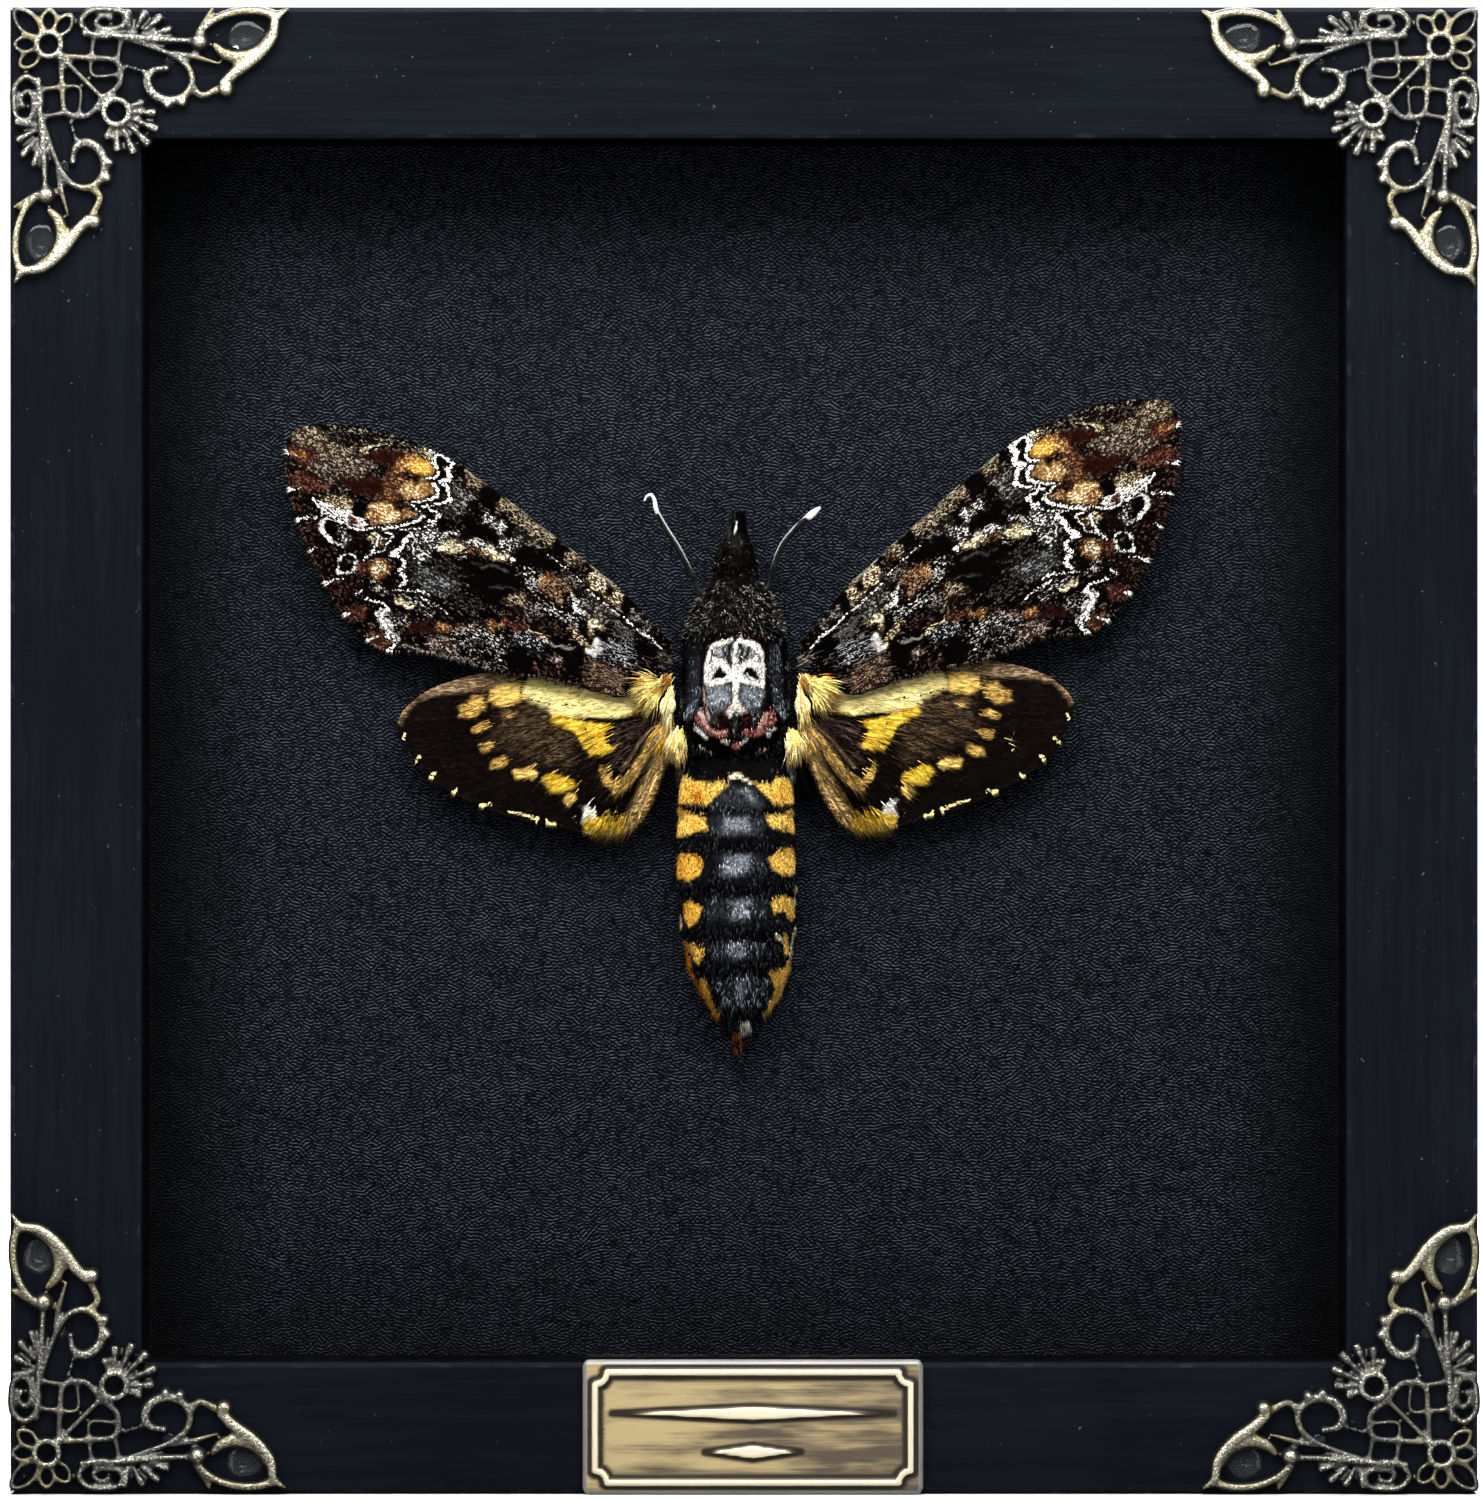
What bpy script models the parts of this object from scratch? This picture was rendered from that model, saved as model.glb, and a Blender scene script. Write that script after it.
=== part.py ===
# Framed hawk moth: a black wooden shadow box standing on its bottom edge, facing -Y.
# Lengths are millimetres until addPiece writes them as metres. X runs right, Y to the
# back, Z up, and the origin is under the middle of the whole object.
import bpy
import bmesh
from math import cos, pi, radians, sin
from mathutils import Vector

mm = 0.001
gap = 0.3                # left between pieces that touch

frameWidth = 198.0
frameHeight = 200.6
frameDepth = 30.0
railWidth = 17.6
outerBevel = 0.6
innerBevel = 0.5
lipDepth = 3.5           # the front lip that hides the edge of the glass
rabbetWidth = 4.0        # how far the lip reaches in past the rabbet
mitreGap = 0.21          # each rail end is this much short of its mitre

glassThickness = 2.0
spacerDepth = 14.2
coverThickness = 0.8
boardThickness = 3.0

plateWidth = 45.9
plateHeight = 18.2
plateThickness = 1.2
plateCorner = 0.9
plateReliefHeight = 0.4
plateCentreX = 1.2
plateRim = 0.5           # bevel round the front of the plate
plateCornerSteps = 3
borderInset = 1.2
borderWidth = 0.95
borderNotch = 1.6
lozenges = ((19.0, 1.9), (6.5, -3.3))       # half length, height over the plate's middle
lozengeHalfHeight = 0.8

castingDetail = 0.62     # share of the union's triangles that the casting keeps

mothX = -1.2             # where the middle of the thorax stands, seen from the front
mothZ = 107.3
wingThickness = 0.5

# Depths, from the front of the frame backwards. The plate stands proud of the front, so
# the frame sits back by half of that and the whole object is centred on Y = 0.
plateProud = gap + plateThickness + plateReliefHeight
faceY = (plateProud - frameDepth) / 2
backY = faceY + frameDepth
glassY = faceY + lipDepth + gap
spacerY = glassY + glassThickness + gap
coverY = spacerY + spacerDepth + gap
boardY = coverY + coverThickness + gap

# Colour, roughness and metallic value of each kind of surface.
finishes = {
    "blackPaint": ((0.012, 0.014, 0.020, 1), 0.55, 0.0),
    "glass": ((0.9, 0.95, 0.95, 1), 0.02, 0.0),
    "blackCard": ((0.008, 0.008, 0.010, 1), 0.8, 0.0),
    "leatherette": ((0.014, 0.017, 0.023, 1), 0.5, 0.0),
    "hardboard": ((0.20, 0.12, 0.065, 1), 0.8, 0.0),
    "oldSilver": ((0.42, 0.40, 0.34, 1), 0.4, 1.0),
    "oldBrass": ((0.40, 0.32, 0.17, 1), 0.38, 1.0),
    "clearGlue": ((0.8, 0.85, 0.85, 1), 0.08, 0.0),
    "bodyFur": ((0.09, 0.07, 0.05, 1), 0.9, 0.0),
    "foreScales": ((0.07, 0.055, 0.04, 1), 0.85, 0.0),
    "hindScales": ((0.45, 0.27, 0.06, 1), 0.85, 0.0),
    "darkHorn": ((0.02, 0.018, 0.016, 1), 0.5, 0.0),
}


def finishFor(kind):
    material = bpy.data.materials.get(kind)
    if material is None:
        colour, roughness, metallic = finishes[kind]
        material = bpy.data.materials.new(kind)
        material.use_nodes = True
        shader = material.node_tree.nodes["Principled BSDF"]
        shader.inputs["Base Color"].default_value = colour
        shader.inputs["Roughness"].default_value = roughness
        shader.inputs["Metallic"].default_value = metallic
        if kind in ("glass", "clearGlue"):
            shader.inputs["Transmission Weight"].default_value = 1.0
            shader.inputs["IOR"].default_value = 1.5
    return material


def addPiece(name, shape, kind, rounded=False):
    # Turns a bmesh in millimetres into a named object in metres.
    bmesh.ops.scale(shape, vec=(mm, mm, mm), verts=shape.verts)
    bmesh.ops.recalc_face_normals(shape, faces=shape.faces)
    mesh = bpy.data.meshes.new(name)
    shape.to_mesh(mesh)
    shape.free()
    piece = bpy.data.objects.new(name, mesh)
    bpy.context.scene.collection.objects.link(piece)
    piece.data.materials.append(finishFor(kind))
    if rounded:
        mesh.shade_smooth()
        mesh.set_sharp_from_angle(angle=radians(40))
    return piece


def addLoft(shape, rings, closed=False):
    # Skins rings of equal point count, capping the two ends unless the row is closed.
    loops = [[shape.verts.new(point) for point in ring] for ring in rings]
    pairs = list(zip(loops, loops[1:]))
    if closed:
        pairs.append((loops[-1], loops[0]))
    for near, far in pairs:
        for i in range(len(near)):
            j = (i + 1) % len(near)
            shape.faces.new((near[i], near[j], far[j], far[i]))
    if not closed:
        shape.faces.new(loops[0][::-1])
        shape.faces.new(loops[-1])


def addSlab(shape, outline, nearY, farY):
    # An outline of (x, z) points made solid between two depths.
    addLoft(shape, [[(x, y, z) for x, z in outline] for y in (nearY, farY)])


def blockOutline(x0, x1, z0, z1):
    return [(x0, z0), (x1, z0), (x1, z1), (x0, z1)]


# Frame
def railSection():
    # (distance in from the outer edge, depth) round one rail, with its lip and rabbet.
    rabbet = railWidth - rabbetWidth
    return [
        (0, faceY + outerBevel),
        (outerBevel, faceY),
        (railWidth - innerBevel, faceY),
        (railWidth, faceY + innerBevel),
        (railWidth, faceY + lipDepth),
        (rabbet, faceY + lipDepth),
        (rabbet, backY),
        (0, backY),
    ]


def addRail(name, side):
    # Rails run between mitred ends; side is bottom, top, left or right.
    halfWidth = frameWidth / 2
    ends = []
    for end in (-1, 1):
        ring = []
        for inward, y in railSection():
            reach = inward + mitreGap
            if side in ("bottom", "top"):
                z = inward if side == "bottom" else frameHeight - inward
                ring.append((end * (halfWidth - reach), y, z))
            else:
                x = inward - halfWidth if side == "left" else halfWidth - inward
                z = reach if end < 0 else frameHeight - reach
                ring.append((x, y, z))
        ends.append(ring)
    shape = bmesh.new()
    addLoft(shape, ends)
    addPiece(name, shape, "blackPaint")


def addPane(name, kind, nearY, thickness):
    # A flat sheet that fills the rabbet, less the gap all round.
    inset = railWidth - rabbetWidth + gap
    shape = bmesh.new()
    addSlab(shape, blockOutline(inset - frameWidth / 2, frameWidth / 2 - inset,
                                inset, frameHeight - inset), nearY, nearY + thickness)
    addPiece(name, shape, kind)


def addSpacers():
    # Four strips in the rabbet hold the glass forward and the board back.
    outer = railWidth - rabbetWidth + gap
    inner = railWidth
    left, right = -frameWidth / 2, frameWidth / 2
    low, high = outer, frameHeight - outer
    strips = {
        "spacer_bottom": (left + outer, right - outer, low, inner),
        "spacer_top": (left + outer, right - outer, frameHeight - inner, high),
        "spacer_left": (left + outer, left + inner, inner + gap, frameHeight - inner - gap),
        "spacer_right": (right - inner, right - outer, inner + gap, frameHeight - inner - gap),
    }
    for name, edges in strips.items():
        shape = bmesh.new()
        addSlab(shape, blockOutline(*edges), spacerY, spacerY + spacerDepth)
        addPiece(name, shape, "blackCard")


# Metal castings
def addBar(shape, points, widths, height, closed=False):
    # A ridged bar on the plane Z = 0 along (u, v) points, flat below and sharp on top.
    count = len(points)
    if not isinstance(widths, (list, tuple)):
        widths = [widths] * count
    rings = []
    for i, (u, v) in enumerate(points):
        before = points[i - 1] if (i or closed) else points[i]
        after = points[(i + 1) % count] if (i < count - 1 or closed) else points[i]
        along = Vector((after[0] - before[0], after[1] - before[1])).normalized()
        half = widths[i] / 2
        across = Vector((-along.y, along.x)) * half
        rings.append([(u + across.x, v + across.y, 0), (u - across.x, v - across.y, 0), (u, v, height)])
    addLoft(shape, rings, closed)


def addBoss(shape, centre, radius, height, sides=6):
    # A low round bump: a frustum on the plane Z = 0.
    rings = []
    for scale, z in ((1.0, 0), (0.55, height)):
        rings.append([(centre[0] + radius * scale * cos(2 * pi * i / sides + 0.3),
                       centre[1] + radius * scale * sin(2 * pi * i / sides + 0.3), z)
                      for i in range(sides)])
    addLoft(shape, rings)


def ringPoints(centre, radius, sides):
    return [(centre[0] + radius * cos(2 * pi * i / sides), centre[1] + radius * sin(2 * pi * i / sides))
            for i in range(sides)]


def petalPoints(centre, degrees, near, far, halfWidth):
    # An almond loop that points away from the centre.
    along = Vector((cos(radians(degrees)), sin(radians(degrees))))
    across = Vector((-along.y, along.x))
    middle = Vector(centre)
    reach = far - near
    shape = ((0, 0), (0.45, 1), (0.8, 0.75), (1, 0), (0.8, -0.75), (0.45, -1))
    return [tuple(middle + along * (near + reach * t) + across * halfWidth * s) for t, s in shape]


cornerFlower = (5.3, 5.3)
fanFlower = (14.4, 14.4)

# Half of the casting, on the upright arm; the other half is its mirror in the diagonal.
# Each stroke is its points, its width at each, and its height.
halfStrokes = [
    # net leaf: edge, bent rib and the two rungs to the stem
    ([(6.9, 6.9), (7.1, 11.0), (7.7, 14.5), (10.4, 14.9), (12.4, 12.8), (12.9, 12.2)], 0.8, 1.0),
    ([(7.1, 11.0), (9.2, 11.0), (9.4, 14.8)], 0.6, 0.8),
    ([(4.6, 15.0), (7.8, 14.5)], 0.7, 0.9),
    ([(4.4, 11.3), (7.2, 11.0)], 0.7, 0.9),
    # stem and its twin up to the ball, and the leaf beside it
    ([(4.3, 9.6), (4.6, 15.6), (4.5, 19.9), (3.8, 25.2)], [0.8, 0.9, 1.0, 0.9], 1.1),
    ([(4.6, 17.0), (5.7, 22.4), (5.3, 25.8)], [0.6, 0.8, 0.7], 1.0),
    ([(5.6, 21.4), (7.0, 25.4), (8.2, 29.2)], [0.5, 1.3, 0.5], 0.9),
    # scroll that curls back on itself, and its beaded link to the leaf
    ([(4.6, 15.4), (5.2, 18.9), (6.7, 22.4), (8.4, 24.1), (10.6, 24.6), (12.3, 23.4), (12.8, 21.3),
      (11.9, 19.3), (10.2, 18.5), (8.9, 19.2), (8.5, 21.0)],
     [0.6, 0.7, 0.8, 0.9, 1.0, 1.1, 1.2, 1.3, 1.3, 1.1, 0.7], 1.1),
    ([(7.9, 14.6), (9.2, 19.2)], 0.75, 0.9),
    # link from the scroll to the rim
    ([(10.6, 24.5), (12.1, 25.6), (11.0, 28.6)], 1.0, 1.0),
    # thick rim of the drop
    ([(11.0, 28.4), (9.2, 30.3), (6.9, 33.4), (4.2, 35.5), (1.7, 36.0), (0.5, 37.7)],
     [1.4, 1.6, 1.6, 1.5, 1.3, 0.6], 1.5),
    # drop: outer side, then the inner crescent
    ([(1.4, 36.0), (0.7, 33.4), (1.0, 29.8), (2.2, 27.3), (3.9, 25.4)], [1.1, 1.0, 1.0, 0.9, 0.9], 1.2),
    ([(1.6, 35.8), (3.8, 35.2), (6.3, 33.2), (7.1, 31.0), (6.6, 28.9), (5.0, 27.3)],
     [0.9, 1.1, 1.3, 1.2, 1.2, 0.6], 1.1),
    ([(0.4, 27.4), (3.9, 25.2)], [0.6, 0.9], 1.0),
    # four fingers at the edge
    ([(4.4, 17.2), (2.0, 22.2)], [0.6, 1.2], 1.1),
    ([(4.4, 17.0), (0.8, 21.0)], [0.6, 1.2], 1.1),
    ([(4.4, 16.8), (0.6, 19.2)], [0.6, 1.1], 1.1),
    ([(4.5, 16.3), (2.6, 17.7), (0.5, 17.4)], [0.7, 0.9, 0.8], 1.0),
    # spiral at the edge
    ([(4.4, 13.6), (3.8, 10.8), (2.3, 9.6), (0.9, 10.6), (0.5, 12.9), (1.1, 15.2), (2.5, 15.5),
      (3.2, 13.4), (2.5, 11.5), (1.6, 12.2), (1.7, 13.8)],
     [0.9, 0.9, 0.9, 0.9, 0.9, 0.8, 0.8, 0.75, 0.7, 0.7, 0.6], 1.1),
]
halfBosses = [
    ((5.3, 26.0), 1.2, 1.6),
    ((11.4, 29.2), 1.15, 1.6),
    ((13.1, 23.3), 0.95, 1.4),
    ((13.5, 21.3), 0.85, 1.4),
]
# The fan's ribs on the diagonal: degrees off it and length from its ring.
fanRibs = ((0, 6.4), (22, 6.3), (44, 5.5), (66, 4.1))
# The corner flower's petals: degrees, reach and half width.
cornerPetals = ((225, 6.6, 1.25), (180, 4.7, 1.0), (270, 4.7, 1.0), (143, 4.9, 1.0), (307, 4.9, 1.0))


def castingShape():
    # Every bar is its own closed body here; they are united afterwards.
    shape = bmesh.new()
    addBar(shape, ringPoints(cornerFlower, 1.65, 10), 0.95, 1.2, closed=True)
    addBar(shape, ringPoints(fanFlower, 1.7, 10), 0.95, 1.3, closed=True)
    addBar(shape, [(6.6, 6.6), (13.3, 13.3)], 0.7, 1.05)
    for degrees, reach, halfWidth in cornerPetals:
        addBar(shape, petalPoints(cornerFlower, degrees, 1.6, reach, halfWidth), 0.6, 0.95, closed=True)
    for turn, reach in fanRibs:
        for side in ((1,) if turn == 0 else (-1, 1)):
            angle = radians(45 + side * turn)
            near, far = [(fanFlower[0] + r * cos(angle), fanFlower[1] + r * sin(angle))
                         for r in (1.6, reach - 0.3)]
            addBar(shape, [near, far], [0.6, 1.5], 1.25)
    for points, widths, height in halfStrokes:
        addBar(shape, points, widths, height)
        addBar(shape, [(v, u) for u, v in points], widths, height)
    for centre, radius, height in halfBosses:
        addBoss(shape, centre, radius, height)
        addBoss(shape, centre[::-1], radius, height)
    bmesh.ops.recalc_face_normals(shape, faces=shape.faces)
    return shape


def unitedMesh(shape):
    # Boolean union of all the bodies in one shape, with one small body as the other operand.
    mesh = bpy.data.meshes.new("unionBars")
    shape.to_mesh(mesh)
    shape.free()
    bars = bpy.data.objects.new("unionBars", mesh)
    hub = bmesh.new()
    addBoss(hub, (6.9, 6.9), 0.8, 1.15)
    bmesh.ops.recalc_face_normals(hub, faces=hub.faces)
    hubMesh = bpy.data.meshes.new("unionHub")
    hub.to_mesh(hubMesh)
    hub.free()
    base = bpy.data.objects.new("unionHub", hubMesh)
    for item in (bars, base):
        bpy.context.scene.collection.objects.link(item)
    union = base.modifiers.new("union", "BOOLEAN")
    union.operation = "UNION"
    union.object = bars
    union.use_self = True
    flats = base.modifiers.new("flats", "DECIMATE")
    flats.decimate_type = "DISSOLVE"
    flats.angle_limit = radians(3)
    slivers = base.modifiers.new("slivers", "DECIMATE")
    slivers.ratio = castingDetail
    depsgraph = bpy.context.evaluated_depsgraph_get()
    united = bpy.data.meshes.new_from_object(base.evaluated_get(depsgraph))
    for item in (bars, base):
        bpy.data.objects.remove(item)
    return united


# Which way each corner faces, and how far by hand its casting was set off from true,
# away from the side edge and away from the top or bottom edge.
corners = {
    "bottom_left": (-1, 0, 1, -0.3, 0.3),
    "bottom_right": (1, 0, 1, -0.3, 0.2),
    "top_left": (-1, 1, -1, 0.0, -0.2),
    "top_right": (1, 1, -1, -0.2, 0.0),
}


def cornerPoint(corner, u, v, height):
    sideX, top, upward, offU, offV = corners[corner]
    return (sideX * (frameWidth / 2 - u - offU), faceY - gap - height,
            top * frameHeight + upward * (v + offV))


def addCastings():
    # One casting, set on each corner with its flat side to the wood.
    united = unitedMesh(castingShape())
    for corner in corners:
        shape = bmesh.new()
        shape.from_mesh(united)
        for vertex in shape.verts:
            vertex.co = cornerPoint(corner, *vertex.co)
        addPiece("corner_" + corner, shape, "oldSilver")


def plateOutline(halfWidth, halfHeight, radius, notched=False):
    # A rectangle round the middle of the plate, its corners rounded or notched inwards.
    points = []
    for quarter, (sideX, sideZ) in enumerate(((1, 1), (-1, 1), (-1, -1), (1, -1))):
        for k in range(plateCornerSteps + 1):
            turn = 90 * k / plateCornerSteps
            if notched:
                angle = radians(90 * quarter + 270 - turn)
                x, z = sideX * halfWidth, sideZ * halfHeight
            else:
                angle = radians(90 * quarter + turn)
                x, z = sideX * (halfWidth - radius), sideZ * (halfHeight - radius)
            points.append((plateCentreX + x + radius * cos(angle), plateHeight / 2 + z + radius * sin(angle)))
    return points


def addPlate():
    # A brass plate with a raised border, notched at its corners, round two raised lozenges.
    nearY = faceY - gap - plateThickness
    frontY, sunkY = nearY - plateReliefHeight, nearY + 0.2
    halfWidth, halfHeight = plateWidth / 2, plateHeight / 2

    edge = plateOutline(halfWidth, halfHeight, plateCorner)
    top = plateOutline(halfWidth - plateRim, halfHeight - plateRim, plateCorner - 0.3)
    shape = bmesh.new()
    addLoft(shape, [[(x, faceY - gap, z) for x, z in edge],
                    [(x, nearY + plateRim, z) for x, z in edge],
                    [(x, nearY, z) for x, z in top]])
    plate = addPiece("name_plate", shape, "oldBrass")

    relief = bmesh.new()
    outer = plateOutline(halfWidth - borderInset, halfHeight - borderInset, borderNotch, notched=True)
    inset = borderInset + borderWidth
    inner = plateOutline(halfWidth - inset, halfHeight - inset, borderNotch, notched=True)
    sections = ((outer, sunkY), (outer, frontY), (inner, frontY), (inner, sunkY))
    border = [[(x, y, z) for x, z in line] for line, y in sections]
    addLoft(relief, border, closed=True)
    for halfLength, z in lozenges:
        middle = plateHeight / 2 + z
        addSlab(relief, [(plateCentreX - halfLength, middle), (plateCentreX, middle - lozengeHalfHeight),
                         (plateCentreX + halfLength, middle), (plateCentreX, middle + lozengeHalfHeight)],
                sunkY, frontY)
    raised = addPiece("plate_relief", relief, "oldBrass")
    raised.hide_render = True
    raised.display_type = "WIRE"
    union = plate.modifiers.new("relief", "BOOLEAN")
    union.operation = "UNION"
    union.object = raised


glueRadii = (1.9, 2.6)
glueProfile = ((1.0, 0), (0.85, 0.45), (0.4, 0.75))      # share of the radius, height
glueSides = 8


def addGlue():
    # A clear dab in each drop of each casting, holding it to the wood.
    for corner in corners:
        for arm in ("side", "end"):
            rings = []
            for scale, height in glueProfile:
                ring = []
                for i in range(glueSides):
                    angle = 2 * pi * i / glueSides
                    u = 4.0 + glueRadii[0] * scale * cos(angle)
                    v = 31.6 + glueRadii[1] * scale * sin(angle)
                    ring.append(cornerPoint(corner, *((u, v) if arm == "side" else (v, u)), height))
                rings.append(ring)
            shape = bmesh.new()
            addLoft(shape, rings)
            addPiece(f"glue_{corner}_{arm}", shape, "clearGlue", rounded=True)


# Moth. Its own coordinates: across to the right, up the body from the middle of the
# thorax, and height off the leatherette towards the viewer.
def mothPoint(across, up, height):
    return (mothX + across, coverY - height, mothZ + up)


# Up the body, middle, half width, underside and top of each section.
bodySections = [
    (26.0, 0.6, 0.7, 5.0, 6.6),
    (22.9, 0.6, 1.3, 4.4, 7.2),
    (21.4, 0.3, 1.5, 3.8, 7.8),
    (20.0, 0.1, 2.7, 2.8, 9.2),
    (18.0, 0.0, 3.2, 1.8, 10.2),
    (16.1, 0.0, 3.3, 1.4, 10.2),
    (14.8, 0.3, 4.4, 1.0, 10.6),
    (12.4, 0.0, 5.6, 0.5, 11.8),
    (9.1, -0.2, 7.1, 0.3, 12.9),
    (6.0, 0.0, 7.6, 0.3, 13.5),
    (0.0, 0.0, 7.9, 0.3, 13.7),
    (-4.2, 0.0, 7.7, 0.3, 13.1),
    (-6.6, 0.0, 7.1, 0.3, 12.0),
    (-8.0, 0.0, 6.6, 0.3, 10.8),
    (-10.6, 0.1, 7.8, 0.3, 11.6),
    (-14.8, 0.1, 8.2, 0.3, 12.1),
    (-15.2, 0.1, 7.9, 0.3, 11.8),
    (-19.7, 0.1, 8.5, 0.3, 12.2),
    (-20.1, 0.1, 8.1, 0.3, 11.8),
    (-25.6, 0.2, 8.5, 0.3, 11.9),
    (-26.0, 0.2, 8.1, 0.3, 11.5),
    (-31.4, 0.4, 8.1, 0.3, 11.0),
    (-31.8, 0.4, 7.7, 0.3, 10.6),
    (-36.6, 0.5, 7.2, 0.4, 9.6),
    (-37.0, 0.6, 6.9, 0.4, 9.3),
    (-40.0, 0.8, 5.6, 0.7, 8.2),
    (-42.9, 0.9, 3.5, 1.3, 6.8),
    (-44.4, 0.8, 1.7, 2.0, 5.6),
    (-46.0, 0.5, 0.8, 2.6, 4.6),
    (-48.4, 0.3, 0.4, 2.9, 3.8),
]
bodySides = 12


def addBody():
    shape = bmesh.new()
    rings = []
    for up, middle, halfWidth, under, top in bodySections:
        ring = []
        for i in range(bodySides):
            angle = 2 * pi * i / bodySides
            height = (under + top) / 2 + (top - under) / 2 * sin(angle)
            ring.append(mothPoint(middle + halfWidth * cos(angle), up, height))
        rings.append(ring)
    addLoft(shape, rings)
    addPiece("moth_body", shape, "bodyFur", rounded=True)


# Along the wing from its root, then its front and hind edges across it.
foreStations = [
    (0.0, -0.6, 5.0), (2.0, -1.3, 8.4), (5.0, -2.2, 9.8), (10.0, -3.8, 11.0), (15.0, -4.6, 12.7),
    (20.0, -5.4, 14.7), (25.0, -6.1, 15.9), (30.0, -6.8, 17.4), (34.5, -7.3, 19.8), (40.0, -7.7, 19.1),
    (45.0, -7.2, 16.8), (50.0, -6.2, 13.3), (54.0, -4.9, 10.1), (57.5, -3.1, 6.6), (59.6, -1.5, 3.6),
    (60.8, -0.2, 1.4),
]
hindStations = [
    (0.2, -1.5, 4.5), (1.7, -2.6, 8.7), (3.2, -3.4, 12.2), (5.2, -4.2, 15.1), (7.4, -5.0, 16.8),
    (9.5, -5.6, 17.5), (14.3, -6.4, 16.8), (18.0, -6.7, 15.3), (22.0, -6.7, 14.2), (26.0, -6.5, 12.4),
    (30.0, -5.9, 10.1), (33.0, -5.1, 7.8), (35.5, -3.7, 5.0), (37.0, -2.4, 2.2), (37.8, -1.0, 0.9),
]
chordSteps = 4

# Each wing: side, root across and up, degrees above level, length against the stations,
# and its form: height off the board at the root, fall per millimetre outwards, and sag.
wings = {
    "forewing_right": (1, 8.87, 6.55, 33.6, 1.0),
    "forewing_left": (-1, 8.6, 6.55, 30.0, 0.985),
    "hindwing_right": (1, 8.46, 0.0, -2.5, 1.0),
    "hindwing_left": (-1, 8.5, 0.2, -7.0, 1.0),
}
wingForms = {"fore": (8.6, 0.03, 0.008), "hind": (6.3, 0.04, 0.006)}


def addWing(name):
    side, rootAcross, rootUp, degrees, size = wings[name]
    kind = name[:4]
    stations = foreStations if kind == "fore" else hindStations
    rise, fall, sag = wingForms[kind]
    along = (cos(radians(degrees)), sin(radians(degrees)))
    rings = []
    for x, front, back in stations:
        faces = []
        for lift in (0, wingThickness):
            line = []
            for k in range(chordSteps + 1):
                y = front + (back - front) * k / chordSteps
                height = rise - fall * x - sag * (y - 4.5) ** 2 - lift
                across = rootAcross + size * (x * along[0] + y * along[1])
                up = rootUp + size * (x * along[1] - y * along[0])
                line.append(mothPoint(side * across, up, height))
            faces.append(line)
        rings.append(faces[0] + faces[1][::-1])
    shape = bmesh.new()
    addLoft(shape, rings)
    addPiece(name, shape, kind + "Scales", rounded=True)


# Thin limbs: across, up, height and radius at each point.
limbs = {
    "antenna_left": [(-4.9, 14.6, 6.4, 0.35), (-6.0, 17.1, 6.6, 0.45), (-7.8, 20.6, 6.9, 0.5),
                     (-9.7, 23.7, 7.0, 0.45), (-10.9, 26.2, 7.0, 0.3), (-11.2, 27.8, 7.0, 0.2),
                     (-11.9, 27.9, 7.0, 0.2), (-12.3, 27.0, 7.0, 0.15)],
    "antenna_right": [(4.9, 14.8, 6.4, 0.35), (5.1, 17.8, 6.6, 0.45), (6.4, 20.9, 6.9, 0.5),
                      (7.9, 22.9, 7.0, 0.5), (10.0, 25.0, 7.0, 0.5), (11.6, 26.2, 7.0, 0.15)],
    "hind_leg_right": [(8.3, -8.6, 3.0, 0.6), (9.3, -10.8, 3.4, 0.55), (10.2, -12.6, 3.0, 0.45),
                       (10.6, -14.0, 2.0, 0.35)],
}
limbSides = 5


def addLimb(name):
    points = limbs[name]
    rings = []
    for i, (across, up, height, radius) in enumerate(points):
        before = Vector(points[max(i - 1, 0)][:3])
        after = Vector(points[min(i + 1, len(points) - 1)][:3])
        along = (after - before).normalized()
        sideways = along.cross(Vector((0, 0, 1))).normalized()
        upright = sideways.cross(along)
        ring = []
        for k in range(limbSides):
            angle = 2 * pi * k / limbSides
            spot = Vector((across, up, height)) + radius * (sideways * cos(angle) + upright * sin(angle))
            ring.append(mothPoint(*spot))
        rings.append(ring)
    shape = bmesh.new()
    addLoft(shape, rings)
    addPiece(name, shape, "darkHorn", rounded=True)


def main():
    for item in list(bpy.data.objects):
        bpy.data.objects.remove(item)
    for side in ("bottom", "top", "left", "right"):
        addRail("rail_" + side, side)
    addPane("glass_pane", "glass", glassY, glassThickness)
    addSpacers()
    addPane("leatherette_cover", "leatherette", coverY, coverThickness)
    addPane("back_board", "hardboard", boardY, boardThickness)
    addCastings()
    addPlate()
    addGlue()
    addBody()
    for name in wings:
        addWing(name)
    for name in limbs:
        addLimb(name)


main()
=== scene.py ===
from math import cos, pi, radians, sin

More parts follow.
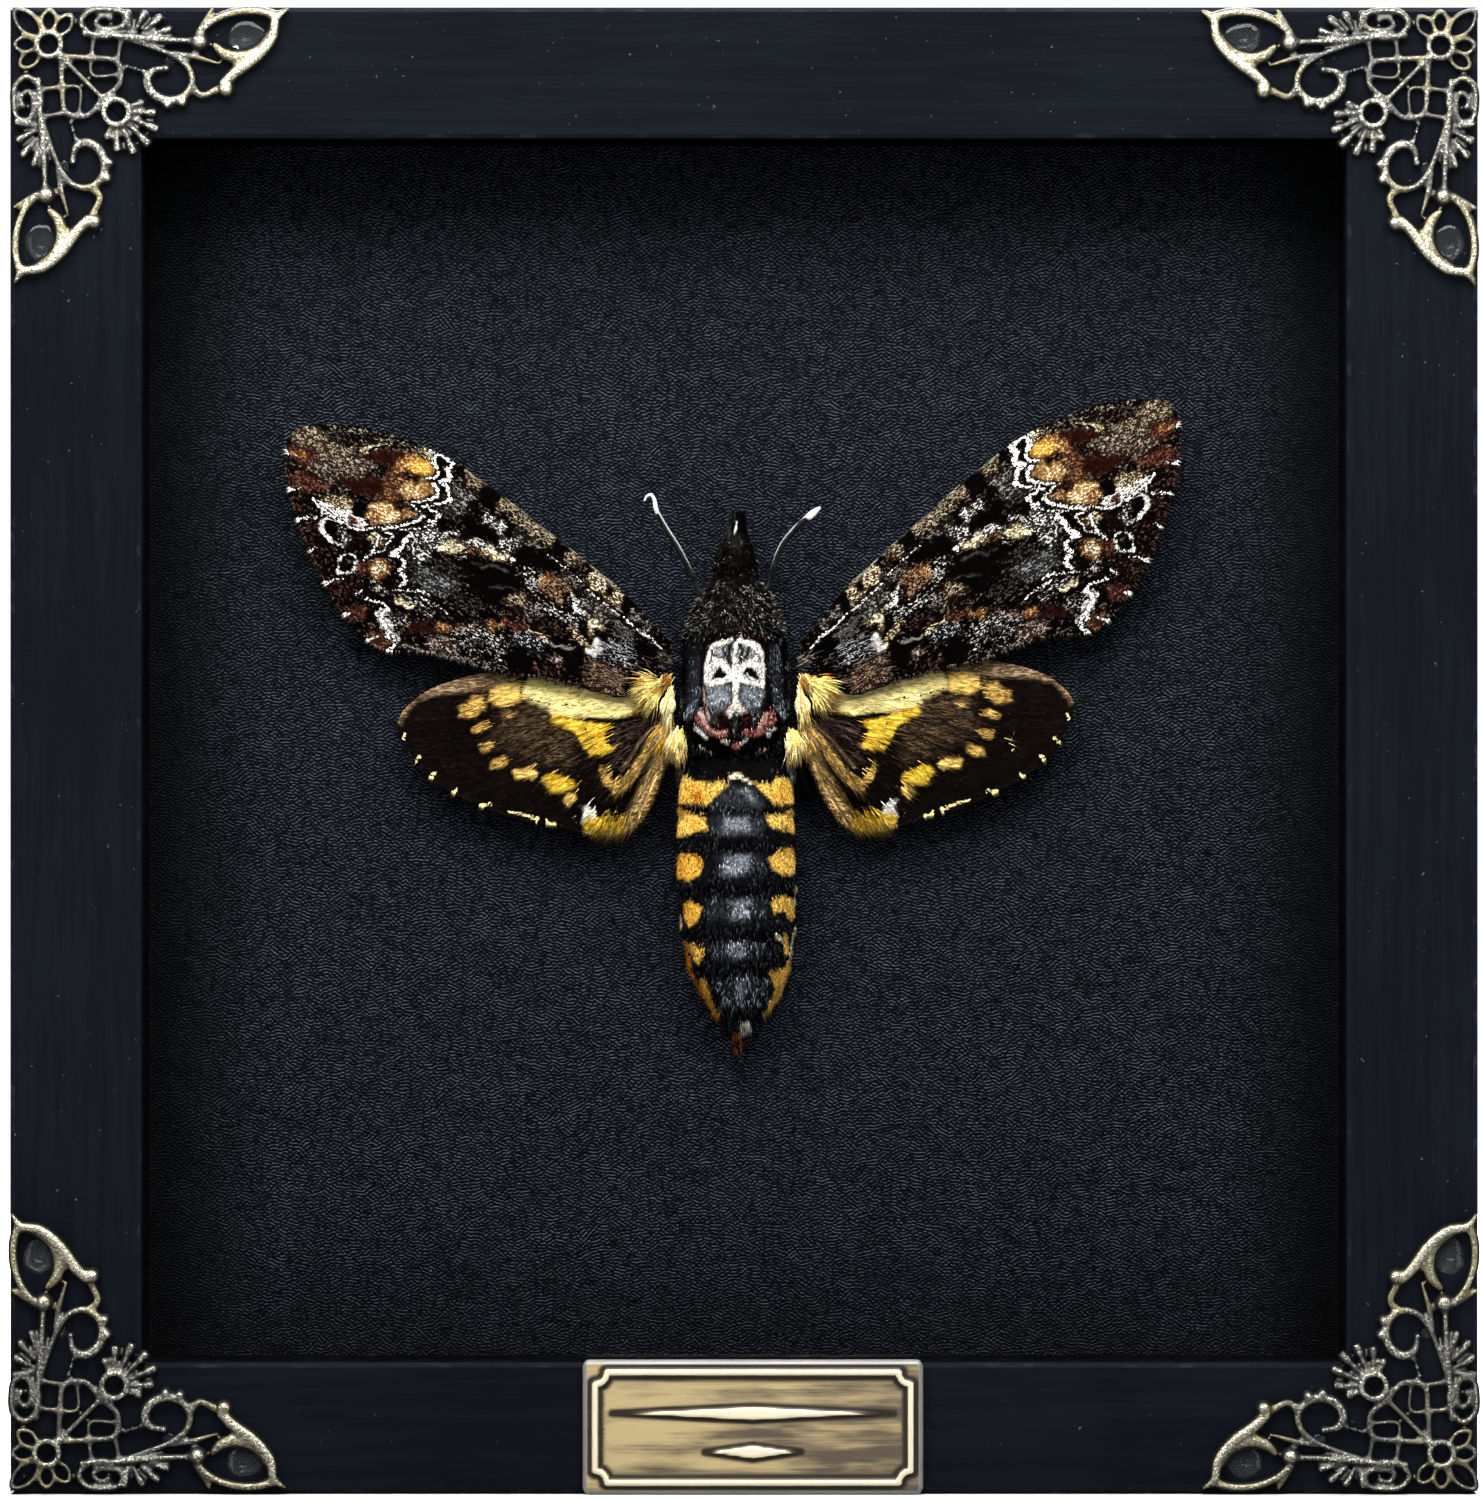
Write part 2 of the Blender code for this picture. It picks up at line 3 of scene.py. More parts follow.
import bpy
import bmesh
import numpy as np
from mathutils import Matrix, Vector


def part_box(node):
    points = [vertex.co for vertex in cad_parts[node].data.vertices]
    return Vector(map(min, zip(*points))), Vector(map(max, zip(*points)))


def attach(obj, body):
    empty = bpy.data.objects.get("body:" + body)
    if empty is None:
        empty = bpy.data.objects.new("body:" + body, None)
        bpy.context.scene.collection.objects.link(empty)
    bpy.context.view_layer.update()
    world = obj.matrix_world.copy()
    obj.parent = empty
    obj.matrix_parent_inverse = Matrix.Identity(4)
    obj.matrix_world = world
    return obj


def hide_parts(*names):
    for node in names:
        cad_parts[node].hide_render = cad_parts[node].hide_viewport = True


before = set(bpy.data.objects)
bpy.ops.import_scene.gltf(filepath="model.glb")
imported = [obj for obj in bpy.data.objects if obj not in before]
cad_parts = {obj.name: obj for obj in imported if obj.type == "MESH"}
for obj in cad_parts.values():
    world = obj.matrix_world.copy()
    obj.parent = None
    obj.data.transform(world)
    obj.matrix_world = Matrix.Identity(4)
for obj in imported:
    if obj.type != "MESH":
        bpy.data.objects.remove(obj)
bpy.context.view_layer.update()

mm = 0.001
gap = 0.3                      # left between pieces that touch


def nodeBox(name):
    # Lowest and highest corner of a solid, in millimetres.
    low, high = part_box(name)
    return [value / mm for value in low], [value / mm for value in high]


def addObject(name, data):
    added = bpy.data.objects.new(name, data)
    bpy.context.scene.collection.objects.link(added)
    return added


faceY = nodeBox("rail_bottom")[0][1]
frameHeight = nodeBox("rail_top")[1][2]
halfWidth = nodeBox("rail_right")[1][0]
coverY = nodeBox("leatherette_cover")[0][1]


# Camera, floor and lights
studio = {
    "cameraDistance": 1350,    # from the front of the frame
    "cameraX": -0.34,
    "cameraZ": 100.4,
    "fieldHeight": 202.35,     # what the picture's height spans at the front of the frame
    "floorSize": 1600,
    "floorColour": (0.83, 0.83, 0.83, 1),
    "floorShade": (0.7, 0.7, 0.7, 1),
    "worldColour": (1.0, 1.0, 1.0, 1),
    # place, aimed at, width, height, watts, colour
    "lights": {
        "keyLight": ((-30, -310, 450), (0, 0, 95), 620, 260, 5.2, (1.0, 0.985, 0.96)),
        "leftLight": ((-330, -520, 60), (-20, 0, 90), 160, 420, 0.35, (0.94, 0.97, 1.0)),
        "rightLight": ((330, -520, 60), (20, 0, 90), 160, 420, 0.35, (0.94, 0.97, 1.0)),
        "frontLight": ((0, -900, 150), (0, 0, 100), 500, 500, 2.0, (1.0, 0.99, 0.97)),
        "backLight": ((200, 700, 900), (0, 300, 0), 1400, 900, 60.0, (1.0, 1.0, 1.0)),
    },
}


def addCamera():
    data = bpy.data.cameras.new("camera")
    camera = addObject("camera", data)
    data.sensor_width = 36
    data.lens = data.sensor_width * studio["cameraDistance"] / studio["fieldHeight"]
    data.clip_end = 10
    data.dof.use_dof = False
    place = (studio["cameraX"], faceY - studio["cameraDistance"], studio["cameraZ"])
    camera.location = [value * mm for value in place]
    camera.rotation_euler = (radians(90), 0, 0)
    bpy.context.scene.camera = camera


def addLight(name, place, target, width, height, watts, colour):
    data = bpy.data.lights.new(name, "AREA")
    data.shape = "RECTANGLE"
    data.size = width * mm
    data.size_y = height * mm
    data.energy = watts
    data.color = colour
    light = addObject(name, data)
    light.visible_camera = False
    if name == "frontLight":             # so that the pane doesn't mirror it
        light.visible_glossy = False
        light.visible_transmission = False
    light.location = [value * mm for value in place]
    light.rotation_euler = (Vector(target) - Vector(place)).to_track_quat("-Z", "Y").to_euler()


def addWorld():
    # A white surround that only the camera sees, so that no haze of it lies on the glass.
    world = bpy.data.worlds.new("surround")
    bpy.context.scene.world = world
    world.use_nodes = True
    world.node_tree.nodes["Background"].inputs["Color"].default_value = studio["worldColour"]
    world.cycles_visibility.diffuse = False
    world.cycles_visibility.glossy = False
    world.cycles_visibility.transmission = False
    bpy.context.scene.view_settings.view_transform = "Standard"


# Materials
def mathOperator(operation, reflected=False):
    def apply(self, other):
        first, second = (other, self) if reflected else (self, other)
        return self.finish.node("Math", {"operation": operation}, {0: first, 1: second})
    return apply


class Wire:
    # One output socket of a finish. Python's operators on it add Math nodes.
    def __init__(self, finish, socket):
        self.finish = finish
        self.socket = socket

    __add__ = mathOperator("ADD")
    __radd__ = mathOperator("ADD", True)
    __sub__ = mathOperator("SUBTRACT")
    __rsub__ = mathOperator("SUBTRACT", True)
    __mul__ = mathOperator("MULTIPLY")
    __rmul__ = mathOperator("MULTIPLY", True)


class Finish:
    # A material built on one Principled shader.
    def __init__(self, name):
        self.material = bpy.data.materials.new(name)
        self.material.use_nodes = True
        self.tree = self.material.node_tree
        self.shader = self.tree.nodes["Principled BSDF"]

    def node(self, kind, settings={}, sockets={}, output=0):
        # Adds any node: its settings first, then the values or links of its sockets.
        made = self.tree.nodes.new("ShaderNode" + kind)
        for key, value in settings.items():
            setattr(made, key, value)
        self.plug(made, sockets)
        return Wire(self, made.outputs[output])

    def plug(self, node, sockets):
        for key, value in sockets.items():
            if isinstance(value, Wire):
                self.tree.links.new(value.socket, node.inputs[key])
            else:
                node.inputs[key].default_value = value

    def shade(self, sockets):
        self.plug(self.shader, sockets)
        return self.material

    def place(self, stretch=(1, 1, 1)):
        # Coordinates in millimetres, each axis multiplied by its stretch.
        metres = self.node("TexCoord", output="Object")
        scale = [value / mm for value in stretch]
        return self.node("VectorMath", {"operation": "MULTIPLY"}, {0: metres, 1: scale})

    def noise(self, place, scale, detail=2.0, roughness=0.5, distortion=0.0):
        return self.node("TexNoise", {}, {"Vector": place, "Scale": scale, "Detail": detail,
                                          "Roughness": roughness, "Distortion": distortion})

    def ramp(self, value, low, high, bottom=0.0, top=1.0):
        # Goes smoothly from bottom to top while the value goes from low to high.
        return self.node("MapRange", {"interpolation_type": "SMOOTHSTEP"}, {
            "Value": value, "From Min": low, "From Max": high, "To Min": bottom, "To Max": top})

    def mix(self, factor, first, second, blend="MIX"):
        settings = {"data_type": "RGBA", "blend_type": blend}
        return self.node("Mix", settings, {0: factor, 6: first, 7: second}, 2)

    def shaded(self, colour, share):
        # The colour multiplied by one number from the nodes.
        grey = self.node("CombineColor", {}, {"Red": share, "Green": share, "Blue": share})
        return self.mix(1.0, colour, grey, "MULTIPLY")

    def field(self, name, output="Fac"):
        return self.node("Attribute", {"attribute_name": name}, output=output)

    def axis(self, vector, letter):
        return self.node("SeparateXYZ", {}, {0: vector}, letter)

    def facing(self):
        # 1 where a face looks straight to the front or back, 0 on its steep sides.
        forward = self.axis(self.node("NewGeometry", output="Normal"), "Y")
        return forward * forward

    def bump(self, height, distance, strength=1.0):
        # Height from 0 to 1 stands for this distance in millimetres.
        return self.node("Bump", {}, {"Height": height, "Distance": distance * mm, "Strength": strength})


paintLook = {
    "dark": (0.0025, 0.0034, 0.0057, 1),
    "light": (0.0041, 0.0053, 0.0084, 1),
    # lighter colour of the bevels: a painted highlight with some wear
    "wearAndSheen": (0.016, 0.019, 0.025, 1),
    "speck": (0.07, 0.08, 0.09, 1),
}


def blackPaint(name, grainAlong):
    # Matt black over wood, with the grain running along the rail.
    look = paintLook
    finish = Finish(name)
    stretch = {"x": (0.05, 1, 1), "z": (1, 1, 0.05)}[grainAlong]
    grain = finish.noise(finish.place(stretch), 1.1, 5.0, 0.65)
    fine = finish.noise(finish.place(stretch), 4.0, 3.0, 0.6)
    cloud = finish.noise(finish.place(), 0.035, 3.0)
    colour = finish.mix(finish.ramp(grain * 0.6 + cloud * 0.4, 0.40, 0.62), look["dark"], look["light"])
    specks = finish.ramp(finish.noise(finish.place(), 1.6, 2.0, 0.5), 0.75, 0.77)
    colour = finish.mix(specks * 0.8, colour, look["speck"])
    # Painted highlight with some wear: the outer and inner bevels are lighter, more so in random patches.
    bevelPatches = finish.ramp(finish.noise(finish.place((0.4, 1, 0.4)), 0.8, 4.0), 0.56, 0.66)
    facing = finish.facing()
    bevel = finish.ramp(facing, 0.25, 0.45) * (1 - finish.ramp(facing, 0.6, 0.8))
    colour = finish.mix(bevel * (0.12 + 0.6 * bevelPatches), colour, look["wearAndSheen"])
    relief = finish.bump(grain * 0.7 + fine * 0.3, 0.12, 0.7)
    return finish.shade({"Base Color": colour, "Roughness": finish.ramp(grain, 0.3, 0.7, 0.62, 0.5),
                         "Normal": relief, "Specular IOR Level": 0.03})


leatherLook = {
    # Grooves, and ridges painted lighter as the painted highlight of the grain
    "groove": (0.0011, 0.0017, 0.0034, 1),
    "ridge": (0.0410, 0.0470, 0.0620, 1),
    "pitch": 0.45,             # from ridge to ridge
    "cells": 0.85,             # patches of one direction in a millimetre
    "levelness": 0.42,         # 0 to 1, how closely the ridges keep to one direction
    # Painted shadow of the rails, where it darkens towards them: from, to and the share of light left by
    # the rail.
    "sideShadow": (1.0, 19.0, 0.20),
    "bottomShadow": (-4, 24, 0.45),
}


def leatherette():
    # Fine pressed grain: short wavy ridges lying mostly level with a painted highlight, and painted shadow
    # darker towards the rails.
    look = leatherLook
    finish = Finish("leatheretteGrainAndShade")
    place = finish.place((0.85, 1, 1))
    flat = finish.node("CombineXYZ", {}, {"X": finish.axis(place, "X"), "Y": finish.axis(place, "Z")})
    folds = finish.node("TexGabor", {}, {
        "Vector": flat, "Scale": look["cells"], "Frequency": 1 / look["cells"] / look["pitch"],
        "Anisotropy": look["levelness"], "Orientation": pi / 2}, "Value")
    broken = finish.noise(place, 1.4, 2.0, 0.5)
    grain = finish.ramp(folds + (broken - 0.5) * 0.2, 0.50, 0.68)
    patchy = finish.noise(place, 0.35, 2.0)
    side = finish.node("Math", {"operation": "ABSOLUTE"}, {0: finish.axis(finish.place(), "X")})
    up = finish.axis(finish.place(), "Z")
    inner = nodeBox("rail_right")[0][0]
    bottom = nodeBox("rail_bottom")[1][2]
    # Painted shadow of the rails: darker near the sides and the bottom.
    sides = finish.ramp(inner - side, *look["sideShadow"], 1.0)
    below = finish.ramp(up - bottom, *look["bottomShadow"], 1.0)
    shade = sides * below * finish.ramp(patchy, 0.3, 0.7, 0.8, 1.15)
    # Painted highlight on the ridges, times the painted shadow of the rails and random patches.
    colour = finish.shaded(finish.mix(grain, look["groove"], look["ridge"]), shade)
    return finish.shade({"Base Color": colour, "Roughness": finish.ramp(shade, 0.1, 0.7, 0.75, 0.5),
                         "Normal": finish.bump(grain, 0.20, 1.0), "Specular IOR Level": 0.05})


glassLook = {"tint": (0.98, 0.99, 0.985, 1), "ior": 1.46, "smearRoughness": 0.02}


def clearGlass():
    look = glassLook
    finish = Finish("clearGlass")
    smear = finish.noise(finish.place((0.02, 0.02, 0.008)), 1.0, 3.0)
    return finish.shade({"Base Color": look["tint"], "Transmission Weight": 1.0, "IOR": look["ior"],
                         "Roughness": finish.ramp(smear, 0.4, 0.8, 0.0, look["smearRoughness"])})


cardLook = {"dark": (0.0015, 0.0015, 0.002, 1), "light": (0.0040, 0.0040, 0.005, 1)}


def blackCard():
    look = cardLook
    finish = Finish("blackCard")
    fibres = finish.noise(finish.place((1, 0.3, 1)), 1.8, 4.0, 0.7)
    colour = finish.mix(finish.ramp(fibres, 0.35, 0.7), look["dark"], look["light"])
    return finish.shade({"Base Color": colour, "Roughness": 0.85, "Specular IOR Level": 0.0,
                         "Normal": finish.bump(fibres, 0.08, 0.6)})


boardLook = {
    "dark": (0.060, 0.032, 0.016, 1),
    "light": (0.135, 0.078, 0.042, 1),
    "fleck": (0.030, 0.015, 0.008, 1),
}


def hardboard():
    look = boardLook
    finish = Finish("hardboardFibres")
    fibres = finish.noise(finish.place((1, 1, 0.6)), 0.9, 6.0, 0.75, 0.6)
    flecks = finish.ramp(finish.noise(finish.place(), 2.2, 2.0), 0.62, 0.72)
    colour = finish.mix(finish.ramp(fibres, 0.3, 0.7), look["dark"], look["light"])
    colour = finish.mix(flecks * 0.6, colour, look["fleck"])
    return finish.shade({"Base Color": colour, "Roughness": 0.78, "Normal": finish.bump(fibres, 0.15, 0.8)})


def dressNode(name, material):
    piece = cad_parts[name]
    piece.data.materials.clear()
    piece.data.materials.append(material)


def dressSolids():
    # The solids whose shape is right keep it and get their finish here.
    level = blackPaint("blackPaintLevel", "x")
    upright = blackPaint("blackPaintUpright", "z")
    card = blackCard()
    for side in ("bottom", "top", "left", "right"):
        dressNode("rail_" + side, level if side in ("bottom", "top") else upright)
        dressNode("spacer_" + side, card)
    dressNode("leatherette_cover", leatherette())
    dressNode("back_board", hardboard())
    dressNode("glass_pane", clearGlass())
    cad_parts["glass_pane"].visible_shadow = False    # lamps shine straight through the pane


# Meshes
def addMesh(name, points, faces, materials, nodes=(), fields={}, parts=None):
    # Writes millimetre points as one smooth object in metres, on the body "root". Parts gives
    # the number of each face's material, and fields are values or colours of the points.
    mesh = bpy.data.meshes.new(name)
    points = np.asarray(points, float)
    mesh.from_pydata((points * mm).tolist(), [], faces)
    for key, values in fields.items():
        kind = "FLOAT_COLOR" if np.ndim(values) == 2 else "FLOAT"
        layer = mesh.attributes.new(key, kind, "POINT")
        values = np.asarray(values, np.float32)
        if kind == "FLOAT_COLOR":
            values = np.hstack([values, np.ones((len(values), 1), np.float32)])
        layer.data.foreach_set("color" if kind == "FLOAT_COLOR" else "value", values.ravel())
    for material in materials:
        mesh.materials.append(material)
    if parts is not None:
        mesh.polygons.foreach_set("material_index", parts)
    mesh.shade_smooth()
    piece = addObject(name, mesh)
    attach(piece, "root")
    if nodes:
        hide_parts(*nodes)
    return piece


def ringFaces(rings, sides, closed=False):
    # Skins rings of equal point count, capping both ends unless the row closes.
    faces = []
    for i in range(rings if closed else rings - 1):
        near, far = i * sides, (i + 1) % rings * sides
        for j in range(sides):
            k = (j + 1) % sides
            faces.append((near + j, near + k, far + k, far + j))
    if not closed:
        faces.append(tuple(range(sides))[::-1])
        faces.append(tuple(range((rings - 1) * sides, rings * sides)))
    return faces


def sheetFaces(rows, columns, flip=False):
    # Faces of a thin closed sheet: a grid of top points, then the same grid underneath.
    count = rows * columns
    index = np.arange(count).reshape(rows, columns)
    quads = np.stack([index[:-1, :-1], index[1:, :-1], index[1:, 1:], index[:-1, 1:]], -1).reshape(-1, 4)
    edge = np.concatenate([index[0, :-1], index[:-1, -1], index[-1, :0:-1], index[:0:-1, 0]])
    after = np.roll(edge, -1)
    rim = np.stack([edge, after, after + count, edge + count], -1)
    faces = np.concatenate([quads, quads[:, ::-1] + count, rim])
    return (faces[:, ::-1] if flip else faces).tolist()


def smoothRow(places, values, wanted):
    # A smooth curve through given stations.
    places = np.asarray(places, float)
    values = np.asarray(values, float)
    slope = np.gradient(values, places)
    i = np.clip(np.searchsorted(places, wanted) - 1, 0, len(places) - 2)
    span = places[i + 1] - places[i]
    t = np.clip((wanted - places[i]) / span, 0, 1)
    a, b = values[i], values[i + 1]
    return ((1 + 2 * t) * (1 - t) ** 2 * a + t * (1 - t) ** 2 * span * slope[i]
            + t ** 2 * (3 - 2 * t) * b + t ** 2 * (t - 1) * span * slope[i + 1])


def smoothPath(points, step):
    # Points at even steps on a smooth curve through given ones; extra columns follow too.
    points = np.asarray(points, float)
    length = np.concatenate([[0], np.cumsum(np.hypot(*np.diff(points[:, :2], axis=0).T))])
    wanted = np.linspace(0, length[-1], max(3, int(length[-1] / step) + 1))
    return np.stack([smoothRow(length, column, wanted) for column in points.T], -1)


def ripple(x, y, seed=0):
    # Smooth random values from -1 to 1, one unit apart.
    table = np.random.default_rng(seed).uniform(-1, 1, (64, 64))
    i, j = np.floor(x).astype(int), np.floor(y).astype(int)
    s, t = x - i, y - j
    s, t = s * s * (3 - 2 * s), t * t * (3 - 2 * t)
    low = table[i % 64, j % 64] * (1 - s) + table[(i + 1) % 64, j % 64] * s
    high = table[i % 64, (j + 1) % 64] * (1 - s) + table[(i + 1) % 64, (j + 1) % 64] * s
    return low * (1 - t) + high * t


def lineDistance(x, y, points):
    # Distance from each (x, y) to a line through the points, and the place along it, 0 to 1.
    nearest = np.full(np.shape(x), 1e6)
    along = np.zeros(np.shape(x))
    for i, ((ax, ay), (bx, by)) in enumerate(zip(points, points[1:])):
        dx, dy = bx - ax, by - ay
        t = np.clip(((x - ax) * dx + (y - ay) * dy) / (dx * dx + dy * dy + 1e-9), 0, 1)
        distance = np.hypot(x - ax - t * dx, y - ay - t * dy)
        closer = distance < nearest
        nearest = np.where(closer, distance, nearest)
        along = np.where(closer, (i + t) / (len(points) - 1), along)
    return nearest, along


def patchDepth(x, y, outline):
    # How far inside a closed outline each (x, y) lies, negative outside it.
    edge, along = lineDistance(x, y, list(outline) + [outline[0]])
    inside = np.zeros(np.shape(x), bool)
    for (ax, ay), (bx, by) in zip(outline, list(outline[1:]) + [outline[0]]):
        inside ^= ((ay > y) != (by > y)) & (x < (bx - ax) * (y - ay) / (by - ay + 1e-12) + ax)
    return np.where(inside, edge, -edge)


def smoothStep(low, high, value):
    t = np.clip((value - low) / (high - low), 0, 1)
    return t * t * (3 - 2 * t)


def turn(degrees):
    return cos(radians(degrees)), sin(radians(degrees))


def roundAngles(count):
    return [2 * pi * k / count for k in range(count)]


def paintMarks(x, y, ground, marks, wobble=0.16):
    # Lays marks one over another, as a brush would, on values that start as the ground:
    # ("line", value, width, points), ("spot", value, centre, radii, degrees) or
    # ("patch", value, softness, outline); a line's width may taper from one number to another.
    x, y = (x + wobble * ripple(x * 1.3, y * 1.3, 1) + 0.5 * wobble * ripple(x * 3, y * 3, 2),
            y + wobble * ripple(x * 1.3, y * 1.3, 3) + 0.5 * wobble * ripple(x * 3, y * 3, 4))
    values = np.tile(np.asarray(ground, float), (len(x), 1))
    for form, value, *shape in marks:
        if form == "line":
            width, points = shape
            start, end = width if isinstance(width, tuple) else (width, width)
            distance, along = lineDistance(x, y, points)
            half = (start + (end - start) * along) / 2
            mask = smoothStep(0.12, -0.12, distance - half)
        elif form == "spot":
            (cx, cy), (rx, ry), degrees = shape
            c, s = turn(degrees)
            u = ((x - cx) * c + (y - cy) * s) / rx
            v = (-(x - cx) * s + (y - cy) * c) / ry
            mask = smoothStep(0.15, -0.15, (np.hypot(u, v) - 1) * min(rx, ry))
        else:
            softness, outline = shape
            mask = smoothStep(-softness, softness, patchDepth(x, y, outline))
        values += (np.asarray(value, float) - values) * mask[:, None]
    return values


print("studio and solids")
addCamera()
addWorld()
for name, values in studio["lights"].items():
    addLight(name, *values)
dressSolids()


# Floor
def addFloor():
    finish = Finish("paleFloor")
    grain = finish.noise(finish.place(), 0.02, 3.0)
    colour = finish.mix(grain * 0.06, studio["floorColour"], studio["floorShade"])
    material = finish.shade({"Base Color": colour, "Roughness": 0.9})
    half = studio["floorSize"] / 2
    mesh = bpy.data.meshes.new("floor")
    corners = [(-half, -half, 0), (half, -half, 0), (half, half, 0), (-half, half, 0)]
    mesh.from_pydata([[value * mm for value in corner] for corner in corners], [], [(0, 1, 2, 3)])
    mesh.materials.append(material)
    floor = addObject("floor", mesh)
    floor.visible_glossy = False          # keeps the floor's image off the glass
    floor.visible_transmission = False


addFloor()


# Corner castings. Each stroke runs on the flat of the corner: u in from the side edge and
# v in from the bottom or top edge. A point is (u, v, width, height).
casting = {
    "voxel": 0.27,             # of the remesh that melts the bars together
    "step": 0.35,              # along a bar
    "smoothing": 2,
    "swell": 1.2,              # bar widths against the ones below
    "sides": 12,               # of a ball or ring
    "ring": 1.6,               # from a flower's middle to where its petals or ribs start
    # the tallest metal also takes the most painted highlight
    "tallest": 1.35,           # metal this high is fully rubbed
}
cornerFlower = (5.3, 5.3)
fanFlower = (14.4, 14.4)


def even(points, width, height):
    # A stroke of one width and height.
    return [(u, v, width, height) for u, v in points]


# Half of the casting, on the upright arm; the other half is its mirror in the diagonal.
halfStrokes = [
    # net leaf: edge, bent rib and the two rungs to the stem
    even([(6.9, 6.9), (7.1, 11), (7.7, 14.5), (10.4, 14.9), (12.4, 12.8), (12.9, 12.2)], 0.9, 1),
    even([(7.1, 11), (9.2, 11), (9.4, 14.8)], 0.65, 0.85),
    even([(4.6, 15), (7.8, 14.5)], 0.75, 0.9),
    even([(4.4, 11.3), (7.2, 11)], 0.75, 0.9),
    # stem and its twin up to the ball, and the leaf beside it
    [(3.9, 9.6, 0.85, 1.1), (4.2, 15.6, 0.95, 1.15), (4.6, 19.9, 1, 1.15), (4.8, 25.2, 0.85, 1.1)],
    [(6.2, 21.6, 0.4, 0.9), (6.9, 24.8, 0.85, 1), (8, 28.6, 0.4, 0.9)],
    # scroll that curls back on itself, and its beaded link to the leaf
    [(4.3, 14.6, 0.6, 1), (5.5, 18.7, 0.75, 1), (6.9, 22.2, 0.85, 1.05), (8.4, 24.1, 1, 1.1),
        (10.6, 24.6, 1.1, 1.1), (12.3, 23.4, 1.2, 1.15), (12.8, 21.3, 1.35, 1.2),
        (11.9, 19.3, 1.45, 1.2), (10.2, 18.5, 1.4, 1.2), (8.9, 19.2, 1.2, 1.15), (8.5, 21, 0.75, 1)],
    # link from the scroll to the rim
    even([(10.6, 24.5), (12.1, 25.6), (11, 28.6)], 1.05, 1),
    # thick rim of the drop
    [(11, 28.4, 1.4, 1.4), (9.2, 30.3, 1.7, 1.45), (6.9, 33.4, 1.7, 1.5), (4.2, 35.5, 1.55, 1.45),
        (1.7, 36, 1.3, 1.4), (0.5, 37.7, 0.5, 1)],
    # drop: outer side, then the inner crescent
    [(1.4, 36, 1.25, 1.25), (0.8, 33.4, 1.2, 1.2), (1.1, 29.8, 1.15, 1.2), (2.2, 27.3, 1.1, 1.2),
        (3.9, 25.4, 1.1, 1.2)],
    [(1.6, 35.8, 0.8, 1.1), (3.8, 35.2, 1.3, 1.15), (6.3, 33.2, 1.6, 1.2), (7, 31, 1.7, 1.2),
        (6.5, 28.9, 1.55, 1.15), (5.1, 27.4, 0.8, 1)],
    [(0.4, 27.4, 0.6, 0.9), (3.9, 25.2, 0.95, 1.1)],
    # four fingers at the edge
    [(3.5, 16.2, 0.5, 0.9), (2.2, 16.1, 0.8, 1.1), (1.1, 15.8, 1.15, 1.2), (0.5, 15.7, 1.1, 1.1)],
    [(3.5, 17, 0.5, 0.9), (2.3, 17.5, 0.8, 1.1), (1.3, 18.1, 1.2, 1.2), (0.7, 18.4, 1.15, 1.1)],
    [(3.6, 17.9, 0.5, 0.9), (2.7, 19, 0.8, 1.1), (1.9, 20, 1.2, 1.2), (1.4, 20.6, 1.15, 1.1)],
    [(3.9, 18.8, 0.5, 0.9), (3.6, 20.1, 0.7, 1.1), (3.3, 21.3, 1.05, 1.2), (3.1, 22, 1, 1.1)],
    # spiral at the edge
    [(4.4, 13.6, 0.9, 1.1), (3.8, 10.8, 0.9, 1.1), (2.3, 9.6, 0.9, 1.1), (0.9, 10.6, 0.9, 1.1),
        (0.55, 12.9, 0.9, 1.1), (1.1, 15.2, 0.8, 1.1), (2.5, 15.5, 0.8, 1.05), (3.2, 13.4, 0.75, 1.05),
        (2.5, 11.5, 0.7, 1), (1.6, 12.2, 0.7, 1), (1.7, 13.8, 0.6, 0.95)],
]
# Balls: centre, radius and height.
halfBalls = [
    ((4.9, 25.6), 1.5, 1.7),
    ((11.4, 29.2), 1.35, 1.65),
    ((13.1, 23.3), 1.0, 1.45),
    ((13.5, 21.3), 0.9, 1.45),
    ((8.5, 21.1), 0.75, 1.2),
    ((1.8, 13.6), 0.6, 1.1),
]
beadedLink = ((7.9, 14.8), (9.2, 19.0), 5, 0.5)      # from, to, beads, radius
# Ribs: degrees off the diagonal and reach. Petals: degrees, reach and half width.
fanRibs = ((0, 6.4), (22, 6.3), (44, 5.5), (66, 4.1))
cornerPetals = ((225, 6.6, 1.25), (180, 4.7, 1.0), (270, 4.7, 1.0), (143, 4.9, 1.0), (307, 4.9, 1.0))


# Section of a bar, in shares of its half width and height: full, with steep flanks.
flank = [(1, 0), (0.97, 0.4), (0.78, 0.76), (0.42, 0.95)]
barSection = flank + [(0, 1)] + [(-aside, rise) for aside, rise in flank[::-1]]


def strokeBody(points, closed=False):
    # A rounded bar on the plane Z = 0: its rings and faces.
    path = smoothPath(points + [points[0]] if closed else points, casting["step"])
    if closed:
        path = path[:-1]
    count = len(path)
    rings = []
    for i, (u, v, width, height) in enumerate(path):
        before = path[i - 1] if (i or closed) else path[i]
        after = path[(i + 1) % count] if (i < count - 1 or closed) else path[i]
        du, dv = after[0] - before[0], after[1] - before[1]
        reach = max((du * du + dv * dv) ** 0.5, 1e-6)
        end = 1.0 if closed else min(1.0, 0.62 + 0.38 * min(i, count - 1 - i))
        for aside, rise in barSection:
            side = casting["swell"] * width / 2 * end * aside
            rings.append((u - dv / reach * side, v + du / reach * side, height * (0.7 + 0.3 * end) * rise))
    return rings, ringFaces(count, len(barSection), closed)


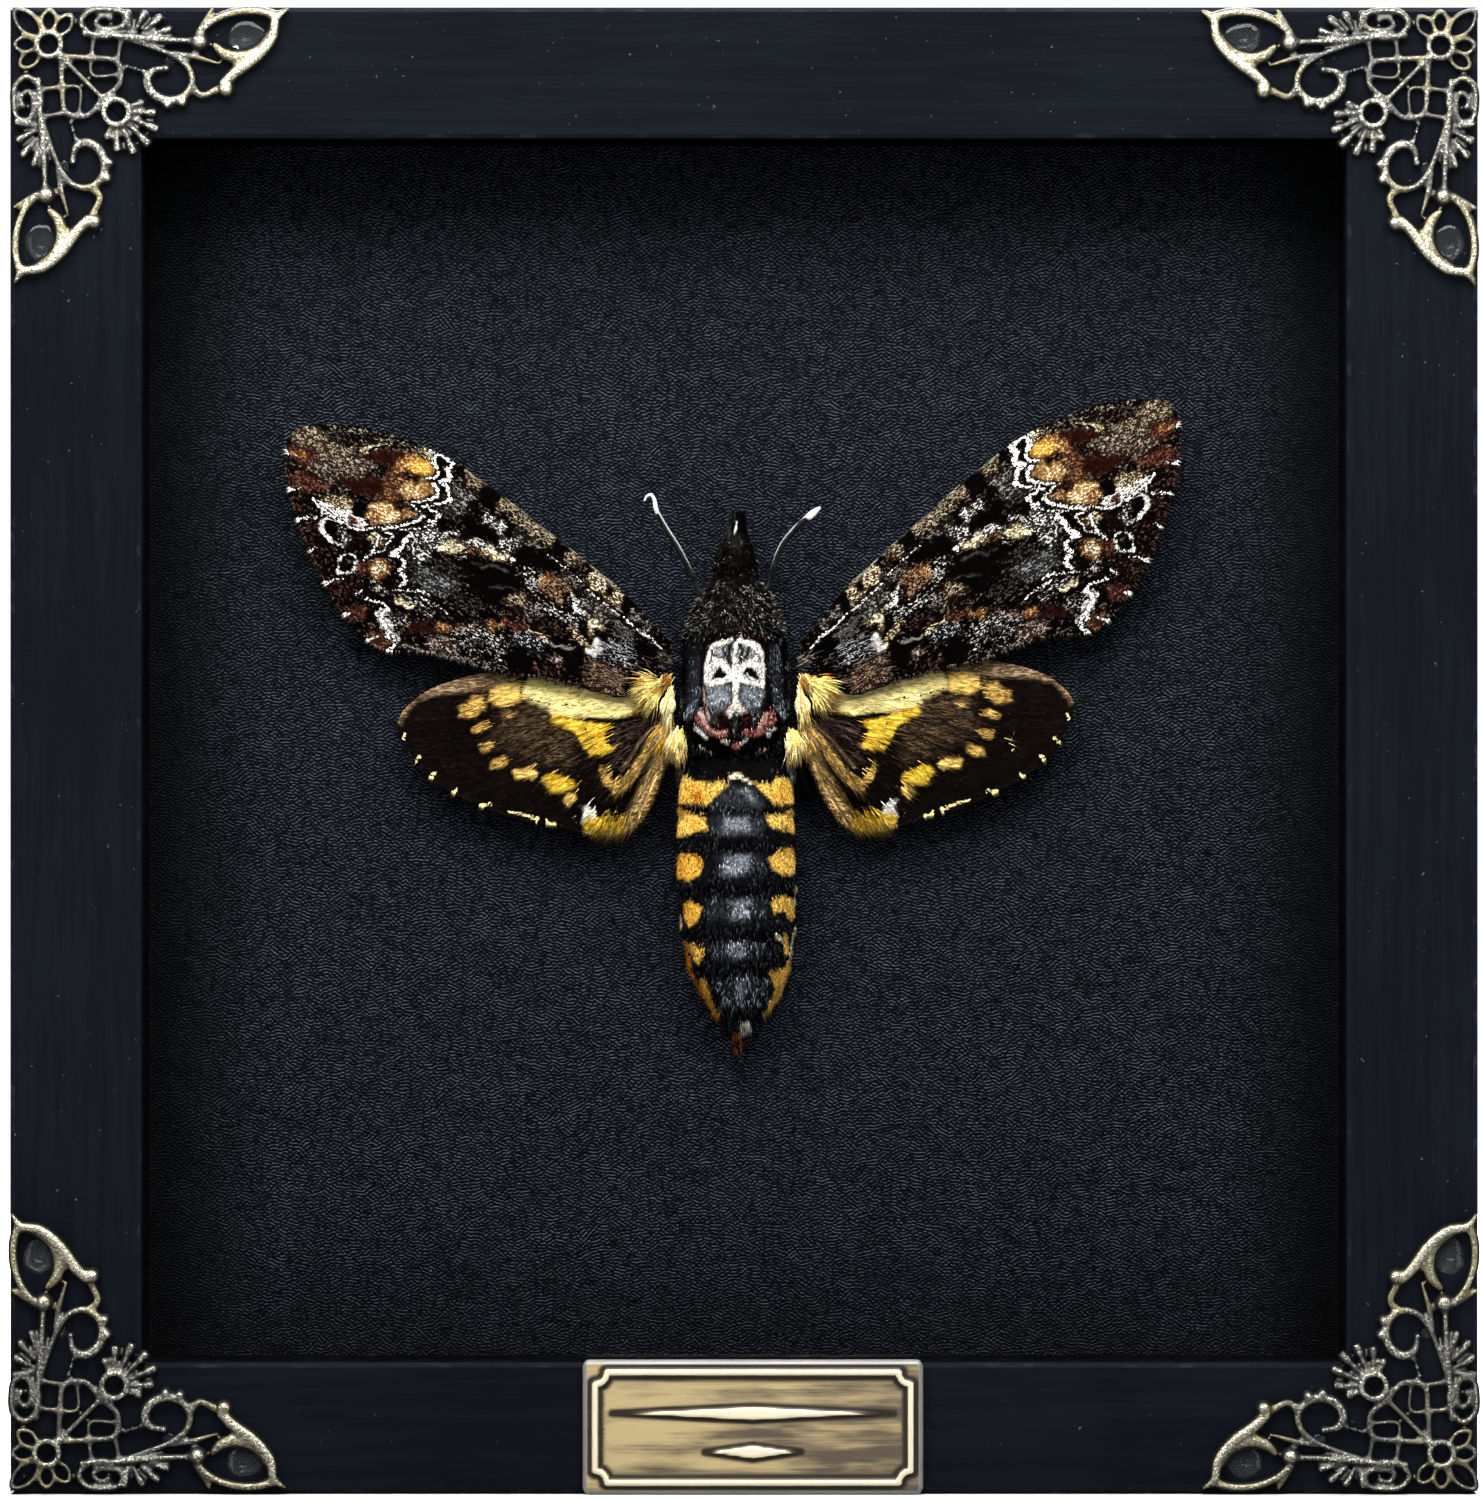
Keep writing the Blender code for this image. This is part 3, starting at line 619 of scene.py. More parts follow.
def ballBody(centre, radius, height):
    # Half a ball on the plane Z = 0.
    rings = []
    levels = (0, 0.35, 0.65, 0.88, 0.985)
    for level in levels:
        spread = radius * (1 - level ** 2) ** 0.5
        for angle in roundAngles(casting["sides"]):
            rings.append((centre[0] + spread * cos(angle), centre[1] + spread * sin(angle), height * level))
    return rings, ringFaces(len(levels), casting["sides"])


def circleStroke(centre, radius, width, height):
    return [(centre[0] + radius * cos(angle), centre[1] + radius * sin(angle), width, height)
            for angle in roundAngles(casting["sides"])]


def petalStroke(degrees, reach, halfWidth):
    # An almond loop that points away from the corner flower.
    c, s = turn(degrees)
    almond = [(0, 0), (0.25, 0.75), (0.5, 1), (0.8, 0.7), (1, 0), (0.8, -0.7), (0.5, -1), (0.25, -0.75)]
    points = []
    for t, aside in almond:
        along = casting["ring"] + (reach - casting["ring"]) * t
        points.append((cornerFlower[0] + along * c - aside * halfWidth * s,
                       cornerFlower[1] + along * s + aside * halfWidth * c, 0.62, 0.95))
    return points


def fanRibStroke(degrees, reach):
    # Narrow at the ring, swelling to a grooved club at the end.
    c, s = turn(45 + degrees)
    swelling = [(0, 0.5), (0.3, 0.6), (0.46, 0.95), (0.56, 0.65), (0.7, 1.35), (0.82, 1.15), (0.93, 1.45),
                (1, 1.2)]
    points = []
    for t, width in swelling:
        along = casting["ring"] + (reach - casting["ring"]) * t
        points.append((fanFlower[0] + along * c, fanFlower[1] + along * s, width, 0.9 + 0.22 * width))
    return points


def castingBodies():
    bodies = [
        strokeBody(circleStroke(cornerFlower, 1.65, 1.0, 1.25), closed=True),
        strokeBody(circleStroke(fanFlower, 1.7, 1.0, 1.3), closed=True),
        strokeBody([(6.6, 6.6, 0.75, 1.05), (10, 10, 0.75, 1.05), (13.3, 13.3, 0.75, 1.05)]),
        ballBody((6.9, 6.9), 0.85, 1.25),
    ]
    for petal in cornerPetals:
        bodies.append(strokeBody(petalStroke(*petal), closed=True))
    for degrees, reach in fanRibs:
        for side in ((1,) if degrees == 0 else (-1, 1)):
            bodies.append(strokeBody(fanRibStroke(side * degrees, reach)))
    start, end, beads, radius = beadedLink
    balls = list(halfBalls)
    for k in range(beads):
        t = k / (beads - 1)
        centre = (start[0] + (end[0] - start[0]) * t, start[1] + (end[1] - start[1]) * t)
        balls.append((centre, radius, 1.1))
    for otherArm in (False, True):
        for points in halfStrokes:
            bodies.append(strokeBody([(v, u, w, h) for u, v, w, h in points] if otherArm else points))
        for centre, radius, height in balls:
            bodies.append(ballBody(centre[::-1] if otherArm else centre, radius, height))
    return bodies


def castingForm():
    # One cast body: all the bars and balls melted together by a voxel remesh, then smoothed.
    points, faces = [], []
    for rings, skin in castingBodies():
        faces += [[len(points) + k for k in face] for face in skin]
        points += rings
    mesh = bpy.data.meshes.new("castingBars")
    mesh.from_pydata(points, [], faces)
    shape = bmesh.new()
    shape.from_mesh(mesh)
    bmesh.ops.recalc_face_normals(shape, faces=shape.faces)
    shape.to_mesh(mesh)
    shape.free()
    bars = addObject("castingBars", mesh)
    melt = bars.modifiers.new("melt", "REMESH")
    melt.mode = "VOXEL"
    melt.voxel_size = casting["voxel"] * 1
    ease = bars.modifiers.new("ease", "SMOOTH")
    ease.factor = 0.5
    ease.iterations = casting["smoothing"]
    melted = bpy.data.meshes.new_from_object(bars.evaluated_get(bpy.context.evaluated_depsgraph_get()))
    bpy.data.objects.remove(bars)
    points = np.empty(len(melted.vertices) * 3)
    melted.vertices.foreach_get("co", points)
    return points.reshape(-1, 3), [list(face.vertices) for face in melted.polygons]


silverLook = {
    "patinaAndShade": (0.010, 0.010, 0.011, 1),
    "silver": (0.12, 0.12, 0.115, 1),
    "gold": (0.28, 0.24, 0.12, 1),
    # colour of the painted highlight
    "bright": (0.78, 0.76, 0.62, 1),
}


def oldSilver():
    # Antique plating: dark patina in the recesses, painted shade on the steep sides, a painted highlight on
    # top, warmer on the big outer loops.
    look = silverLook
    finish = Finish("oldSilver")
    rise = finish.field("rise")
    warmth = finish.field("warmth")
    place = finish.place()
    blotch = finish.noise(place, 0.9, 4.0, 0.6)
    grit = finish.noise(place, 5.5, 3.0, 0.65)
    metal = finish.mix(finish.ramp(warmth + blotch * 0.5, 0.45, 0.95), look["silver"], look["gold"])
    pits = finish.noise(place, 2.6, 3.0, 0.7)
    # Painted shade: metal that faces the front stays light, steep sides are painted black; low places keep
    # a dark patina.
    facing = finish.ramp(finish.facing(), 0.25, 0.85)
    shadeAndDirt = finish.ramp(facing * 0.8 + rise * 0.2 + (blotch - 0.5) * 0.3 + (pits - 0.5) * 0.7, 0.38, 0.78)
    colour = finish.mix(shadeAndDirt, look["patinaAndShade"], metal)
    # Painted highlight on metal that faces the front and stands high.
    highlightMask = finish.ramp(facing * 0.6 + rise * 0.4 + (pits - 0.5) * 1.0 + (grit - 0.5) * 0.3, 0.85, 1.05)
    colour = finish.mix(highlightMask, colour, look["bright"])
    return finish.shade({"Base Color": colour, "Metallic": finish.ramp(shadeAndDirt, 0.0, 0.6, 0.4, 0.88),
                         "Roughness": finish.ramp(highlightMask + grit * 0.25, 0.1, 0.9, 0.42, 0.26),
                         "Normal": finish.bump(pits * 0.6 + grit * 0.2 + blotch * 0.2, 0.26, 1.0)})


# Side, 1 at the top, way into the frame, and how far its casting was set off from true by hand.
corners = {
    "bottom_left": (-1, 0, 1, -0.3, 0.3),
    "bottom_right": (1, 0, 1, -0.3, 0.2),
    "top_left": (-1, 1, -1, 0.0, -0.2),
    "top_right": (1, 1, -1, -0.2, 0.0),
}


def cornerPoints(corner, points):
    # Points (u, v, height) of the casting's own flat, set on one corner of the frame.
    sideX, top, upward, offU, offV = corners[corner]
    u, v, height = np.asarray(points, float).T
    return np.stack([sideX * (halfWidth - u - offU), faceY - gap - height,
                     top * frameHeight + upward * (v + offV)], -1)


def turned(faces, flip):
    return [face[::-1] for face in faces] if flip else faces


def mirrored(corner):
    # Whether setting a shape on this corner turns it inside out.
    sideX, top, upward = corners[corner][:3]
    return sideX * upward > 0


def addCastings():
    points, faces = castingForm()
    u, v, height = points.T
    # Height stands for how much each place gets rubbed, and it feeds the painted highlight too.
    rise = np.clip(height / casting["tallest"], 0, 1) ** 1.3
    far = np.maximum(u, v)
    fromFlower = np.hypot(u - cornerFlower[0], v - cornerFlower[1])
    warmth = smoothStep(20, 30, far) * 0.55 + smoothStep(9, 3, fromFlower) * 0.25
    warmth += 0.3 * smoothStep(0.5, -0.5, ripple(u * 0.35, v * 0.35, 7))
    material = oldSilver()
    for corner in corners:
        addMesh("casting_" + corner, cornerPoints(corner, points), turned(faces, mirrored(corner)),
                [material], ["corner_" + corner], {"rise": rise, "warmth": warmth})


# Black glue in the four mitres, almost level with the front of the rails.
mitreLook = {
    "below": 0.08,             # the front of the rails
    "inset": 0.9,              # from their other faces
    "halfWidth": 0.15,
}


def addMitreGlue():
    look = mitreLook
    finish = Finish("mitreGlue")
    lumps = finish.noise(finish.place(), 2.2, 3.0, 0.6)
    colour = finish.mix(finish.ramp(lumps, 0.35, 0.65), paintLook["dark"], paintLook["light"])
    material = finish.shade({"Base Color": colour, "Roughness": 0.6, "Specular IOR Level": 0.03,
                             "Normal": finish.bump(lumps, 0.1, 0.8)})
    inset, front = look["inset"], faceY + look["below"]
    inner = halfWidth + nodeBox("rail_left")[1][0] - inset
    rabbet = halfWidth + nodeBox("back_board")[0][0] - gap - inset
    lip, back = nodeBox("glass_pane")[0][1] - gap - inset, nodeBox("rail_left")[1][1] - inset
    section = [(inset, front), (inner, front), (inner, lip), (rabbet, lip), (rabbet, back), (inset, back)]
    faces = ringFaces(2, len(section))
    for corner in corners:
        sideX, top, upward = corners[corner][:3]
        points = []
        for side in (-1, 1):
            aside = side * look["halfWidth"] * 0.5 ** 0.5
            for inward, y in section:
                points.append((sideX * (halfWidth - inward + aside), y,
                               top * frameHeight + upward * (inward + aside)))
        addMesh("mitreGlue_" + corner, points, turned(faces, mirrored(corner)), [material])


# Clear glue in the drops of each casting, and smaller spots by its scrolls.
glueLook = {"tint": (0.52, 0.55, 0.56, 1), "clearness": 0.985, "ior": 1.33, "sides": 28}
glueDabs = [                   # centre, radii, height
    ((4.2, 31.9), (2.1, 2.5), 0.32),
    ((7.3, 21.7), (0.7, 0.9), 0.3),
]


def clearGlue():
    look = glueLook
    finish = Finish("clearGlue")
    cloud = finish.noise(finish.place(), 0.8, 3.0)
    return finish.shade({"Base Color": look["tint"], "Transmission Weight": look["clearness"],
                         "IOR": look["ior"], "Roughness": finish.ramp(cloud, 0.4, 0.7, 0.02, 0.07),
                         "Normal": finish.bump(cloud, 0.10, 0.5)})


def dabForm(centre, radii, height, seed):
    # A flat lumpy drop: rings from its rim to its top.
    rings = []
    levels = ((1, 0), (1, 0.12), (0.93, 0.42), (0.78, 0.7), (0.55, 0.9), (0.28, 0.98), (0.06, 1))
    for spread, level in levels:
        for angle in roundAngles(glueLook["sides"]):
            c, s = cos(angle), sin(angle)
            lumpy = 1 + 0.10 * float(ripple(2.2 * c + 9, 2.2 * s + 9, seed))
            bumpy = 1 + 0.1 * level * float(ripple(spread * 3 * c + 5, spread * 3 * s + 5, seed + 1))
            rings.append((centre[0] + radii[0] * spread * lumpy * c,
                          centre[1] + radii[1] * spread * lumpy * s, height * level * bumpy))
    return rings, ringFaces(len(levels), glueLook["sides"])


def addGlue():
    material = clearGlue()
    for number, corner in enumerate(corners):
        for arm in ("side", "end"):
            points, faces = [], []
            for k, dab in enumerate(glueDabs):
                rings, skin = dabForm(*dab, 10 * number + k + (5 if arm == "end" else 0))
                if arm == "end":
                    rings = [(v, u, h) for u, v, h in rings]
                faces += [[len(points) + i for i in face] for face in skin]
                points += rings
            faces = turned(faces, mirrored(corner) != (arm == "end"))
            glue = addMesh(f"dab_{corner}_{arm}", cornerPoints(corner, points), faces, [material],
                           [f"glue_{corner}_{arm}"])
            glue.visible_shadow = False


print("castings and glue")
addCastings()
addMitreGlue()
addGlue()


# Moth. Its own coordinates: across to the right, up the body from the middle of the thorax,
# and height off the leatherette towards the viewer.
mothX = -1.2                   # where the middle of the thorax stands
mothZ = 107.3


def mothPoints(across, up, height):
    return np.stack([mothX + across, coverY - height, mothZ + up], -1)


# Wings. On each, x runs from the root along the wing and y across it to the hind edge.
foreStations = [               # x, front edge, hind edge
    (0, -0.6, 5), (2, -1.3, 8.4), (5, -2.2, 9.8), (10, -3.8, 11), (15, -4.6, 12.7), (20, -5.4, 14.7),
    (25, -6.1, 15.9), (30, -6.8, 17.4), (34.5, -7.3, 19.8), (40, -7.7, 19.1), (45, -7.2, 16.8),
    (50, -6.2, 13.3), (54, -4.9, 10.1), (57.5, -3.1, 6.6), (59.6, -1.5, 3.6), (60.8, -0.2, 1.4),
]
hindStations = [
    (0.2, -1.5, 4.5), (1.7, -2.6, 8.7), (3.2, -3.4, 12.2), (5.2, -4.2, 15.1), (7.4, -5, 16.8),
    (9.5, -5.6, 17.5), (14.3, -6.4, 16.8), (18, -6.7, 15.3), (22, -6.7, 14.2), (26, -6.5, 12.4),
    (30, -5.9, 10.1), (33, -5.1, 7.8), (35.5, -3.7, 5), (37, -2.4, 2.2), (37.8, -1, 0.9),
]
# Side, root across and up, degrees above level, and length against the stations.
wings = {
    "forewing_right": (1, 8.87, 6.55, 33.6, 1.0),
    "forewing_left": (-1, 8.6, 6.55, 30.0, 0.985),
    "hindwing_right": (1, 8.46, 0.0, -2.5, 1.0),
    "hindwing_left": (-1, 8.5, 0.2, -7.0, 1.0),
}
wingLook = {
    "grid": 0.23,              # between the points of a wing
    "thickness": 0.32,
    "veinHeight": 0.13,
    "scale": 0.23,             # width of one clump of scales
    # width of the white lines on the blade against the tables below
    "lineShare": {"forewing_right": 0.66, "forewing_left": 0.52,
                  "hindwing_right": 0.75, "hindwing_left": 0.75},
    # hair colour against the blade's tones; on the hind wing it is raised as painted light against the
    # shade among the hairs
    "hairGain": {"fore": 0.7, "hind": 1.65},
    "lineTint": {"fore": (0.84, 0.82, 0.78, 1), "hind": (0.78, 0.62, 0.30, 1)},
    "lineShade": (0.2, 0.17, 0.13, 1),
    "fringe": {"fore": (8, 60.3, 900), "hind": (6, 37.2, 650)},      # from, to, how many scales
}
# Height off the board at the root, fall per millimetre outwards, and sag across.
wingForms = {"fore": (8.2, 0.03, 0.008), "hind": (7.0, 0.04, 0.010)}
wingVeins = {
    "fore": [
        [(0, 0.2), (12, -1.3), (22, -3.2), (34, -5.3), (46, -6.4)],
        [(0, 0.6), (14, -0.6), (25, -0.8), (38, -2.8), (52, -4.4)],
        [(25, -0.4), (40, -0.8), (60, 0.4)],
        [(26, 0.4), (40, 2.2), (57.5, 5.4)],
        [(26, 0.8), (38, 5.0), (53.5, 9.8)],
        [(25.5, 1.2), (36, 8.0), (49, 13.6)],
        [(24, 1.8), (33, 10.5), (44.5, 16.6)],
        [(10, 1.6), (22, 5.2), (31, 13.0), (38.5, 18.8)],
        [(2, 3.0), (14, 7.6), (26, 14.0), (33.5, 19.0)],
    ],
    "hind": [
        [(0, 0), (14, -3.2), (33, -4.6)],
        [(0, 0.6), (16, -1.0), (36.8, -1.0)],
        [(12, -0.2), (24, 1.8), (36, 3.0)],
        [(11, 1.4), (22, 5.0), (33.5, 6.8)],
        [(10, 2.6), (19, 7.8), (29.5, 10.0)],
        [(3, 2.6), (10, 7.2), (22, 13.4)],
        [(2, 3.6), (8, 10.5), (14, 16.4)],
        [(1, 4.6), (5, 12.0), (8.5, 17.0)],
    ],
}

# A tone is the colour of the light scales at a place, the share of the ground that they
# cover, and the colour of the dark scales between them.
def tone(light, cover, dark):
    return (*light, cover, *dark)


ink = (0.0014, 0.0010, 0.0010)
paper = (0.84, 0.82, 0.78)

# Forewing tones
void = tone(ink, 0.0, ink)
solid = tone(paper, 1.0, paper)
snow = tone(paper, 0.86, ink)
flurry = tone((0.74, 0.72, 0.68), 0.44, (0.010, 0.009, 0.008))
flakes = tone((0.50, 0.48, 0.45), 0.36, ink)
moon = tone((0.54, 0.54, 0.56), 0.30, (0.004, 0.004, 0.005))
ashes = tone((0.24, 0.22, 0.20), 0.40, (0.006, 0.005, 0.004))
smoke = tone((0.060, 0.052, 0.045), 0.40, ink)
pewter = tone((0.22, 0.22, 0.225), 0.42, (0.009, 0.009, 0.009))
thread = tone((0.16, 0.155, 0.15), 1.0, (0.16, 0.155, 0.15))
cord = tone((0.032, 0.034, 0.030), 1.0, (0.030, 0.030, 0.028))
clotted = tone((0.66, 0.57, 0.40), 0.52, (0.028, 0.016, 0.006))
cream = tone((0.82, 0.76, 0.54), 0.66, (0.090, 0.060, 0.025))
sandy = tone((0.33, 0.275, 0.19), 0.52, (0.011, 0.006, 0.002))
olive = tone((0.30, 0.20, 0.14), 0.40, (0.014, 0.007, 0.005))
pinkish = tone((0.42, 0.35, 0.32), 0.45, (0.018, 0.009, 0.007))
cinnamon = tone((0.25, 0.16, 0.095), 0.52, (0.012, 0.004, 0.002))
umberSpeck = tone((0.105, 0.058, 0.040), 0.26, (0.0022, 0.0011, 0.0010))
brightGold = tone((0.86, 0.56, 0.13), 0.58, (0.22, 0.10, 0.014))
oldGold = tone((0.40, 0.27, 0.12), 0.58, (0.11, 0.050, 0.009))
copper = tone((0.52, 0.31, 0.14), 0.50, (0.060, 0.020, 0.006))
apricot = tone((0.86, 0.74, 0.45), 0.58, (0.17, 0.080, 0.022))
russet = tone((0.20, 0.10, 0.052), 0.44, (0.020, 0.0065, 0.003))
brick = tone((0.13, 0.055, 0.036), 0.48, (0.016, 0.004, 0.0025))
maroon = tone((0.026, 0.0075, 0.0050), 0.50, (0.008, 0.0018, 0.0012))
greyTan = tone((0.28, 0.23, 0.185), 0.46, (0.012, 0.007, 0.005))
apexTan = tone((0.36, 0.29, 0.20), 0.48, (0.016, 0.009, 0.005))
topSpeck = tone((0.25, 0.215, 0.17), 0.30, (0.0025, 0.0018, 0.0014))
foreGround = tone((0.15, 0.12, 0.10), 0.16, ink)

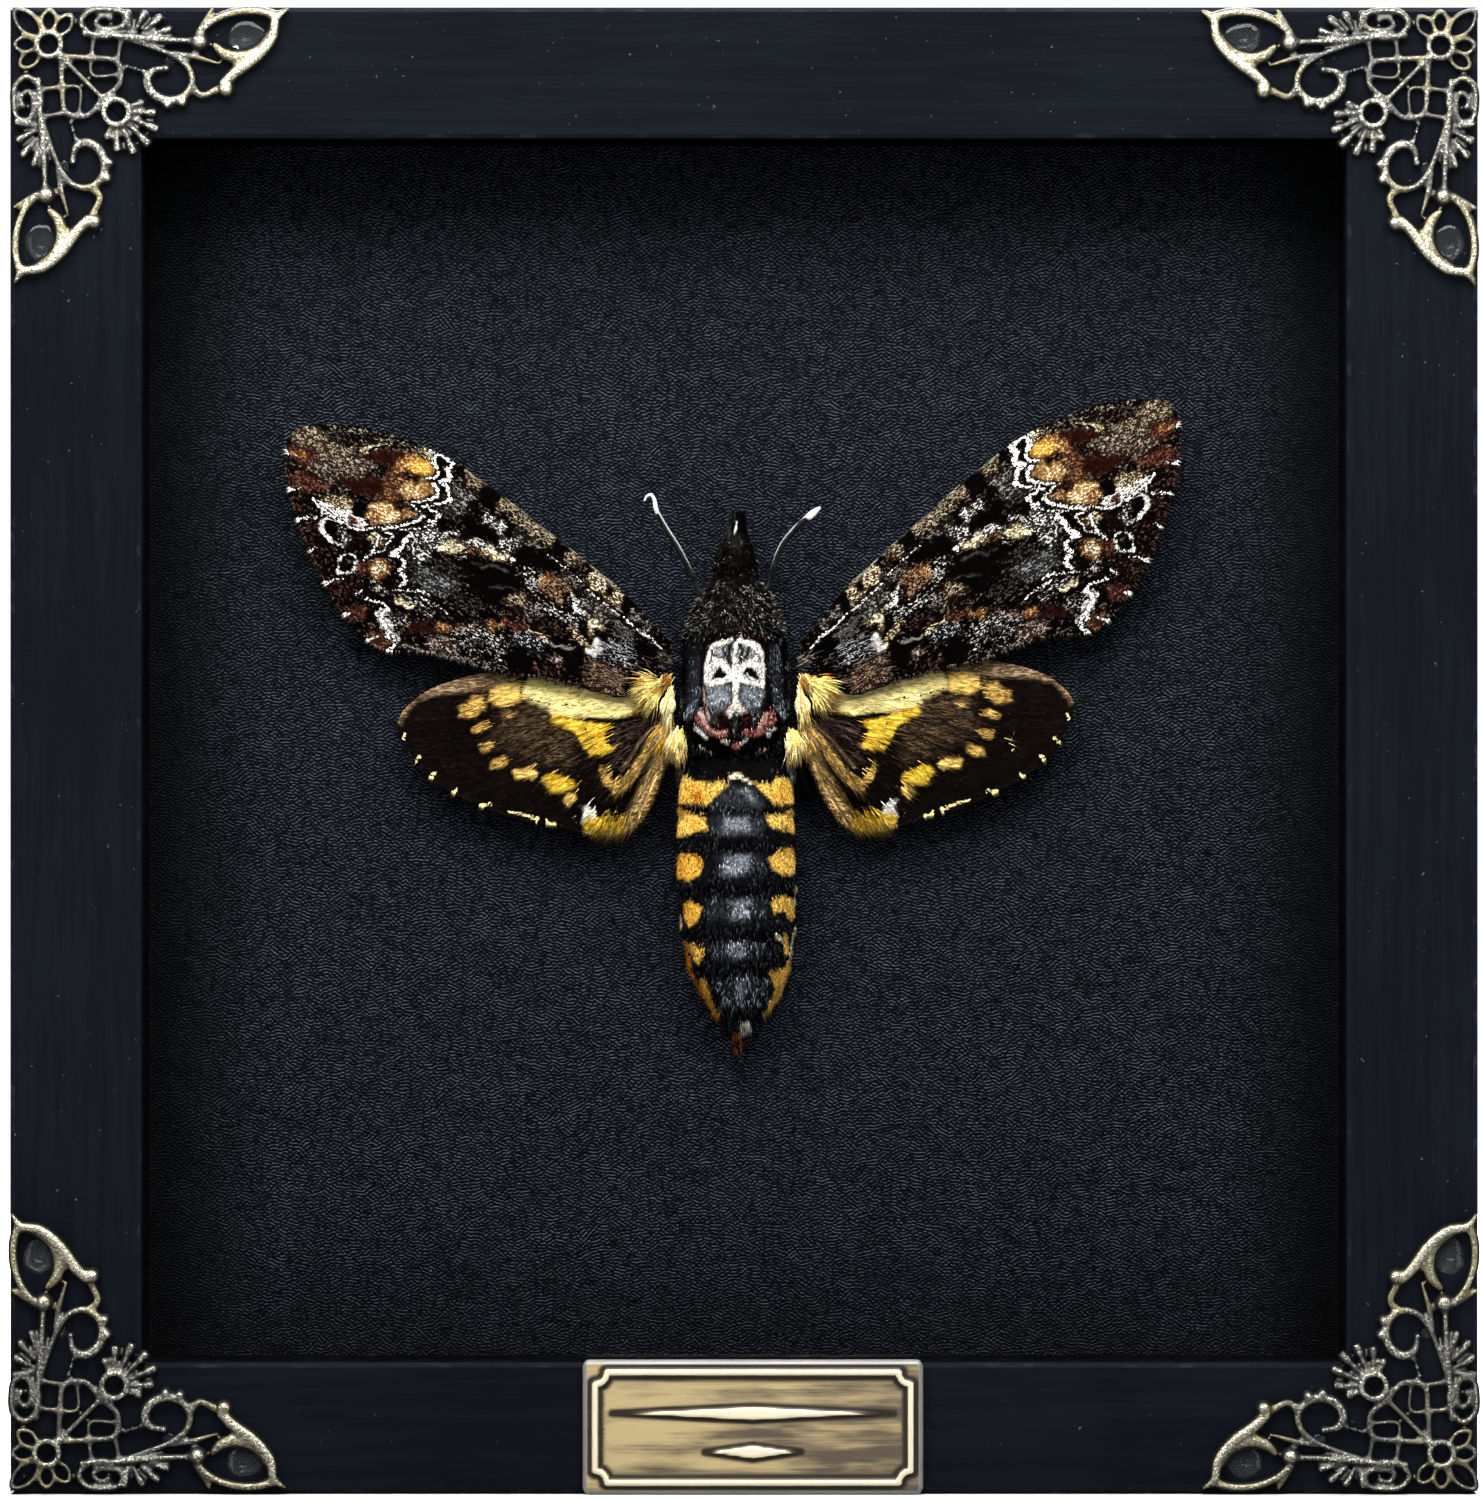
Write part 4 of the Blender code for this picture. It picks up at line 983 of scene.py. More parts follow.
foreMarks = [
    # base
    ("patch", olive, 0.6, [(2.6, 6.2), (5.2, 5.8), (9.4, 6), (9.6, 8.6), (8, 9.6), (5, 9.6), (3.2, 8.4)]),
    ("patch", moon, 0.5, [(3.4, 2.8), (5, 2.2), (8.2, 2.4), (8.8, 4.4), (8.6, 5.6), (5.4, 5.8), (3.8, 5)]),
    ("patch", void, 0.3, [(2, 0.6), (4.6, 0.5), (4.8, 2.2), (3, 2.9), (2, 2)]),
    ("patch", ashes, 0.4, [(4.8, 0.3), (8.4, 0.1), (8.4, 1.9), (5.2, 2.1)]),
    ("patch", ashes, 0.4, [(4, -1.6), (7.6, -2.9), (7.7, -0.9), (4.4, -0.7)]),
    ("patch", void, 0.25, [(7.6, -3.8), (9.4, -3.9), (9.3, -1.2), (7.7, -0.9)]),
    ("patch", clotted, 0.35, [(9.4, -3.6), (11.6, -4.2), (15.3, -4.6), (15.4, -2.6), (13.8, -1.9),
        (9.5, -1.4)]),
    ("patch", void, 0.3, [(11.2, -3.6), (12.5, -3.4), (12.2, -2.3), (11.3, -2.2)]),
    ("patch", ashes, 0.5, [(9.4, -0.9), (14.2, -1.2), (14.4, 0.4), (12.2, 1.7), (9.6, 1.8)]),
    ("patch", flakes, 0.5, [(12.6, 2.2), (16, 2), (19.6, 2.2), (19.8, 4.2), (16, 4.3), (12.8, 4.1)]),
    ("patch", solid, 0.2, [(8.7, 4.2), (9.6, 4), (9.8, 5.4), (9.3, 6), (8.8, 5.6)]),
    ("patch", cream, 0.3, [(9.8, 1.9), (12.4, 1.8), (11.2, 3.6), (10.4, 3.8), (10.7, 2.6)]),
    ("patch", snow, 0.3, [(12.4, 1.7), (14, 1), (15.6, 0), (16.4, -0.4), (15.8, 0.9), (14.6, 1.9),
        (13, 2)]),
    ("line", clotted, 0.8, [(9.9, 4.9), (13.4, 4.6)]),
    ("line", clotted, 0.4, [(10, 5.7), (11.6, 5.4)]),
    ("patch", umberSpeck, 0.4, [(13, 5), (16.2, 4.6), (16.2, 6), (13.4, 6.1)]),
    ("patch", void, 0.4, [(9.9, 6), (12.4, 6.4), (14.6, 7.6), (13, 8.2), (12, 9.2), (10.4, 10.2),
        (9.7, 9.4)]),
    ("line", thread, 0.3, [(12.2, 6.4), (15.5, 7.6)]),
    ("spot", pinkish, (13.3, 8.9), (1.1, 0.7), 0),
    ("patch", umberSpeck, 0.5, [(9.9, 10.2), (15.4, 10.2), (16, 12.6), (12.4, 12)]),
    # costa
    ("line", thread, 0.2, [(12, -4.1), (16, -4.8), (22, -5.7), (30, -6.75), (37, -7.4)]),
    ("spot", sandy, (18.2, -4.1), (1.6, 1), 0),
    ("patch", void, 0.3, [(19.5, -5.4), (21.7, -5.9), (21.6, -4), (19.7, -3.4)]),
    ("patch", sandy, 0.3, [(21.7, -5.8), (31.2, -6.8), (31.2, -5), (27, -4.5), (24.4, -4.2), (21.5, -4)]),
    ("patch", void, 0.3, [(31.2, -7.1), (33.9, -7.4), (34, -4.4), (31.2, -4.5)]),
    ("patch", sandy, 0.3, [(34, -7.3), (36.8, -7.5), (36.6, -5.7), (34, -5.6)]),
    ("patch", ashes, 0.4, [(34.2, -5.3), (38, -5.3), (36.6, -3.4), (38, -1), (35.4, -0.8), (34.2, -2.6)]),
    # middle
    ("patch", ashes, 0.4, [(15, -2.4), (18.6, -2), (18.4, -1.2), (15, -0.8)]),
    ("patch", cinnamon, 0.5, [(16.4, -0.9), (19, -1.2), (21.2, -1.2), (21.4, 0.8), (19.6, 2), (16.6, 2)]),
    ("spot", copper, (19.9, 0.3), (1, 0.7), 0),
    ("patch", flakes, 0.4, [(21, -0.2), (23.8, 0.2), (23.6, 1.8), (21, 2.8), (19.8, 2.6)]),
    ("patch", void, 0.3, [(20, -2.8), (25.4, -3.2), (25.6, -0.9), (24, -0.4), (22.2, -0.6), (21, -1.2),
        (19.4, -1.4)]),
    ("patch", ashes, 0.4, [(22.6, -3.7), (27, -3.9), (27, -2.6), (25, -2.4), (23, -2.9)]),
    ("patch", flurry, 0.3, [(25.7, -2.4), (28.6, -2.2), (28.4, -0.7), (26.6, -0.3), (25.6, -1.2)]),
    ("patch", void, 0.3, [(27.2, -3.9), (28.3, -3.8), (28.4, -2.5), (27.3, -2.5)]),
    ("patch", flurry, 0.3, [(28.4, -3.7), (31.8, -3.8), (32, -2.6), (29, -2.1), (28.4, -2.6)]),
    ("patch", void, 0.4, [(28.6, -2), (33.6, -2.4), (34, -0.6), (32, 0.2), (29, -0.7)]),
    ("patch", flurry, 0.3, [(28, -0.5), (30, -0.3), (33, 1), (32.8, 1.5), (30, 0.9), (28, 0.3)]),
    ("line", snow, 0.5, [(34, 0.6), (36, 1.7)]),
    ("patch", cream, 0.3, [(26, -0.1), (28.6, -0.1), (30.2, 0.9), (29.6, 1.7), (27.4, 1.3), (26.2, 1)]),
    ("patch", cinnamon, 0.3, [(29.6, 1), (31.8, 1.4), (31.4, 2.2), (29.2, 2)]),
    ("patch", cream, 0.3, [(31.8, 1.7), (34, 1.8), (35.8, 3), (35.2, 3.9), (33.4, 3.6), (32.2, 2.7)]),
    ("patch", flakes, 0.3, [(30.4, 2.2), (32.4, 2.6), (32.2, 3.6), (30.8, 3.4)]),
    ("patch", flurry, 0.4, [(35.2, 1.6), (37.4, 1.6), (38.8, 3.6), (38.6, 6.2), (37.4, 7.4), (36, 6.4),
        (35.4, 4.8), (35.2, 3.4)]),
    ("spot", flakes, (37.6, 4.6), (0.6, 1.2), 0),
    ("patch", void, 0.5, [(22.6, 2.4), (25, 1.4), (27.6, 1.9), (30.4, 2.6), (32.6, 4.2), (34, 5.2),
        (33, 6.2), (29, 6.2), (25.6, 6.4), (23.4, 5.6), (22.4, 4)]),
    ("line", cord, 0.28, [(25, 1.9), (27.4, 2.4), (29.6, 3.2)]),
    ("line", cord, 0.22, [(23, 3.2), (26.5, 4.8)]),
    ("patch", smoke, 0.6, [(29, 4.6), (34, 4.4), (35.4, 6.2), (30, 6.8)]),
    ("patch", sandy, 0.4, [(20.2, 3.6), (22.8, 3.6), (23.8, 5.4), (22, 6), (20.2, 5.6)]),
    ("patch", ashes, 0.4, [(17.8, 4.2), (20, 4.2), (20.4, 6), (18, 5.8)]),
    ("patch", umberSpeck, 0.5, [(15.5, 6), (22, 6), (23.6, 7.4), (20, 7.8), (16, 7.4)]),
    ("line", clotted, 0.4, [(15.4, 7.6), (17, 7.3), (18.8, 7)]),
    ("patch", moon, 0.4, [(15.6, 7.7), (18, 7.4), (20.3, 7.9), (20.3, 9.8), (17.6, 10.1), (15.8, 9.6)]),
    ("patch", void, 0.4, [(15.6, 10.1), (19.2, 10.1), (20.4, 11), (18.6, 13), (15.8, 12.4)]),
    ("patch", smoke, 0.5, [(25.4, 6.8), (29, 6.6), (30.4, 8.4), (28.8, 9.8), (26, 9.4)]),
    ("patch", pewter, 0.5, [(30, 6.9), (33, 6.4), (36.2, 7.4), (36.4, 9), (34, 9.9), (30.6, 9.4)]),
    ("patch", flakes, 0.5, [(19.6, 10.8), (22, 10.1), (25.4, 10.2), (27.4, 11.6), (28, 13), (26.4, 14.2),
        (22.8, 14), (19.6, 13)]),
    ("spot", smoke, (23.4, 12.5), (1.7, 0.7), 10),
    ("patch", ashes, 0.4, [(20.4, 13.9), (23.4, 14.4), (26, 15.2), (25.6, 15.9), (22, 15)]),
    ("line", brick, 1.1, [(19.4, 7.6), (22, 8.3)]),
    ("patch", copper, 0.3, [(21.8, 8.3), (23.4, 8.5), (24.8, 9.6), (23.6, 9.9), (22.2, 9.2)]),
    ("line", umberSpeck, 1, [(24.4, 9.8), (25.6, 10.6)]),
    ("line", pinkish, 1, [(25.8, 10.9), (27.6, 12.2)]),
    ("patch", copper, 0.3, [(27.8, 12.1), (29.2, 12.3), (30.2, 13.4), (29.4, 14), (28.2, 13.2)]),
    ("patch", maroon, 0.3, [(30, 13.6), (32, 13.5), (33.4, 14.6), (33.2, 15.8), (31.4, 15.6),
        (30.2, 14.6)]),
    ("patch", pinkish, 0.4, [(25.8, 14.2), (28, 14), (30, 14.8), (30, 16.2), (28.4, 16.4), (26, 15.6)]),
    ("patch", flakes, 0.5, [(31.6, 11.2), (36, 11.2), (37, 13), (33, 13.6), (31, 12.6)]),
    ("line", cream, 0.8, [(34, 12.8), (36.8, 13.1)]),
    # outer third: tip
    ("patch", topSpeck, 0.8, [(44, -7.4), (50, -6.6), (55, -4.8), (58.8, -2.6), (56, -2.4), (51, -3.6),
        (47, -5.2), (44, -5.9)]),
    ("patch", apexTan, 0.7, [(52, -2.2), (56, -1.6), (58.6, -2.6), (61, -0.4), (60.6, 1), (57.6, 0.8),
        (55.4, 1), (53, 0)]),
    ("patch", greyTan, 0.7, [(48.4, -1.6), (51.6, -2), (54, -0.6), (57, 1.2), (57.4, 3.4), (52.6, 3.6),
        (50.4, 1.6), (48.8, 0.2)]),
    ("spot", umberSpeck, (53.2, -3.4), (1.3, 0.6), 15),
    ("spot", smoke, (55.4, -2.4), (1.3, 0.7), 20),
    ("spot", void, (57.2, -2.9), (1, 0.45), 30),
    # outer third: gold, copper and rust
    ("patch", russet, 0.6, [(43.8, -2), (46, -2.4), (47, -0.6), (46.2, 1.8), (43.6, 1.6), (42.4, 0.4)]),
    ("patch", copper, 0.5, [(43.9, -5.6), (46.2, -5.3), (46.8, -3.4), (45.6, -2.2), (43.4, -3.2)]),
    ("patch", brightGold, 0.4, [(40.8, -5.4), (42.4, -5.8), (44.2, -5.5), (44.1, -3.9), (42.4, -3.5),
        (41.2, -4.4)]),
    ("patch", oldGold, 0.4, [(39.7, -3.2), (41.8, -3.4), (42.6, -2), (40.6, -1.3), (39.7, -2.2)]),
    ("patch", apricot, 0.4, [(40.6, -1.4), (42.8, -2.4), (44.2, -1.8), (43.6, -0.4), (42.4, 0.4),
        (41.2, -0.4)]),
    ("patch", maroon, 0.4, [(45.8, -5.4), (47.6, -5), (49.4, -3.8), (50.8, -2.4), (50.2, -1.6), (48, -2),
        (46.6, -2.9), (45.8, -4.2)]),
    ("patch", maroon, 0.4, [(45.8, -0.6), (48.2, -0.6), (49.2, 1), (51.8, 2), (51.6, 2.9), (48.6, 3),
        (46.4, 2.2), (46, 0.8)]),
    ("patch", copper, 0.3, [(40.2, 0.8), (42, 1.2), (41.9, 2.4), (41, 2.6)]),
    ("patch", apricot, 0.3, [(41.9, 2), (44, 2), (45.6, 2.4), (46.2, 3.6), (46, 5.2), (44.8, 5.4),
        (43.2, 4.6), (42, 3.2)]),
    ("patch", copper, 0.3, [(44.3, 3.4), (45.8, 3.6), (45.6, 5.2), (44.4, 5.2)]),
    ("patch", brick, 0.5, [(52.4, 3.7), (55.2, 4), (57.6, 4.6), (58, 5.8), (56.2, 6.6), (53.8, 5.9),
        (52.6, 4.8)]),
    ("patch", brick, 0.3, [(55.4, 1.4), (57.2, 0.9), (59.8, 1.6), (60.4, 2.4), (58.6, 3.4), (56.8, 3.3)]),
    ("line", copper, 0.5, [(57.2, 1.8), (59.4, 2.7)]),
    ("line", cream, (0.5, 0.35), [(48.2, -5), (49.4, -4.4), (50.2, -3.5), (50.9, -2.9)]),
    ("spot", cream, (50.8, -2.7), (0.55, 0.5), 0),
    ("spot", brick, (50.8, -2.65), (0.2, 0.2), 0),
    ("patch", clotted, 0.4, [(48.6, 4), (50.2, 4), (51.6, 5), (52.6, 6.2), (51.6, 6.8), (49.4, 6.4),
        (48.4, 5.4)]),
    ("patch", snow, 0.3, [(45.6, 5.3), (48.2, 5.6), (50.4, 6.4), (53.6, 6.4), (52.6, 7.4), (49.6, 7.7),
        (47.2, 7.5), (45.4, 6.6)]),
    ("patch", void, 0.2, [(46.4, 4.4), (47.4, 4.5), (48.2, 5.4), (47.7, 5.8), (46.9, 5.2)]),
    ("spot", brick, (47.2, 6.55), (0.75, 0.36), 0),
    # outer third: hind margin
    ("patch", umberSpeck, 0.6, [(42, 13.6), (46.5, 12.6), (51, 9.4), (55, 6.6), (58, 7.4), (52, 12.4),
        (46.6, 17.4), (42.4, 19.4), (41.4, 15.6)]),
    ("patch", umberSpeck, 0.4, [(43.4, 7.2), (45.6, 7.4), (46.2, 9.4), (45, 10.4), (43.9, 9.4)]),
    ("patch", clotted, 0.4, [(41.8, 6), (43.6, 6), (44.4, 7), (43.4, 8.2), (42.2, 7.6)]),
    ("patch", copper, 0.4, [(39.2, 9.4), (41, 9), (42.2, 9.8), (42, 11.4), (40.8, 12), (39.4, 11.2)]),
    ("spot", cream, (40.9, 10.5), (0.65, 1.15), 0),
    ("patch", brick, 0.3, [(42.2, 10.4), (43.4, 10.8), (43.6, 12.2), (42.4, 12.6), (41.9, 11.6)]),
    ("patch", flakes, 0.4, [(38, 11.6), (40.8, 12.2), (40.8, 13.4), (38.2, 13.2)]),
    ("spot", snow, (48.9, 9), (2.4, 1.55), -15),
    ("spot", void, (48.6, 8.7), (1.9, 1.1), -15),
    ("spot", flakes, (48.2, 8.7), (1.2, 0.7), -15),
    ("patch", flurry, 0.3, [(46, 8.4), (47.4, 8.2), (47.2, 10.2), (46.2, 10.4)]),
    ("spot", snow, (45, 11.9), (1.5, 1.65), 0),
    ("spot", void, (45.1, 11.8), (1.1, 1.2), 0),
    ("spot", smoke, (45.1, 11.8), (0.6, 0.7), 0),
    ("patch", flakes, 0.3, [(33.4, 14.4), (36, 14.4), (36.2, 15.6), (34.8, 16.5), (33.4, 16.2)]),
    ("patch", snow, 0.25, [(36.4, 14.6), (38.2, 15), (38, 16.4), (36.6, 17.2), (34.6, 18.2),
        (33.4, 18.6), (33.5, 17.2), (35, 16.6), (36.2, 15.8)]),
    ("patch", brick, 0.4, [(39, 15.8), (41, 16), (42.4, 17.4), (41.4, 18.6), (39.4, 17.6)]),
    ("patch", russet, 0.3, [(34.4, 18.4), (36.2, 17.9), (37.8, 18.4), (37.4, 19.6), (35, 20.2)]),
    ("patch", clotted, 0.3, [(42.2, -7.7), (44.4, -7.5), (44.2, -6.2), (42.2, -6)]),
]
# The left forewing has a paler grey strip along its hind edge.
leftForeMarks = [("line", ashes, (0.5, 0.9), [(20, 14.2), (26, 15.8), (33, 18.2)])]

# Sharp lines: width, or width at start and end, and points.
foreWhiteLines = [
    # inner zigzag, from the costa down
    (0.5, [(38.9, -7.35), (41, -7.45), (43, -7.3)]),
    ((1.3, 1), [(39.35, -7.2), (39.4, -6.2), (38.9, -5.7)]),
    ((1, 0.85), [(38.8, -5.9), (38.5, -5.2), (39.2, -4.7), (39.5, -4.3)]),
    ((0.85, 0.7), [(39.5, -4.3), (38.3, -4.05), (37.7, -3.6), (37.2, -3), (36.8, -2.7)]),
    ((0.6, 0.5), [(37.3, -3), (37.4, -2.2), (38.2, -1.5), (38.9, -0.9), (39.6, -0.3)]),
    (0.5, [(39.9, -0.15), (38.6, -0.2), (37, -0.2)]),
    ((0.9, 0.6), [(37.3, 0), (37.4, 0.7), (37.5, 1.1), (38.2, 1.2)]),
    (0.32, [(37.1, 1.2), (38.2, 2.05), (39.2, 2.95), (40.2, 3.75), (41, 4.3)]),
    (1.25, [(39.2, 4.1), (39.6, 4.8), (39.6, 6), (39.8, 7), (40.2, 7.7)]),
    ((0.7, 0.9), [(40.5, 8), (39.4, 7.7), (38.3, 7.8), (37.9, 8.4), (38.3, 9.2)]),
    ((0.8, 0.9), [(38.3, 9.3), (37.3, 9.6), (36.7, 10.1), (37.1, 10.9)]),
    # middle zigzag
    ((1.1, 0.9), [(41.9, -7.1), (41.85, -6.3), (41.2, -5.9)]),
    ((0.7, 0.45), [(41.2, -5.9), (40.3, -5.2), (40.2, -4.7), (40.7, -4.1), (41.3, -3.55)]),
    ((0.6, 0.8), [(40.4, -3.45), (39.4, -3.35), (39, -2.8), (39, -2.1)]),
    ((0.75, 0.4), [(39, -2.1), (39.4, -1.45), (39.9, -1), (40.7, -0.4), (41.4, 0.1), (42, 0.6)]),
    ((0.35, 0.55), [(41.9, 0.5), (40.8, 0.55), (39.7, 0.8), (39.2, 1.1)]),
    ((0.8, 0.7), [(39.2, 1.1), (39.4, 1.9), (39.9, 2.5), (40.5, 3.1)]),
    ((0.6, 0.5), [(40.5, 3.1), (41.3, 3.8), (42.2, 4.6), (43.1, 5.4)]),
    (0.45, [(43.2, 5.5), (42.3, 5.4), (41.5, 5.4)]),
    ((0.4, 0.3), [(41.4, 5.4), (41.3, 6.1), (41.6, 6.9), (41.4, 7.6), (41.8, 8.4), (42.4, 8.8)]),
    # outer zigzag
    ((0.3, 0.5), [(42.4, 4.2), (43.6, 5.2), (44.6, 6), (45.4, 6.8), (46.2, 7.3)]),
    ((0.8, 0.45), [(43.1, 6.4), (42.9, 7.3), (42.7, 8.2), (42.8, 9.3), (43.3, 10.4)]),
    (0.45, [(32, 10.9), (33.8, 10.9)]),
    (0.3, [(33, 10.1), (34.3, 10.15), (35.1, 10.6), (36.3, 11.3), (37.8, 11.9)]),
    (0.5, [(36.9, 14.5), (38.1, 14.2), (39.2, 14.6), (40.4, 14.85)]),
    (0.35, [(41.5, 13.4), (41.4, 14.3), (41.9, 15.2)]),
    ((1.1, 1), [(36.8, 14.6), (37.4, 15.4), (37.2, 16.3), (36, 16.9)]),
    ((0.9, 0.7), [(36, 16.9), (34.6, 17.4), (33.9, 18.1), (33.6, 18.6), (34.1, 19.4)]),
    (0.45, [(45, 6.5), (46.6, 7.3), (48.6, 7.4), (50.4, 7.2), (52.2, 7.1), (53.6, 6.6)]),
    (0.3, [(29.2, 11.2), (30.6, 10.8), (32, 10.8)]),
    # line of the base and the small spot by its end
    ((0.3, 0.5), [(1.4, 0.45), (2.6, 0.1), (3.6, -0.1), (5.6, -0.2)]),
    (0.3, [(6.4, -0.35), (7.7, -0.55)]),
    (0.28, [(8, -0.7), (9.7, -0.75), (11.6, -1.05), (13, -1.3), (14.4, -1.6)]),
    (0.12, [(15.2, -1.9), (18.4, -2.6), (22.2, -3.2)]),
    (0.85, [(25.1, 0.05), (25.6, 0.05)]),
    # dashes of the fringe
    ((0.15, 0.55), [(44.4, 14), (45.4, 14.8), (46.5, 16)]),
    ((0.15, 0.5), [(49.6, 11.9), (50.5, 13.2)]),
    ((0.25, 0.6), [(51.8, 8.5), (53, 9.3), (54.3, 10.2)]),
    ((0.25, 0.6), [(55.5, 6.1), (57, 7)]),
    (0.5, [(41.3, 17.9), (42, 18.5)]),
    (0.4, [(36.4, 18.7), (37.4, 19.8)]),
    (0.45, [(33.6, 18.2), (34.1, 19.8)]),
    (0.3, [(59.4, 3), (60.2, 2.6)]),
]
foreBlackLines = [
    ((0.5, 0.3), [(40.9, -7), (40.7, -6.4), (40.3, -5.7), (39.6, -5.2)]),
    (0.3, [(39.6, -5.2), (39.9, -4.6), (40.1, -4.1), (40.5, -3.8)]),
    (0.24, [(40.4, -3.9), (39.1, -3.85), (38.5, -3.6), (38.4, -2.9), (38.3, -2.2), (39, -1.5),
        (39.7, -0.9), (40.4, -0.2), (41, 0.2)]),
    (0.24, [(41, 0.25), (39.4, 0.2), (38, 0.3), (38.2, 0.8), (39, 1.6)]),
    (0.16, [(38.7, 1.9), (39.6, 2.7), (40.4, 3.5), (41.1, 4.1)]),
    (0.28, [(36.2, 1), (37.2, 1.7), (38.2, 2.6), (38.9, 3.2)]),
    (0.24, [(41.3, -0.2), (42.4, 0.5), (43, 1.2), (44.2, 1.9)]),
    (0.22, [(41.6, 3.2), (42.4, 4), (43.4, 4.9), (44.6, 5.8), (45.6, 6.5)]),
    ((0.35, 0.5), [(40.2, 4.9), (41.2, 4.7), (41.9, 4.9)]),
    (0.32, [(40.5, 5.2), (40.9, 5.8), (40.7, 6.7), (40.9, 7.4), (41.1, 8.3)]),
    (0.34, [(38.6, 8.9), (38.9, 8.4), (39.6, 8.2), (40.8, 8.5), (42.1, 9), (42.6, 9.9)]),
    (0.45, [(34.2, 13.5), (36.8, 13.8), (39.4, 13.6), (41.8, 13.7)]),
    (0.35, [(46.6, -5.6), (48.6, -4.7), (49.6, -3.9), (50.3, -3.1)]),
]

# Hindwing tones
hindInk = (0.0026, 0.0018, 0.0015)
chalk = tone((0.80, 0.79, 0.74), 1.0, (0.6, 0.58, 0.5))
lemon = tone((0.93, 0.79, 0.33), 0.94, (0.62, 0.49, 0.19))
maize = tone((0.80, 0.55, 0.15), 0.82, (0.34, 0.18, 0.030))
honey = tone((0.74, 0.49, 0.05), 0.80, (0.34, 0.18, 0.008))
amber = tone((0.58, 0.37, 0.10), 0.60, (0.14, 0.07, 0.015))
dull = tone((0.42, 0.26, 0.10), 0.50, (0.080, 0.043, 0.012))
faded = tone((0.10, 0.062, 0.032), 0.40, (0.012, 0.0075, 0.005))
hay = tone((0.34, 0.235, 0.145), 0.50, (0.075, 0.042, 0.020))
chaff = tone((0.60, 0.41, 0.17), 0.58, (0.10, 0.055, 0.013))
gilded = tone((0.64, 0.42, 0.13), 0.64, (0.13, 0.065, 0.016))
smoky = tone((0.055, 0.034, 0.028), 0.46, hindInk)
hindGround = tone((0.0085, 0.0058, 0.0050), 0.33, hindInk)

